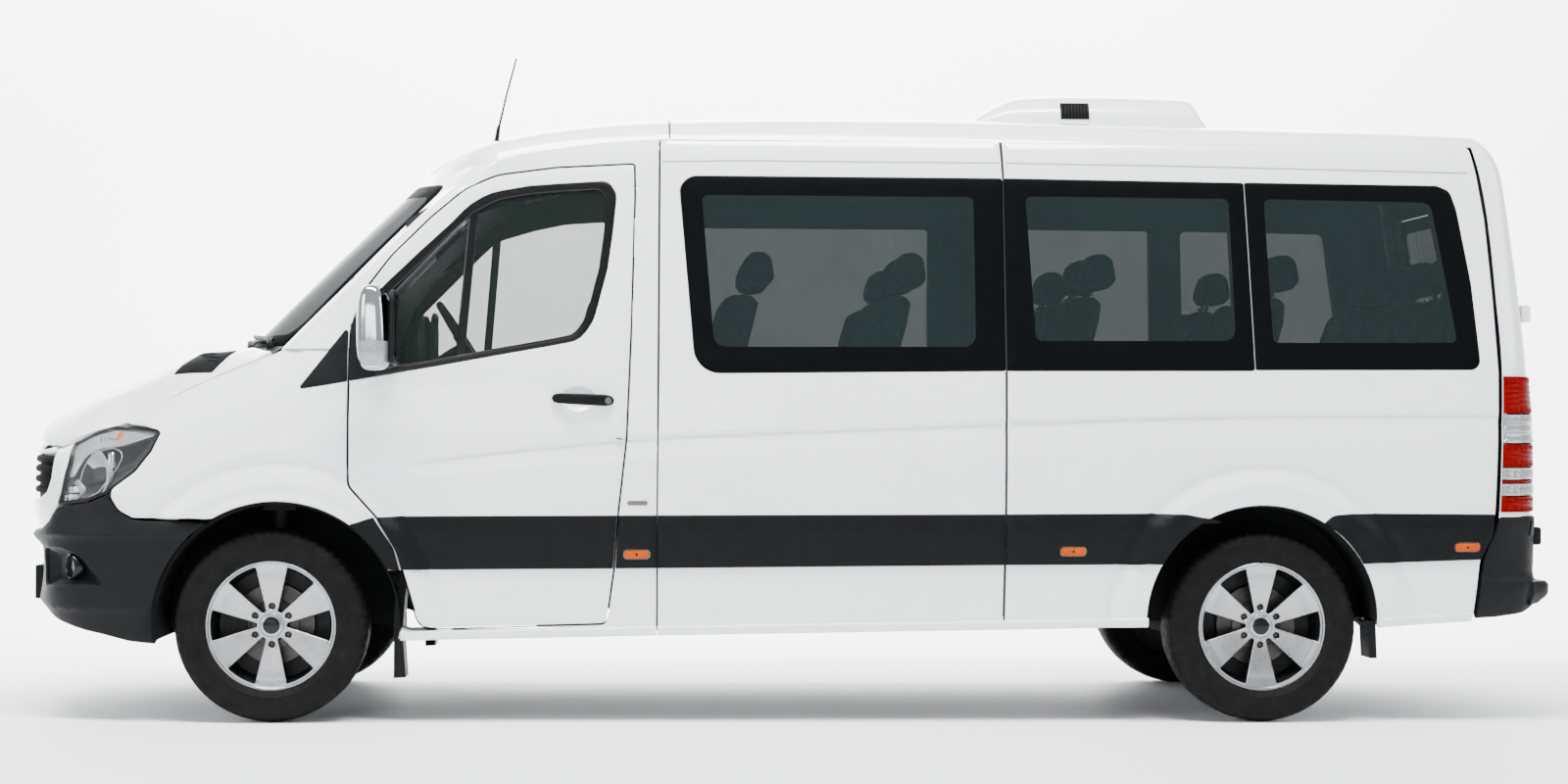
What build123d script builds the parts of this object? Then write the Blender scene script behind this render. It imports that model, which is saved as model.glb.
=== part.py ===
from build123d import *
import os

# Minibus with a low roof: hollow panelled body, glass, seats, roof air conditioner, running gear and wheels.
# Frame: +X forward (nose), +Y to the left side, +Z up, origin on the ground under the middle of the bounding box.
# Sizes are millimetres. Side outlines are (x, z), cross-sections are (y, z) and plan outlines are (x, y).

os.makedirs("parts", exist_ok=True)

# ---------------------------------------------------------------- driving dimensions
FRONT_AXLE_X, REAR_AXLE_X = 1896.0, -1769.0      # wheelbase 3665
TYRE_R, TYRE_W, RIM_R = 354.0, 225.0, 236.0
TRACK_HALF = 852.0                               # centre plane of each tyre
KINGPIN_Y = 790.0
ARCH_F = (1876.0, 352.0, 458.0)                  # x, z, radius of the front wheel opening
ARCH_R = (-1766.0, 372.0, 434.0)                 # x, z, radius of the rear wheel opening
WALL, ROOF_T, NOSE_T, BONNET_T = 60.0, 45.0, 50.0, 30.0
GAP = 8.0                                        # shut line of what moves
GLASS_T, REBATE = 6.0, 7.0
DOOR_SKIN, DOOR_STEP = 24.0, 12.0                # outer skin depth of a door, and how far its box stands back from the edge
SILL_Z, BELT_Z, ROOF_SPLIT = 300.0, 1372.0, 2150.0
FLOOR_Z, FLOOR_T = 640.0, 45.0
DOOR_FRONT, B_LINE, C_LINE = 1626.0, 480.0, -800.0
FRONT_DOOR_PIVOT = (1634.0, 1004.0)              # x, y of the hinge line
BONNET_PIVOT = (1872.0, 1392.0)                  # x, z
REAR_DOOR_Y, REAR_DOOR_LOW, REAR_DOOR_TOP = 800.0, 548.0, 2090.0
STEERING_HUB, STEERING_TILT = (1217.0, 430.0, 1396.0), 33.0   # hub of the steering wheel, tilt of its column

# half cross-sections of the cabin, from the tail forward
# columns: x, crown height, roof edge height, inset of the side
CABIN = [
    (-2850, 2206, 2142, 70),
    (-2690, 2224, 2155, 0),
    (-1400, 2262, 2160, 0),
    (-400, 2282, 2160, 0),
    (450, 2270, 2160, 0),
    (900, 2230, 2118, 0),
    (1150, 2178, 2055, 0),
    (1300, 2112, 1985, 0),
    (1430, 2040, 1915, 0),
    (2110, 2020, 1900, 0),
]
# side of the cabin below the roof edge, columns: y, z
SIDE = [(945, SILL_Z), (984, 770), (983, 1100), (885, 2010)]
ROOF_EDGE_Y, ROOF_BEND_Y, ROOF_BEND_DROP = 858.0, 752.0, 36.0

# half cross-sections of the nose, from the doors forward
# columns: x, crown height, y and z of the bonnet edge, y and z of the shoulder, y of the side
NOSE = [
    (DOOR_FRONT, 1402, 905, 1396, 956, 1345, 984),
    (1900, 1400, 815, 1362, 945, 1235, 984),
    (2160, 1392, 798, 1257, 928, 1130, 974),
    (2360, 1330, 785, 1160, 904, 1060, 960),
    (2490, 1272, 768, 1088, 874, 1020, 938),
    (2640, 1208, 730, 1030, 838, 985, 905),
    (2780, 1140, 700, 985, 810, 945, 880),
    (2910, 1052, 680, 950, 790, 920, 860),
]
# plan of the nose and front bumper, columns: x, y
NOSE_PLAN = [(2280, 972), (2650, 878), (2806, 650), (2894, 0)]

# ---------------------------------------------------------------- outlines in the side view, (x, z)
DOOR = [(1604, 1470), (1560, 1592), (1464, 1719), (1322, 1862), (1197, 1969), (1080, 2020), (860, 2052), (571, 2068),
        (568, 1945), (582, 1400), (597, 1047), (628, 759), (642, 560), (668, 357), (1366, 341), (1400, 500),
        (1440, 640), (1510, 757), (1616, 870), (1616, 1100)]
DOOR_CLEAR = [(1462, 1590), (1250, 1806), (1150, 1905), (1052, 1935), (853, 1962), (668, 1972), (664, 1900),
              (690, 1670), (742, 1480), (812, 1425), (1240, 1345), (1578, 1285)]
PANEL = [(B_LINE, ROOF_SPLIT), (C_LINE, ROOF_SPLIT), (C_LINE, 346), (B_LINE, 332)]
QUARTER = [(C_LINE - 6, ROOF_SPLIT), (-2575, ROOF_SPLIT), (-2621, 1877), (-2642, 1599), (-2658, 1305), (-2650, 775),
           (-2592, 760), (-2580, 372), (-2100, 345), (-1766, 372), (-1400, 349), (C_LINE - 6, 346)]
# panes of one side, columns: outline of the glass, outline of the clear opening
PANES = [
    ([(398, 2016), (-797, 2014), (-797, 1300), (255, 1294), (345, 1400)],
     [(318, 1951), (-690, 1951), (-695, 1390), (255, 1385)]),
    ([(-809, 2014), (-1704, 2008), (-1732, 1306), (-809, 1300)],
     [(-885, 1953), (-1649, 1949), (-1667, 1417), (-919, 1413)]),
    ([(-1722, 2008), (-2480, 2002), (-2552, 1640), (-2578, 1314), (-1750, 1306)],
     [(-1782, 1949), (-2414, 1943), (-2500, 1414), (-1807, 1411)]),
]
REAR_PANE, REAR_CLEAR = (58, 752, 1330, 1985), (120, 700, 1400, 1925)    # y0, y1, z0, z1
ROOF_LINE = [(-3000, ROOF_SPLIT), (B_LINE + 6, ROOF_SPLIT), (900, 2108), (1150, 2045), (1300, 1975), (1430, 1905),
             (1700, 1905), (1700, 2500), (-3000, 2500)]
REAR_FACE = [(-2830, 200), (-2830, 1030), (-2813, 1293), (-2768, 1696), (-2712, 2050), (-2692, 2122), (-2652, 2166),
             (-2640, 2500), (2600, 2500), (2600, 200)]
BONNET = [(1872, 1374), (1943, 1345), (2159, 1259), (2356, 1163), (2489, 1094), (2572, 1066), (2644, 1038),
          (2712, 1012), (3000, 1012), (3000, 1500), (1872, 1500)]
WING = [(DOOR_FRONT, BELT_Z), (1868, BELT_Z), (1941, 1337), (2156, 1251), (2353, 1155), (2470, 1094), (2437, 1086),
        (2316, 1065), (2361, 973), (2415, 912), (2505, 838), (2450, 774), (2398, 747), (2241, 744), (1876, 744),
        (DOOR_FRONT, 560)]
HEADLAMP = [(2960, 796), (2632, 808), (2517, 844), (2420, 917), (2367, 977), (2322, 1061), (2437, 1080), (2480, 1086),
            (2572, 1058), (2644, 1030), (2712, 1004), (2960, 1004)]
GRILLE_Y = 815.0
GRILLE = [(2960, 696), (2785, 706), (2737, 740), (2702, 788), (2640, 800), (2590, 806), (2590, 1050), (2644, 1030),
          (2712, 1004), (2960, 1004)]
BUMPER = [(2960, 690), (2785, 700), (2737, 734), (2696, 782), (2500, 828), (2454, 768), (2400, 741), (2241, 738),
          (2127, 727), (2127, 300), (2320, 282), (2420, 292), (2516, 315), (2581, 329), (2638, 344), (2713, 367),
          (2767, 388), (2815, 412), (2860, 430), (2960, 440)]
AIR_CONDITIONER = [(-740, 2200), (-749, 2302), (-828, 2352), (-916, 2386), (-1214, 2395), (-1581, 2387), (-1617, 2317),
                   (-1650, 2272), (-1650, 2200)]
DASH = [(1716, 1338), (1420, 1334), (1340, 1300), (1310, 1130), (1400, 960), (1560, 890), (1716, 890)]
FRONT_FLAP = [(1394, 595), (1420, 595), (1440, 500), (1452, 400), (1452, 157), (1408, 160), (1420, 330), (1412, 450)]
REAR_FLAP = [(-2150, 372), (-2212, 372), (-2217, 232), (-2190, 232), (-2184, 345)]

# windscreen: plan curve at BELT_Z, columns x, y, and the direction it leans back along
SCREEN_PLAN = [(1740, 985), (1838, 893), (1885, 770), (2097, 0)]
SCREEN_DIR = (-615.0, 0.0, 606.0)
SCREEN_HOLE = [(-788, 1384), (788, 1384), (742, 1972), (690, 1996), (0, 2018), (-690, 1996), (-742, 1972)]   # (y, z)


# ---------------------------------------------------------------- shapes that several pieces share
def cabin_volume(side, roof):
    """The cabin's whole volume, its sides moved in by side and its roof lowered by roof."""
    with BuildPart() as volume:
        for x, crown, edge, inset in CABIN:
            with BuildSketch(Plane(origin=(x, 0, 0), x_dir=(0, 1, 0), z_dir=(1, 0, 0))):
                with BuildLine():
                    wall = [(y - inset - side, z) for y, z in SIDE]
                    wall[0] = (wall[0][0], SILL_Z - (100 if side else 0))
                    high = min(2010, edge - 60)
                    wall[3] = (wall[3][0] + (2010 - high) * 0.11, high)
                    top = (ROOF_EDGE_Y - inset - side * 0.9, edge - roof * 0.35)
                    bend = (ROOF_BEND_Y - inset - side * 0.5, crown - ROOF_BEND_DROP - roof)
                    round_mid = ((top[0] + bend[0]) / 2 + 14, (top[1] + bend[1]) / 2 + 14)
                    half = wall + [top]
                    Polyline(*half)
                    Polyline(*[(-y, z) for y, z in half])
                    ThreePointArc(top, round_mid, bend)
                    ThreePointArc(bend, (0, crown - roof), (-bend[0], bend[1]))
                    ThreePointArc((-bend[0], bend[1]), (-round_mid[0], round_mid[1]), (-top[0], top[1]))
                    Line((-half[0][0], half[0][1]), half[0])
                make_face()
        loft(ruled=True)
    return volume.part


def nose_volume(t):
    """The nose's whole volume, its surfaces moved in by t."""
    with BuildPart() as volume:
        for x, crown, yt, zt, ysh, zsh, ys in NOSE:
            with BuildSketch(Plane(origin=(x, 0, 0), x_dir=(0, 1, 0), z_dir=(1, 0, 0))):
                with BuildLine():
                    half = [(ys - t, 320 if t else 520), (ys - t, 880), (ysh - t * 0.9, zsh - t * 0.6), (yt - t * 0.4, zt - t)]
                    Polyline(*half)
                    Polyline(*[(-y, z) for y, z in half])
                    ThreePointArc(half[-1], (0, crown - t), (-half[-1][0], half[-1][1]))
                    Line((-half[0][0], half[0][1]), half[0])
                make_face()
        loft(ruled=True)
    return volume.part


def side_prism(points, y0, y1, grow=0.0):
    """Solid of a side outline from y0 to y1, with its outline grown."""
    with BuildPart() as prism:
        with BuildSketch(Plane(origin=(0, y1, 0), x_dir=(1, 0, 0), z_dir=(0, -1, 0))):
            with BuildLine():
                Polyline(*points, close=True)
            make_face()
            if grow:
                offset(amount=grow, kind=Kind.INTERSECTION)
        extrude(amount=y1 - y0)
    return prism.part


def front_prism(points, x0, x1):
    """Solid of a (y, z) outline from x0 to x1."""
    with BuildPart() as prism:
        with BuildSketch(Plane(origin=(x0, 0, 0), x_dir=(0, 1, 0), z_dir=(1, 0, 0))):
            with BuildLine():
                Polyline(*points, close=True)
            make_face()
        extrude(amount=x1 - x0)
    return prism.part


def plan_prism(arcs, t, x_back, z0, z1, lean=None):
    """Solid behind a plan curve of the front, moved back by t, from z0 up to z1 or along lean."""
    a, b, c, d = [(x - t, y) for x, y in arcs]
    with BuildPart() as prism:
        with BuildSketch(Plane.XY.offset(z0)):
            with BuildLine():
                ThreePointArc(a, b, c)
                ThreePointArc(c, d, (c[0], -c[1]))
                ThreePointArc((c[0], -c[1]), (b[0], -b[1]), (a[0], -a[1]))
                Polyline((a[0], -a[1]), (a[0], -1150), (x_back, -1150), (x_back, 1150), (a[0], 1150), a)
            make_face()
        if lean:
            extrude(amount=z1 - z0, dir=lean)
        else:
            extrude(amount=z1 - z0)
    return prism.part


def nose_plan_prism(t, z0, z1):
    """Solid behind the plan curve of the nose and front bumper, moved in by t."""
    shift = [(0, 1), (0.75, 0.66), (0.9, 0.5), (1, 0)]
    a, b, c, d = [(x - t * sx, y - t * sy) for (x, y), (sx, sy) in zip(NOSE_PLAN, shift)]
    with BuildPart() as prism:
        with BuildSketch(Plane.XY.offset(z0)):
            with BuildLine():
                ThreePointArc(a, b, c)
                ThreePointArc(c, d, (c[0], -c[1]))
                ThreePointArc((c[0], -c[1]), (b[0], -b[1]), (a[0], -a[1]))
                Polyline((a[0], -a[1]), (1200, -a[1]), (1200, a[1]), a)
            make_face()
        extrude(amount=z1 - z0)
    return prism.part


def block(x0, x1, y0, y1, z0, z1):
    with BuildPart() as solid:
        with Locations(((x0 + x1) / 2, (y0 + y1) / 2, (z0 + z1) / 2)):
            Box(x1 - x0, y1 - y0, z1 - z0)
    return solid.part


def arch(centre, grow, y0, y1):
    """Cylinder of a wheel opening, from y0 to y1."""
    x, z, r = centre
    with BuildPart() as solid:
        with BuildSketch(Plane(origin=(x, y1, z), x_dir=(1, 0, 0), z_dir=(0, -1, 0))):
            Circle(r + grow)
        extrude(amount=y1 - y0)
    return solid.part




print("volumes")
cabin_outer = cabin_volume(0, 0)
cabin_inner = cabin_volume(WALL, ROOF_T)
cabin_pane = cabin_volume(GLASS_T, GLASS_T)
cabin_rebate = cabin_volume(REBATE, REBATE)
cabin_skin = cabin_volume(DOOR_SKIN, DOOR_SKIN)
screen_outer = plan_prism(SCREEN_PLAN, 0, -3200, BELT_Z, BELT_Z + 1600, SCREEN_DIR)
screen_glass = plan_prism(SCREEN_PLAN, 9, -3200, BELT_Z, BELT_Z + 1600, SCREEN_DIR)
screen_inner = plan_prism(SCREEN_PLAN, 72, -3200, BELT_Z, BELT_Z + 1600, SCREEN_DIR)
under_outer = block(-3200, DOOR_FRONT, -1150, 1150, 200, BELT_Z)
under_inner = block(-3200, 2000, -1150, 1150, 100, BELT_Z)
rear_outer = side_prism(REAR_FACE, -1150, 1150)
rear_inner = side_prism([(x + WALL if x < 0 else x, z) for x, z in REAR_FACE], -1150, 1150)
above_roof = side_prism(ROOF_LINE, -1150, 1150)
nose_outer = nose_volume(0)
nose_inner = nose_volume(NOSE_T)
nose_under_bonnet = nose_volume(BONNET_T)
nose_lamp = nose_volume(85)
front_arch, rear_arch = arch(ARCH_F, 0, 400, 1100), arch(ARCH_R, 0, 400, 1100)

# the cabin's outer form, cut by the windscreen and the rear face
with BuildPart() as cabin_form:
    add(screen_outer)
    add(under_outer)
    add(cabin_outer, mode=Mode.INTERSECT)
    add(rear_outer, mode=Mode.INTERSECT)

# its inside, left open below and towards the firewall
with BuildPart() as cabin_space:
    add(screen_inner)
    add(under_inner)
    add(cabin_inner, mode=Mode.INTERSECT)
    add(rear_inner, mode=Mode.INTERSECT)

with BuildPart() as cabin_shell:
    add(cabin_form.part)
    add(cabin_space.part, mode=Mode.SUBTRACT)

print("shell", cabin_shell.part.volume / 1e9)

# ---------------------------------------------------------------- floor, frame and running gear
# columns: x0, x1, y0, y1, z0, z1
FLOOR = [
    (-2760, 1420, -913, 913, FLOOR_Z - FLOOR_T, FLOOR_Z),        # floor plate
    (1410, 1750, -500, 500, FLOOR_Z - FLOOR_T, FLOOR_Z),         # foot well
    (1390, 1420, -905, 905, FLOOR_Z, 840),                       # back of the front wheel houses
    (1390, 1750, 488, 905, 812, 840),                            # top of the left one
    (1390, 1750, -905, -488, 812, 840),
    (1390, 1750, 488, 512, FLOOR_Z - FLOOR_T, 840),
    (1390, 1750, -512, -488, FLOOR_Z - FLOOR_T, 840),
    (1722, 1750, -880, 880, 812, 1290),                          # firewall
    (1722, 1750, -500, 500, FLOOR_Z - FLOOR_T, 820),
]
REAR_HOUSE_T = 12.0
with BuildPart() as floor_pan:
    for x0, x1, y0, y1, z0, z1 in FLOOR:
        with Locations(((x0 + x1) / 2, (y0 + y1) / 2, (z0 + z1) / 2)):
            Box(x1 - x0, y1 - y0, z1 - z0)
    add(cabin_space.part, mode=Mode.INTERSECT)
    add(front_arch, mode=Mode.SUBTRACT)
    for side in (1, -1):
        # rear wheel house: an arch over the tyre, closed on its inner side
        with BuildSketch(Plane(origin=(0, side * 690, 0), x_dir=(1, 0, 0), z_dir=(0, -1, 0))) as house:
            with Locations((ARCH_R[0], ARCH_R[1])):
                Circle(ARCH_R[2] + REAR_HOUSE_T)
                Rectangle(1200, 900, align=(Align.CENTER, Align.MAX), mode=Mode.SUBTRACT)
        extrude(amount=-side * 205)
        with BuildSketch(Plane(origin=(0, side * (690 + REAR_HOUSE_T), 0), x_dir=(1, 0, 0), z_dir=(0, -1, 0))) as inside:
            with Locations((ARCH_R[0], ARCH_R[1])):
                Circle(ARCH_R[2])
        extrude(amount=-side * 260, mode=Mode.SUBTRACT)
        with Locations((REAR_AXLE_X, side * 696, 340)):                  # the axle passes under the arch
            Box(170, 40, 180, mode=Mode.SUBTRACT)

# columns: x0, x1, y0, y1, z0, z1
FRAME = [
    (-2700, 2600, 400, 470, 480, 595), (-2700, 2600, -470, -400, 480, 595),       # rails
    (-2700, -2640, -400, 400, 490, 580), (-1240, -1180, -400, 400, 490, 580),     # cross members
    (-420, -360, -400, 400, 490, 580), (560, 620, -400, 400, 490, 580),
    (1560, 1620, -400, 400, 490, 580), (2540, 2600, -700, 700, 480, 640),
    (870, 930, 405, 465, 470, 480), (870, 930, -465, -405, 470, 480),             # jacking pads
    (-1150, -1060, 470, 560, 480, 595), (-2480, -2390, 470, 560, 480, 595),       # spring brackets
    (-1150, -1060, -560, -470, 480, 595), (-2480, -2390, -560, -470, 480, 595),
]
with BuildPart() as chassis_frame:
    for x0, x1, y0, y1, z0, z1 in FRAME:
        with Locations(((x0 + x1) / 2, (y0 + y1) / 2, (z0 + z1) / 2)):
            Box(x1 - x0, y1 - y0, z1 - z0)

with BuildPart() as engine_block:
    with Locations(((1830 + 2470) / 2, 0, (480 + 1060) / 2)):
        Box(640, 480, 580)
    chamfer(engine_block.edges().group_by(Axis.Z)[-1], 40)

# front cross member with arms and struts, one side at a time: columns x0, x1, y0, y1, z0, z1
ARMS = [
    (1800, 1992, 380, 470, 300, 480),       # leg below the rail
    (1856, 1936, 400, 735, 205, 229),       # lower arm
    (1878, 1914, 735, 790, 205, 229),       # its end, under the kingpin
    (1856, 1936, 400, 470, 205, 330),
    (1878, 1914, 640, 790, 492, 516),       # upper link
]
STRUT_Y, STRUT_TOP = 660.0, 790.0
with BuildPart() as front_suspension:
    with Locations((FRONT_AXLE_X, 0, 390)):
        Box(192, 960, 180)
    for side in (1, -1):
        for x0, x1, y0, y1, z0, z1 in ARMS:
            with Locations(((x0 + x1) / 2, side * (y0 + y1) / 2, (z0 + z1) / 2)):
                Box(x1 - x0, y1 - y0, z1 - z0)
        with Locations((FRONT_AXLE_X, side * STRUT_Y, (492 + STRUT_TOP) / 2)):
            Cylinder(30, STRUT_TOP - 492)
        with Locations((FRONT_AXLE_X, side * 580, STRUT_TOP - 10)):
            Box(120, 230, 20)
        with Locations((FRONT_AXLE_X, side * 481, (300 + STRUT_TOP) / 2)):
            Box(120, 20, STRUT_TOP - 300)

AXLE_R, DIFF_R = 55.0, 135.0
with BuildPart() as rear_axle:
    with Locations(Location((REAR_AXLE_X, 0, TYRE_R), (90, 0, 0))):
        Cylinder(AXLE_R, 1594)
        Cylinder(DIFF_R, 190)
        with Locations((0, 0, 735), (0, 0, -735)):
            Cylinder(95, 30)
    for side in (1, -1):
        with Locations((REAR_AXLE_X + 130, side * 790, TYRE_R)):        # brake calipers
            Box(80, 30, 110)
        with Locations((REAR_AXLE_X + 90, side * 760, TYRE_R)):
            Box(160, 30, 90)
    # propeller shaft up to the gearbox
    with BuildSketch(Plane(origin=(REAR_AXLE_X + 100, 0, TYRE_R), x_dir=(0, 1, 0), z_dir=(1, 0, 0.031))):
        Circle(45)
    extrude(amount=3000)

SPRING_Y, SPRING_W, SPRING_T = 515.0, 70.0, 26.0
with BuildPart() as leaf_springs:
    for side in (1, -1):
        with BuildSketch(Plane(origin=(0, side * SPRING_Y + SPRING_W / 2, 0), x_dir=(1, 0, 0), z_dir=(0, -1, 0))):
            with BuildLine():
                ThreePointArc((-1100, 480), (REAR_AXLE_X, TYRE_R - AXLE_R), (-2440, 480))
                Line((-2440, 480), (-2440, 480 - SPRING_T))
                ThreePointArc((-2440, 480 - SPRING_T), (REAR_AXLE_X, TYRE_R - AXLE_R - SPRING_T), (-1100, 480 - SPRING_T))
                Line((-1100, 480 - SPRING_T), (-1100, 480))
            make_face()
        extrude(amount=SPRING_W)

with BuildPart() as fuel_tank:
    with Locations((300, -660, 462)):
        Box(900, 370, 264)
    fillet(fuel_tank.edges().filter_by(Axis.X), 50)

PIPE_Y, PIPE_Z = -250.0, 440.0
with BuildPart() as exhaust:
    with Locations(Location((250, PIPE_Y, PIPE_Z), (0, 90, 0))):
        Cylinder(28, 2700)
    with Locations(Location((-700, PIPE_Y, PIPE_Z), (0, 90, 0))):
        Cylinder(88, 520)

# ---------------------------------------------------------------- steered knuckles
with BuildPart() as front_left_knuckle:
    with Locations((FRONT_AXLE_X, 774, 361)):
        Box(84, 44, 258)                                              # upright
    with Locations((FRONT_AXLE_X, KINGPIN_Y, 361)):
        Box(60, 14, 258)
    with Locations((FRONT_AXLE_X + 108, 784, TYRE_R)):
        Box(140, 24, 96)                                              # caliper bracket
    with Locations((FRONT_AXLE_X + 138, 812, TYRE_R)):
        Box(76, 72, 116)                                              # brake caliper
    with Locations((FRONT_AXLE_X - 98, 766, 320)):
        Box(150, 24, 30)                                              # steering arm
    # slot for the brake disc
    with Locations(Location((FRONT_AXLE_X, 817, TYRE_R), (90, 0, 0))):
        Cylinder(158, 32, mode=Mode.SUBTRACT)

with BuildPart() as front_right_knuckle:
    mirror(front_left_knuckle.part, about=Plane.XZ)

# ---------------------------------------------------------------- wheels
# half section of a tyre, columns: distance from the axle, distance from the centre plane
TYRE_SECTION = [(RIM_R, 92), (262, 110), (300, TYRE_W / 2), (330, 106), (348, 88), (TYRE_R, 60)]
BARREL_R, SPOKES = 208.0, 6


def tyre_at(x, y):
    with BuildPart() as tyre:
        with BuildSketch(Plane(origin=(x, y, TYRE_R), x_dir=(1, 0, 0), z_dir=(0, 0, 1))):
            with BuildLine():
                Polyline(*TYRE_SECTION, *[(r, -w) for r, w in TYRE_SECTION[::-1]], close=True)
            make_face()
        revolve(axis=Axis((x, y, TYRE_R), (0, 1, 0)))
    return tyre


def rim_at(x, y, out):
    """Rim, spokes, hub and brake disc of one wheel, its outer side towards out (+1 left, -1 right)."""
    with BuildPart() as rim:
        with BuildSketch(Plane(origin=(x, y, TYRE_R), x_dir=(1, 0, 0), z_dir=(0, 0, 1))):
            # barrel, flanges, hub and disc: columns radius from, radius to, side from, side to
            for r0, r1, s0, s1 in [(BARREL_R, RIM_R, -90, 90), (0, 62, -50, 62), (0, 150, -45, -25), (0, 92, 40, 62)]:
                with Locations(((r0 + r1) / 2, out * (s0 + s1) / 2)):
                    Rectangle(r1 - r0, s1 - s0)
        revolve(axis=Axis((x, y, TYRE_R), (0, 1, 0)))
        with BuildSketch(Plane(origin=(x, y + out * 42, TYRE_R), x_dir=(1, 0, 0), z_dir=(0, out, 0))):
            with PolarLocations(0, SPOKES):
                Polygon((50, -28), (BARREL_R + 4, -52), (BARREL_R + 4, 52), (50, 28), align=None)
        extrude(amount=26)
    return rim


front_left_tyre, front_left_rim = tyre_at(FRONT_AXLE_X, TRACK_HALF), rim_at(FRONT_AXLE_X, TRACK_HALF, 1)
front_right_tyre, front_right_rim = tyre_at(FRONT_AXLE_X, -TRACK_HALF), rim_at(FRONT_AXLE_X, -TRACK_HALF, -1)
rear_left_tyre, rear_left_rim = tyre_at(REAR_AXLE_X, TRACK_HALF), rim_at(REAR_AXLE_X, TRACK_HALF, 1)
rear_right_tyre, rear_right_rim = tyre_at(REAR_AXLE_X, -TRACK_HALF), rim_at(REAR_AXLE_X, -TRACK_HALF, -1)

# ---------------------------------------------------------------- nose
print("nose")
nose_plan = nose_plan_prism(0, 200, 1500)
nose_plan_inner = nose_plan_prism(NOSE_T, 100, 1600)
wing_zone = side_prism(WING, 705, 1100)
lamp_zone = side_prism(HEADLAMP, GRILLE_Y + 6, 1100)
bonnet_zone = side_prism(BONNET, -1100, 1100)
screen_front = plan_prism(SCREEN_PLAN, -30, 0, 900, 1700)

with BuildPart() as nose_form:
    add(nose_outer)
    add(nose_plan, mode=Mode.INTERSECT)

with BuildPart() as bonnet:
    add(nose_form.part)
    add(nose_under_bonnet, mode=Mode.SUBTRACT)
    add(bonnet_zone, mode=Mode.INTERSECT)
    add(screen_front, mode=Mode.SUBTRACT)
    # turned-down front edge
    with Locations((2835, 0, 1030)):
        Box(30, 1170, 36)

with BuildPart() as left_wing:
    add(nose_form.part)
    add(nose_inner, mode=Mode.SUBTRACT)
    add(wing_zone, mode=Mode.INTERSECT)
    add(front_arch, mode=Mode.SUBTRACT)

with BuildPart() as right_wing:
    mirror(left_wing.part, about=Plane.XZ)

with BuildPart() as headlamps:
    add(nose_form.part)
    add(nose_lamp, mode=Mode.SUBTRACT)
    add(lamp_zone, mode=Mode.INTERSECT)
    mirror(about=Plane.XZ)

with BuildPart() as grille:
    add(nose_plan)
    add(nose_plan_inner, mode=Mode.SUBTRACT)
    add(side_prism(GRILLE, -GRILLE_Y, GRILLE_Y), mode=Mode.INTERSECT)

LOWER_INTAKE = (-430, 430, 566, 644)          # y0, y1, z0, z1
PLATE_PAD, PLATE_Z = (470, 130), 478.0        # width, height and middle height of the plate's flat
TOW_Y, TOW_Z, TOW_FACE_X, TOW_R, TOW_DEPTH = -400.0, 508.0, 2840.0, 10.0, 60.0
with BuildPart() as front_bumper:
    add(nose_plan)
    add(nose_plan_inner, mode=Mode.SUBTRACT)
    add(side_prism(BUMPER, -1100, 1100), mode=Mode.INTERSECT)
    add(front_arch, mode=Mode.SUBTRACT)
    mirror(front_arch, about=Plane.XZ, mode=Mode.SUBTRACT)
    with Locations((2800, 0, (LOWER_INTAKE[2] + LOWER_INTAKE[3]) / 2)):
        Box(400, LOWER_INTAKE[1] - LOWER_INTAKE[0], LOWER_INTAKE[3] - LOWER_INTAKE[2], mode=Mode.SUBTRACT)
    # flat pad for the front number plate
    with Locations((2860, 0, PLATE_Z)):
        Box(68, PLATE_PAD[0], PLATE_PAD[1])
    # boss and socket of the towing eye
    with Locations((TOW_FACE_X - 40, TOW_Y, TOW_Z)):
        Box(80, 60, 60)
    with Locations((TOW_FACE_X + 40, TOW_Y, TOW_Z)):
        Box(80, 44, 44, mode=Mode.SUBTRACT)
    with Locations(Location((TOW_FACE_X - TOW_DEPTH / 2, TOW_Y, TOW_Z), (0, 90, 0))):
        Cylinder(TOW_R, TOW_DEPTH, mode=Mode.SUBTRACT)

# beam across the rails, behind the bumper's skin
with BuildPart() as bumper_beam:
    with Locations((2640, 0, 600)):
        Box(80, 1200, 80)
    with Locations((2735, 330, 600), (2735, -330, 600)):
        Box(110, 60, 80)

# ---------------------------------------------------------------- cab
print("cab")
door_zone, door_hole = side_prism(DOOR, 560, 1150), side_prism(DOOR, 560, 1150, GAP)
door_box_zone = side_prism(DOOR, 560, 1150, -DOOR_STEP)
screen_hole = front_prism(SCREEN_HOLE, 1000, 2300)

# the roof takes what is above its line and behind the screen's frame
with BuildPart() as roof_zone:
    add(above_roof)
    add(plan_prism(SCREEN_PLAN, 62, -3200, BELT_Z, BELT_Z + 1600, SCREEN_DIR), mode=Mode.INTERSECT)

cowl_front = plan_prism(SCREEN_PLAN, -20, 0, 1290, BELT_Z)
cowl_back = plan_prism(SCREEN_PLAN, 62, -100, 1200, BELT_Z + 100)
with BuildPart() as cowl:
    add(cowl_front)
    add(cowl_back, mode=Mode.SUBTRACT)
    with Locations((1900, 0, 1331)):
        Box(560, 1400, 90, mode=Mode.INTERSECT)

with BuildPart() as cab_frame:
    add(cabin_shell.part)
    add(block(B_LINE + 6, 2300, -1150, 1150, 200, 2500), mode=Mode.INTERSECT)
    add(roof_zone.part, mode=Mode.SUBTRACT)
    add(screen_hole, mode=Mode.SUBTRACT)
    add(door_hole, mode=Mode.SUBTRACT)
    mirror(door_hole, about=Plane.XZ, mode=Mode.SUBTRACT)
    add(front_arch, mode=Mode.SUBTRACT)
    mirror(front_arch, about=Plane.XZ, mode=Mode.SUBTRACT)
    add(cowl.part)

with BuildPart() as windscreen:
    add(screen_outer)
    add(screen_glass, mode=Mode.SUBTRACT)
    add(cabin_outer, mode=Mode.INTERSECT)
    add(screen_hole, mode=Mode.INTERSECT)

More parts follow.
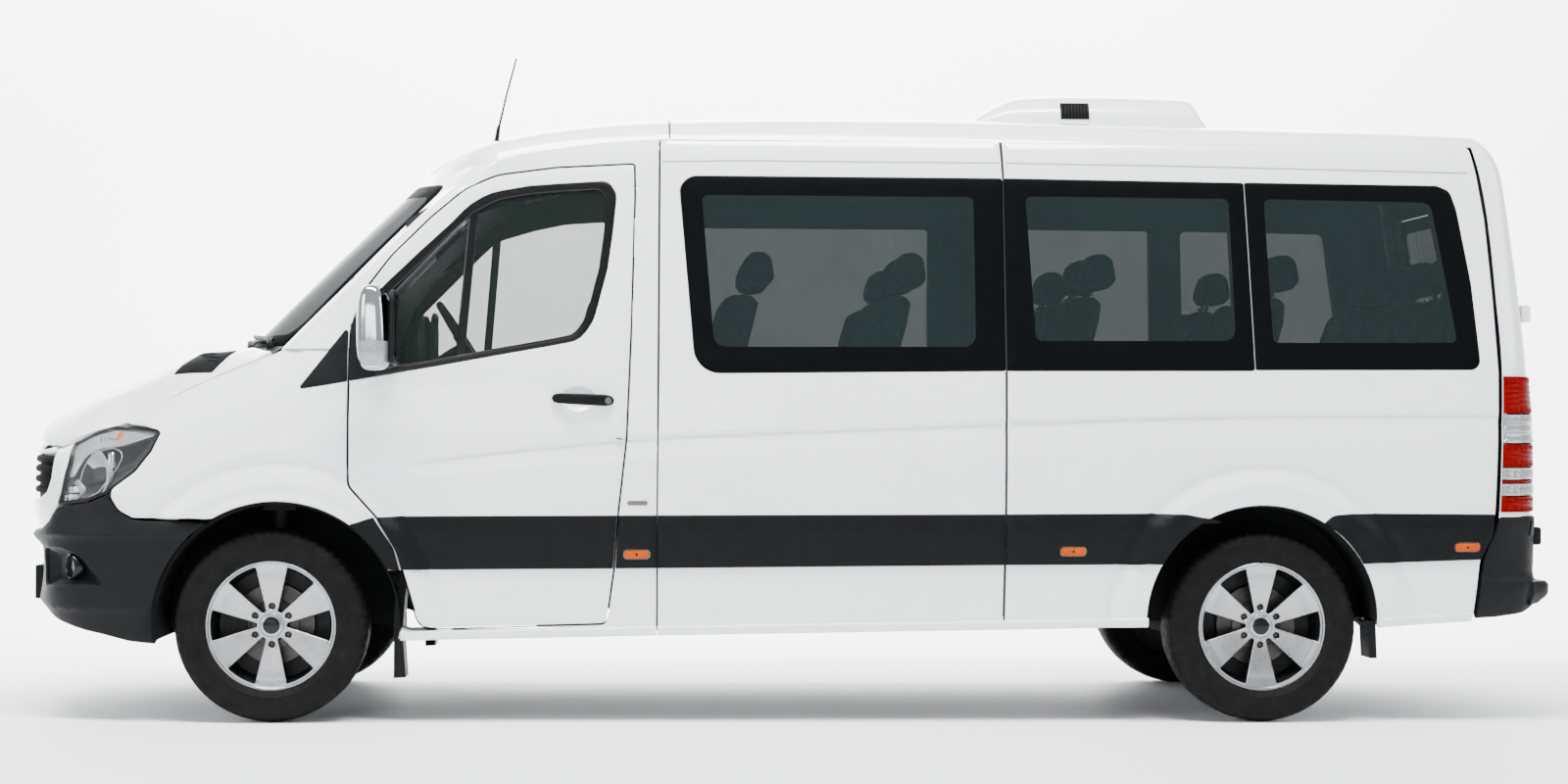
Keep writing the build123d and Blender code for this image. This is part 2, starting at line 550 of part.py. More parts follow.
# behind its skin, the door's box stands back from the door's edge
with BuildPart() as door_margin:
    add(door_zone)
    add(door_box_zone, mode=Mode.SUBTRACT)
    add(cabin_skin, mode=Mode.INTERSECT)

door_clear = side_prism(DOOR_CLEAR, 560, 1150)
with BuildPart() as front_left_door:
    add(cabin_shell.part)
    add(door_zone, mode=Mode.INTERSECT)
    add(door_margin.part, mode=Mode.SUBTRACT)
    add(door_clear, mode=Mode.SUBTRACT)

with BuildPart() as front_right_door:
    mirror(front_left_door.part, about=Plane.XZ)

with BuildPart() as front_left_glass:
    add(cabin_volume(22, 22))
    add(cabin_volume(28, 28), mode=Mode.SUBTRACT)
    add(door_clear, mode=Mode.INTERSECT)

with BuildPart() as front_right_glass:
    mirror(front_left_glass.part, about=Plane.XZ)

# door mirror: a rounded shell on a short arm from the door's corner
MIRROR = [(1563, 1310), (1562, 1480), (1551, 1580), (1530, 1600), (1475, 1600), (1457, 1580), (1448, 1440), (1446, 1310)]
with BuildPart() as left_mirror:
    add(side_prism(MIRROR, 1010, 1206))
    fillet(left_mirror.edges().filter_by(Axis.Y), 18)
    chamfer(left_mirror.faces().sort_by(Axis.Y)[-1].edges(), 14)
    with Locations((1510, 990, 1352)):
        Box(80, 76, 56)
    add(cabin_outer, mode=Mode.SUBTRACT)

with BuildPart() as right_mirror:
    mirror(left_mirror.part, about=Plane.XZ)

# ---------------------------------------------------------------- body sides, roof and tail
print("body")
with BuildPart() as roof_panel:
    add(cabin_shell.part)
    add(roof_zone.part, mode=Mode.INTERSECT)

with BuildPart() as pane_layer:
    add(cabin_outer)
    add(cabin_rebate, mode=Mode.SUBTRACT)
with BuildPart() as glass_layer:
    add(cabin_outer)
    add(cabin_pane, mode=Mode.SUBTRACT)

with BuildPart() as window_cut:
    for pane, clear in PANES:
        add(side_prism(clear, 560, 1150))
with BuildPart() as pane_zone:
    for pane, clear in PANES:
        add(side_prism(pane, 560, 1150))
with BuildPart() as rebate:
    add(pane_layer.part)
    add(pane_zone.part, mode=Mode.INTERSECT)

with BuildPart() as left_side_panel:
    add(cabin_shell.part)
    add(side_prism(PANEL, 780, 1150), mode=Mode.INTERSECT)
    add(window_cut.part, mode=Mode.SUBTRACT)
    add(rebate.part, mode=Mode.SUBTRACT)

with BuildPart() as sliding_door:
    mirror(left_side_panel.part, about=Plane.XZ)

with BuildPart() as left_rear_quarter:
    add(cabin_shell.part)
    add(side_prism(QUARTER, 780, 1150), mode=Mode.INTERSECT)
    add(window_cut.part, mode=Mode.SUBTRACT)
    add(rebate.part, mode=Mode.SUBTRACT)
    add(rear_arch, mode=Mode.SUBTRACT)

with BuildPart() as right_rear_quarter:
    mirror(left_rear_quarter.part, about=Plane.XZ)

with BuildPart() as side_windows:
    add(glass_layer.part)
    add(pane_zone.part, mode=Mode.INTERSECT)
    mirror(about=Plane.XZ)

# tail: what the quarters, the roof, the lamps, the doors and the bumper leave of the shell
LAMP_X, LAMP_Y, LAMP_LOW, LAMP_TOP = -2678.0, 822.0, 781.0, 1291.0
lamp_cut = block(-2900, LAMP_X, LAMP_Y, 1100, LAMP_LOW, LAMP_TOP)
with BuildPart() as tail_lamps:
    add(cabin_shell.part)
    add(lamp_cut, mode=Mode.INTERSECT)
    mirror(about=Plane.XZ)

with BuildPart() as rear_frame:
    add(cabin_shell.part)
    add(block(-2900, -2560, -1150, 1150, 776, ROOF_SPLIT), mode=Mode.INTERSECT)
    add(side_prism(QUARTER, 560, 1150, 2), mode=Mode.SUBTRACT)
    add(side_prism(QUARTER, -1150, -560, 2), mode=Mode.SUBTRACT)
    add(block(-2900, -2640, -REAR_DOOR_Y - GAP, REAR_DOOR_Y + GAP, 600, REAR_DOOR_TOP + GAP), mode=Mode.SUBTRACT)
    add(lamp_cut, mode=Mode.SUBTRACT)
    mirror(lamp_cut, about=Plane.XZ, mode=Mode.SUBTRACT)

rear_layer = side_prism([(x + GLASS_T if x < 0 else x, z) for x, z in REAR_FACE], -1150, 1150)
rear_rebate = side_prism([(x + REBATE if x < 0 else x, z) for x, z in REAR_FACE], -1150, 1150)
rear_skin = side_prism([(x + DOOR_SKIN if x < 0 else x, z) for x, z in REAR_FACE], -1150, 1150)
y0, y1, z0, z1 = REAR_PANE
rear_pane = block(-2900, -2640, y0, y1, z0, z1)
y0, y1, z0, z1 = REAR_CLEAR
rear_clear = block(-2900, -2600, y0, y1, z0, z1)
with BuildPart() as rear_pane_zone:
    add(rear_pane)
    add(rear_rebate, mode=Mode.SUBTRACT)
with BuildPart() as rear_edge:
    add(block(-2900, -2640, 0, 6 + DOOR_STEP, REAR_DOOR_LOW, REAR_DOOR_TOP))
    add(rear_skin, mode=Mode.INTERSECT)
with BuildPart() as rear_left_door:
    add(cabin_shell.part)
    add(block(-2900, -2640, 6, REAR_DOOR_Y, REAR_DOOR_LOW, REAR_DOOR_TOP), mode=Mode.INTERSECT)
    # behind the skin the door's box stands back from the middle edge
    add(rear_edge.part, mode=Mode.SUBTRACT)
    add(rear_clear, mode=Mode.SUBTRACT)
    add(rear_pane_zone.part, mode=Mode.SUBTRACT)

with BuildPart() as rear_right_door:
    mirror(rear_left_door.part, about=Plane.XZ)

with BuildPart() as rear_left_glass:
    add(rear_pane)
    add(rear_outer, mode=Mode.INTERSECT)
    add(rear_layer, mode=Mode.SUBTRACT)

with BuildPart() as rear_right_glass:
    mirror(rear_left_glass.part, about=Plane.XZ)

with BuildPart() as rear_bumper:
    add(cabin_shell.part)
    add(side_prism([(-2900, 773), (-2600, 756), (-2586, 404), (-2900, 404)], -1150, 1150), mode=Mode.INTERSECT)
    add(block(-2900, -2640, -REAR_DOOR_Y - GAP, REAR_DOOR_Y + GAP, REAR_DOOR_LOW - GAP, 800), mode=Mode.SUBTRACT)
    # step under the doors
    add(side_prism([(-2826, 430), (-2852, 436), (-2886, 462), (-2894, 476), (-2894, 508), (-2884, 520), (-2826, 528)], -860, 860))
    # beams to the frame rails
    with Locations((-2740, 435, 500), (-2740, -435, 500)):
        Box(80, 60, 60)

with BuildPart() as roof_air_conditioner:
    add(side_prism(AIR_CONDITIONER, -520, 520))
    chamfer(roof_air_conditioner.faces().filter_by(Axis.Y).edges().filter_by(lambda e: e.center().Z > 2290), 40)
    add(cabin_outer, mode=Mode.SUBTRACT)

with BuildPart() as antenna:
    with BuildSketch(Plane(origin=(1150, 600, 2060), x_dir=(0, 1, 0), z_dir=(-0.26, 0, 0.966))):
        Circle(16)
    extrude(amount=110, taper=4)
    with BuildSketch(Plane(origin=(1150, 600, 2060), x_dir=(0, 1, 0), z_dir=(-0.26, 0, 0.966))):
        Circle(4)
    extrude(amount=440)
    add(cabin_outer, mode=Mode.SUBTRACT)

with BuildPart() as mud_flaps:
    for y0, y1 in [(745, 885), (-885, -745)]:
        add(side_prism(FRONT_FLAP, y0, y1))
        add(side_prism(REAR_FLAP, y0, y1))

# ---------------------------------------------------------------- inside
print("inside")
with BuildPart() as dashboard:
    add(side_prism(DASH, -880, 880))
    add(cabin_space.part, mode=Mode.INTERSECT)
    for side in (1, -1):                                                 # clear of the wings
        with Locations((1800, side * 900, 1200)):
            Box(400, 400, 1200, mode=Mode.SUBTRACT)
    hx, hy, hz = STEERING_HUB
    with Locations(Location((hx, hy, hz), (0, 90 + STEERING_TILT, 0))):
        Cylinder(42, 900, mode=Mode.SUBTRACT)

wheel_plane = Plane(origin=STEERING_HUB, x_dir=(0, 1, 0), z_dir=(-0.84, 0, 0.5425))
RIM_RING, RIM_WIRE = 190.0, 15.0
# spokes of the steering wheel, columns: centre x, centre y, length x, length y in its own plane
SPOKE_BARS = [(110, 0, 150, 34), (-110, 0, 150, 34), (0, -110, 34, 150)]
with BuildPart() as steering_wheel:
    with BuildSketch(Plane(origin=wheel_plane.origin + wheel_plane.x_dir * RIM_RING, x_dir=wheel_plane.x_dir,
                           z_dir=wheel_plane.y_dir)):
        Circle(RIM_WIRE)
    revolve(axis=Axis(wheel_plane.origin, wheel_plane.z_dir))
    with BuildSketch(wheel_plane.offset(-14)):
        Circle(62)
        for cx, cy, lx, ly in SPOKE_BARS:
            with Locations((cx, cy)):
                Rectangle(lx, ly)
    extrude(amount=24)
    with BuildSketch(wheel_plane.offset(-10)):
        Circle(24)
    extrude(amount=-210)

# one seat in outline, its foot where the back meets the cushion: columns x forward of the foot, z above the floor
CUSHION = [(-20, 318), (-10, 430), (20, 446), (370, 462), (396, 446), (402, 400), (380, 330)]
BACK = [(-60, 340), (-205, 935), (-180, 965), (-95, 965), (-66, 940), (60, 446), (40, 340)]
HEADREST = [(-235, 972), (-262, 1010), (-250, 1090), (-222, 1112), (-178, 1112), (-150, 1085), (-132, 1010), (-150, 972)]
LEG = [(60, 0), (60, 340), (340, 340), (340, 0)]
SEAT_FOOT = 192.0            # from the middle of the headrest forward to the foot of the back
# columns: headrest x, then the y ranges of the seats in the row
FRONT_ROW = (616.0, [(215, 675), (-690, -270), (-262, 158)])
ROWS = [
    (115.0, [(450, 870), (20, 440)]),
    (-460.0, [(450, 870), (20, 440), (-870, -450)]),
    (-1180.0, [(450, 870), (20, 440), (-870, -450)]),
    (-1880.0, [(450, 870), (20, 440), (-870, -450)]),
    (-2540.0, [(450, 870), (20, 440), (-410, 10), (-840, -420)]),
]


def seat_at(foot_x, y0, y1):
    """One seat with its cushion, back, headrest and leg between y0 and y1."""
    inner, out = (y0, 1) if abs(y0) < abs(y1) else (y1, -1)
    leg = sorted((inner + out * 20, inner + out * 210))
    with BuildPart() as seat:
        for outline, ya, yb in ((CUSHION, y0, y1), (BACK, y0 + 6, y1 - 6), (HEADREST, y0 + 85, y1 - 85), (LEG, *leg)):
            add(side_prism([(foot_x + x, FLOOR_Z + z) for x, z in outline], ya, yb))
        # headrest posts
        middle = (y0 + y1) / 2
        for y in (middle - 60, middle + 60):
            with Locations((foot_x - 160, y, FLOOR_Z + 985)):
                Box(16, 16, 60)
    return seat.part


with BuildPart() as front_seats:
    for y0, y1 in FRONT_ROW[1]:
        add(seat_at(FRONT_ROW[0] + SEAT_FOOT, y0, y1))

with BuildPart() as passenger_seats:
    for head_x, places in ROWS:
        for y0, y1 in places:
            add(seat_at(head_x + SEAT_FOOT, y0, y1))

# ---------------------------------------------------------------- labels and files
print("files")
floor_pan.part.label = "floor_pan"
export_step(floor_pan.part, "parts/floor_pan.step")
chassis_frame.part.label = "chassis_frame"
export_step(chassis_frame.part, "parts/chassis_frame.step")
engine_block.part.label = "engine_block"
export_step(engine_block.part, "parts/engine_block.step")
front_suspension.part.label = "front_suspension"
export_step(front_suspension.part, "parts/front_suspension.step")
rear_axle.part.label = "rear_axle"
export_step(rear_axle.part, "parts/rear_axle.step")
leaf_springs.part.label = "leaf_springs"
export_step(leaf_springs.part, "parts/leaf_springs.step")
fuel_tank.part.label = "fuel_tank"
export_step(fuel_tank.part, "parts/fuel_tank.step")
exhaust.part.label = "exhaust"
export_step(exhaust.part, "parts/exhaust.step")
front_left_knuckle.part.label = "front_left_knuckle"
export_step(front_left_knuckle.part, "parts/front_left_knuckle.step")
front_right_knuckle.part.label = "front_right_knuckle"
export_step(front_right_knuckle.part, "parts/front_right_knuckle.step")
front_left_tyre.part.label = "front_left_tyre"
export_step(front_left_tyre.part, "parts/front_left_tyre.step")
front_right_tyre.part.label = "front_right_tyre"
export_step(front_right_tyre.part, "parts/front_right_tyre.step")
rear_left_tyre.part.label = "rear_left_tyre"
export_step(rear_left_tyre.part, "parts/rear_left_tyre.step")
rear_right_tyre.part.label = "rear_right_tyre"
export_step(rear_right_tyre.part, "parts/rear_right_tyre.step")
front_left_rim.part.label = "front_left_rim"
export_step(front_left_rim.part, "parts/front_left_rim.step")
front_right_rim.part.label = "front_right_rim"
export_step(front_right_rim.part, "parts/front_right_rim.step")
rear_left_rim.part.label = "rear_left_rim"
export_step(rear_left_rim.part, "parts/rear_left_rim.step")
rear_right_rim.part.label = "rear_right_rim"
export_step(rear_right_rim.part, "parts/rear_right_rim.step")
bonnet.part.label = "bonnet"
export_step(bonnet.part, "parts/bonnet.step")
left_wing.part.label = "left_wing"
export_step(left_wing.part, "parts/left_wing.step")
right_wing.part.label = "right_wing"
export_step(right_wing.part, "parts/right_wing.step")
headlamps.part.label = "headlamps"
export_step(headlamps.part, "parts/headlamps.step")
grille.part.label = "grille"
export_step(grille.part, "parts/grille.step")
front_bumper.part.label = "front_bumper"
export_step(front_bumper.part, "parts/front_bumper.step")
bumper_beam.part.label = "bumper_beam"
export_step(bumper_beam.part, "parts/bumper_beam.step")
cab_frame.part.label = "cab_frame"
export_step(cab_frame.part, "parts/cab_frame.step")
windscreen.part.label = "windscreen"
export_step(windscreen.part, "parts/windscreen.step")
front_left_door.part.label = "front_left_door"
export_step(front_left_door.part, "parts/front_left_door.step")
front_right_door.part.label = "front_right_door"
export_step(front_right_door.part, "parts/front_right_door.step")
front_left_glass.part.label = "front_left_glass"
export_step(front_left_glass.part, "parts/front_left_glass.step")
front_right_glass.part.label = "front_right_glass"
export_step(front_right_glass.part, "parts/front_right_glass.step")
left_mirror.part.label = "left_mirror"
export_step(left_mirror.part, "parts/left_mirror.step")
right_mirror.part.label = "right_mirror"
export_step(right_mirror.part, "parts/right_mirror.step")
roof_panel.part.label = "roof_panel"
export_step(roof_panel.part, "parts/roof_panel.step")
left_side_panel.part.label = "left_side_panel"
export_step(left_side_panel.part, "parts/left_side_panel.step")
sliding_door.part.label = "sliding_door"
export_step(sliding_door.part, "parts/sliding_door.step")
left_rear_quarter.part.label = "left_rear_quarter"
export_step(left_rear_quarter.part, "parts/left_rear_quarter.step")
right_rear_quarter.part.label = "right_rear_quarter"
export_step(right_rear_quarter.part, "parts/right_rear_quarter.step")
side_windows.part.label = "side_windows"
export_step(side_windows.part, "parts/side_windows.step")
tail_lamps.part.label = "tail_lamps"
export_step(tail_lamps.part, "parts/tail_lamps.step")
rear_frame.part.label = "rear_frame"
export_step(rear_frame.part, "parts/rear_frame.step")
rear_left_door.part.label = "rear_left_door"
export_step(rear_left_door.part, "parts/rear_left_door.step")
rear_right_door.part.label = "rear_right_door"
export_step(rear_right_door.part, "parts/rear_right_door.step")
rear_left_glass.part.label = "rear_left_glass"
export_step(rear_left_glass.part, "parts/rear_left_glass.step")
rear_right_glass.part.label = "rear_right_glass"
export_step(rear_right_glass.part, "parts/rear_right_glass.step")
rear_bumper.part.label = "rear_bumper"
export_step(rear_bumper.part, "parts/rear_bumper.step")
roof_air_conditioner.part.label = "roof_air_conditioner"
export_step(roof_air_conditioner.part, "parts/roof_air_conditioner.step")
antenna.part.label = "antenna"
export_step(antenna.part, "parts/antenna.step")
mud_flaps.part.label = "mud_flaps"
export_step(mud_flaps.part, "parts/mud_flaps.step")
dashboard.part.label = "dashboard"
export_step(dashboard.part, "parts/dashboard.step")
steering_wheel.part.label = "steering_wheel"
export_step(steering_wheel.part, "parts/steering_wheel.step")
front_seats.part.label = "front_seats"
export_step(front_seats.part, "parts/front_seats.step")
passenger_seats.part.label = "passenger_seats"
export_step(passenger_seats.part, "parts/passenger_seats.step")
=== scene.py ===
import bpy, bmesh, json, math
import numpy as np
from mathutils import Vector, Matrix
from mathutils.geometry import delaunay_2d_cdt


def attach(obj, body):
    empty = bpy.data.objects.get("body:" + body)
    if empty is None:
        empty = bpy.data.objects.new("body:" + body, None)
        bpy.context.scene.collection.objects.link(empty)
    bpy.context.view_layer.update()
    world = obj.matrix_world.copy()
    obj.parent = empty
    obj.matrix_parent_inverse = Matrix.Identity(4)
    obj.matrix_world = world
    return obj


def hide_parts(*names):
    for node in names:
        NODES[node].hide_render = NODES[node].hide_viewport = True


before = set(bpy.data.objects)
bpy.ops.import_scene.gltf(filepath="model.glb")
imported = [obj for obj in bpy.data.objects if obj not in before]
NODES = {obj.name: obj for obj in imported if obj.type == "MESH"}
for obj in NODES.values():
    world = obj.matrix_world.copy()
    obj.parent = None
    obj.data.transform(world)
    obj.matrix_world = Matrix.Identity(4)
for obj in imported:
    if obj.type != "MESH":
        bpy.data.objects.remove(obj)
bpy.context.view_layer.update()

MM = 0.001


# =====================================================================================================
# small maths
# =====================================================================================================
def pchip(xs, ys):
    """Monotone smooth interpolation through a short table; works on scalars and arrays."""
    xs, ys = np.asarray(xs, float), np.asarray(ys, float)
    order = np.argsort(xs)
    xs, ys = xs[order], ys[order]
    h = np.diff(xs)
    d = np.diff(ys) / h
    m = np.zeros(len(xs))
    for i in range(1, len(xs) - 1):
        if d[i - 1] * d[i] > 0:
            w1, w2 = 2 * h[i] + h[i - 1], h[i] + 2 * h[i - 1]
            m[i] = (w1 + w2) / (w1 / d[i - 1] + w2 / d[i])
    m[0], m[-1] = d[0], d[-1]

    def f(x):
        x = np.asarray(x, float)
        i = np.clip(np.searchsorted(xs, x) - 1, 0, len(h) - 1)
        t = (x - xs[i]) / h[i]
        lo, hi = t < 0, t > 1
        tc = np.clip(t, 0, 1)
        t2, t3 = tc * tc, tc * tc * tc
        v = ((2 * t3 - 3 * t2 + 1) * ys[i] + (t3 - 2 * t2 + tc) * h[i] * m[i]
             + (-2 * t3 + 3 * t2) * ys[i + 1] + (t3 - t2) * h[i] * m[i + 1])
        v = np.where(lo, ys[0] + (x - xs[0]) * m[0], v)
        return np.where(hi, ys[-1] + (x - xs[-1]) * m[-1], v)
    return f


def smooth(a, b, x):
    t = np.clip((np.asarray(x, float) - a) / (b - a), 0, 1)
    return t * t * (3 - 2 * t)


def lerp_table(table):
    xs = [r[0] for r in table]
    ys = [r[1] for r in table]
    def f(x):
        x = np.asarray(x, float)
        if xs[0] > xs[-1]:
            return np.interp(x, xs[::-1], ys[::-1])
        return np.interp(x, xs, ys)
    return f


def round_poly(points, step=22.0):
    """Closed outline of (a, b) or (a, b, radius) corners, its corners rounded and its sides divided."""
    n = len(points)
    out = []
    P = [np.array(p[:2], float) for p in points]
    R = [p[2] if len(p) > 2 else 0.0 for p in points]
    arcs = []
    for i in range(n):
        a, b, c = P[i - 1], P[i], P[(i + 1) % n]
        u, v = a - b, c - b
        lu, lv = np.linalg.norm(u), np.linalg.norm(v)
        u, v = u / lu, v / lv
        cosw = np.clip(np.dot(u, v), -1, 1)
        half = math.acos(cosw) / 2
        r = R[i]
        if r <= 0 or half > math.radians(89):
            arcs.append([b])
            continue
        t = min(r / math.tan(half), 0.48 * lu, 0.48 * lv)
        r = t * math.tan(half)
        s, e = b + u * t, b + v * t
        cdir = (u + v) / np.linalg.norm(u + v)
        centre = b + cdir * r / math.sin(half)
        a0 = math.atan2(*(s - centre)[::-1])
        a1 = math.atan2(*(e - centre)[::-1])
        d = (a1 - a0 + math.pi) % (2 * math.pi) - math.pi
        k = max(2, int(abs(d) / math.radians(12)))
        arcs.append([centre + r * np.array([math.cos(a0 + d * j / k), math.sin(a0 + d * j / k)]) for j in range(k + 1)])
    for i in range(n):
        out.extend(arcs[i])
        a, b = arcs[i][-1], arcs[(i + 1) % n][0]
        L = np.linalg.norm(b - a)
        k = int(L / step)
        for j in range(1, k + 1):
            if j / (k + 1.0) < 1:
                out.append(a + (b - a) * j / (k + 1))
    res = [out[0]]
    for p in out[1:]:
        if np.linalg.norm(p - res[-1]) > 0.4:
            res.append(p)
    if np.linalg.norm(res[0] - res[-1]) < 0.4:
        res.pop()
    return np.array(res)


def area2(p):
    x, y = p[:, 0], p[:, 1]
    return float(np.sum(x * np.roll(y, -1) - y * np.roll(x, -1)))


def offset_loop(p, d):
    """Moves a dense closed loop inwards by d."""
    if area2(p) < 0:
        return offset_loop(p[::-1], d)[::-1]
    a = np.roll(p, 1, 0)
    b = np.roll(p, -1, 0)
    t1 = p - a
    t2 = b - p
    t1 /= np.linalg.norm(t1, axis=1)[:, None] + 1e-9
    t2 /= np.linalg.norm(t2, axis=1)[:, None] + 1e-9
    n1 = np.stack([-t1[:, 1], t1[:, 0]], 1)
    n2 = np.stack([-t2[:, 1], t2[:, 0]], 1)
    m = n1 + n2
    m /= (np.sum(m * m, 1)[:, None] + 1e-9)
    m *= 2
    L = np.linalg.norm(m, axis=1)[:, None]
    m = np.where(L > 1.8, m / L * 1.8, m)
    return p + m * d


def inside(poly, pts):
    x, y = pts[:, 0], pts[:, 1]
    res = np.zeros(len(pts), bool)
    px, py = poly[:, 0], poly[:, 1]
    j = len(poly) - 1
    for i in range(len(poly)):
        c = ((py[i] > y) != (py[j] > y))
        if c.any():
            xi = (px[j] - px[i]) * (y - py[i]) / (py[j] - py[i] + 1e-30) + px[i]
            res ^= c & (x < xi)
        j = i
    return res


def poly_dist(poly, pts):
    """Distance of each point from a closed loop."""
    best = np.full(len(pts), 1e9)
    a = poly
    b = np.roll(poly, -1, 0)
    for i in range(len(a)):
        ab = b[i] - a[i]
        L = np.dot(ab, ab) + 1e-12
        t = np.clip(((pts - a[i]) @ ab) / L, 0, 1)
        d = pts - (a[i] + t[:, None] * ab)
        best = np.minimum(best, np.sum(d * d, 1))
    return np.sqrt(best)


# =====================================================================================================
# objects
# =====================================================================================================
def new_object(name, verts, faces, mats, body, index=None, smooth_shade=True, sharp=None, scale=MM):
    """A mesh object from millimetre vertices, riding on a body."""
    mesh = bpy.data.meshes.new(name)
    mesh.from_pydata([tuple(float(c) * scale for c in v) for v in verts], [], [tuple(int(i) for i in f) for f in faces])
    for m in mats:
        mesh.materials.append(m)
    if index is not None:
        mesh.polygons.foreach_set("material_index", np.asarray(index, np.int32))
    mesh.polygons.foreach_set("use_smooth", np.full(len(mesh.polygons), smooth_shade, bool))
    mesh.validate(clean_customdata=False)
    mesh.update()
    if sharp is not None:
        mesh.set_sharp_from_angle(angle=math.radians(sharp))
    obj = bpy.data.objects.new(name, mesh)
    bpy.context.scene.collection.objects.link(obj)
    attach(obj, body)
    return obj


class Bag:
    """Collects vertices and faces of many small pieces into one mesh."""
    def __init__(self):
        self.v, self.f, self.m = [], [], []

    def add(self, verts, faces, mat=0):
        o = len(self.v)
        self.v.extend([tuple(map(float, p)) for p in verts])
        for f in faces:
            self.f.append(tuple(int(i) + o for i in f))
            self.m.append(mat)

    def mirrored(self):
        b = Bag()
        b.v = [(x, -y, z) for x, y, z in self.v]
        b.f = [f[::-1] for f in self.f]
        b.m = list(self.m)
        return b

    def make(self, name, mats, body, smooth_shade=True, sharp=35, merge=None):
        o = new_object(name, self.v, self.f, mats, body, index=self.m, smooth_shade=smooth_shade, sharp=sharp)
        return o


def grid_faces(nu, nv, wrap_u=False, wrap_v=False, flip=False):
    """Faces of an nu by nv grid of vertices stored row by row."""
    F = []
    for i in range(nu if wrap_u else nu - 1):
        for j in range(nv if wrap_v else nv - 1):
            a = i * nv + j
            b = i * nv + (j + 1) % nv
            c = ((i + 1) % nu) * nv + (j + 1) % nv
            d = ((i + 1) % nu) * nv + j
            F.append((a, b, c, d) if not flip else (d, c, b, a))
    return F


def surface_normals(surf, A, B, e=0.6):
    """Unit normals of surf(a, b) -> (n, 3), by differences."""
    du = surf(A + e, B) - surf(A - e, B)
    dv = surf(A, B + e) - surf(A, B - e)
    n = np.cross(du, dv)
    n /= np.linalg.norm(n, axis=1)[:, None] + 1e-12
    return n


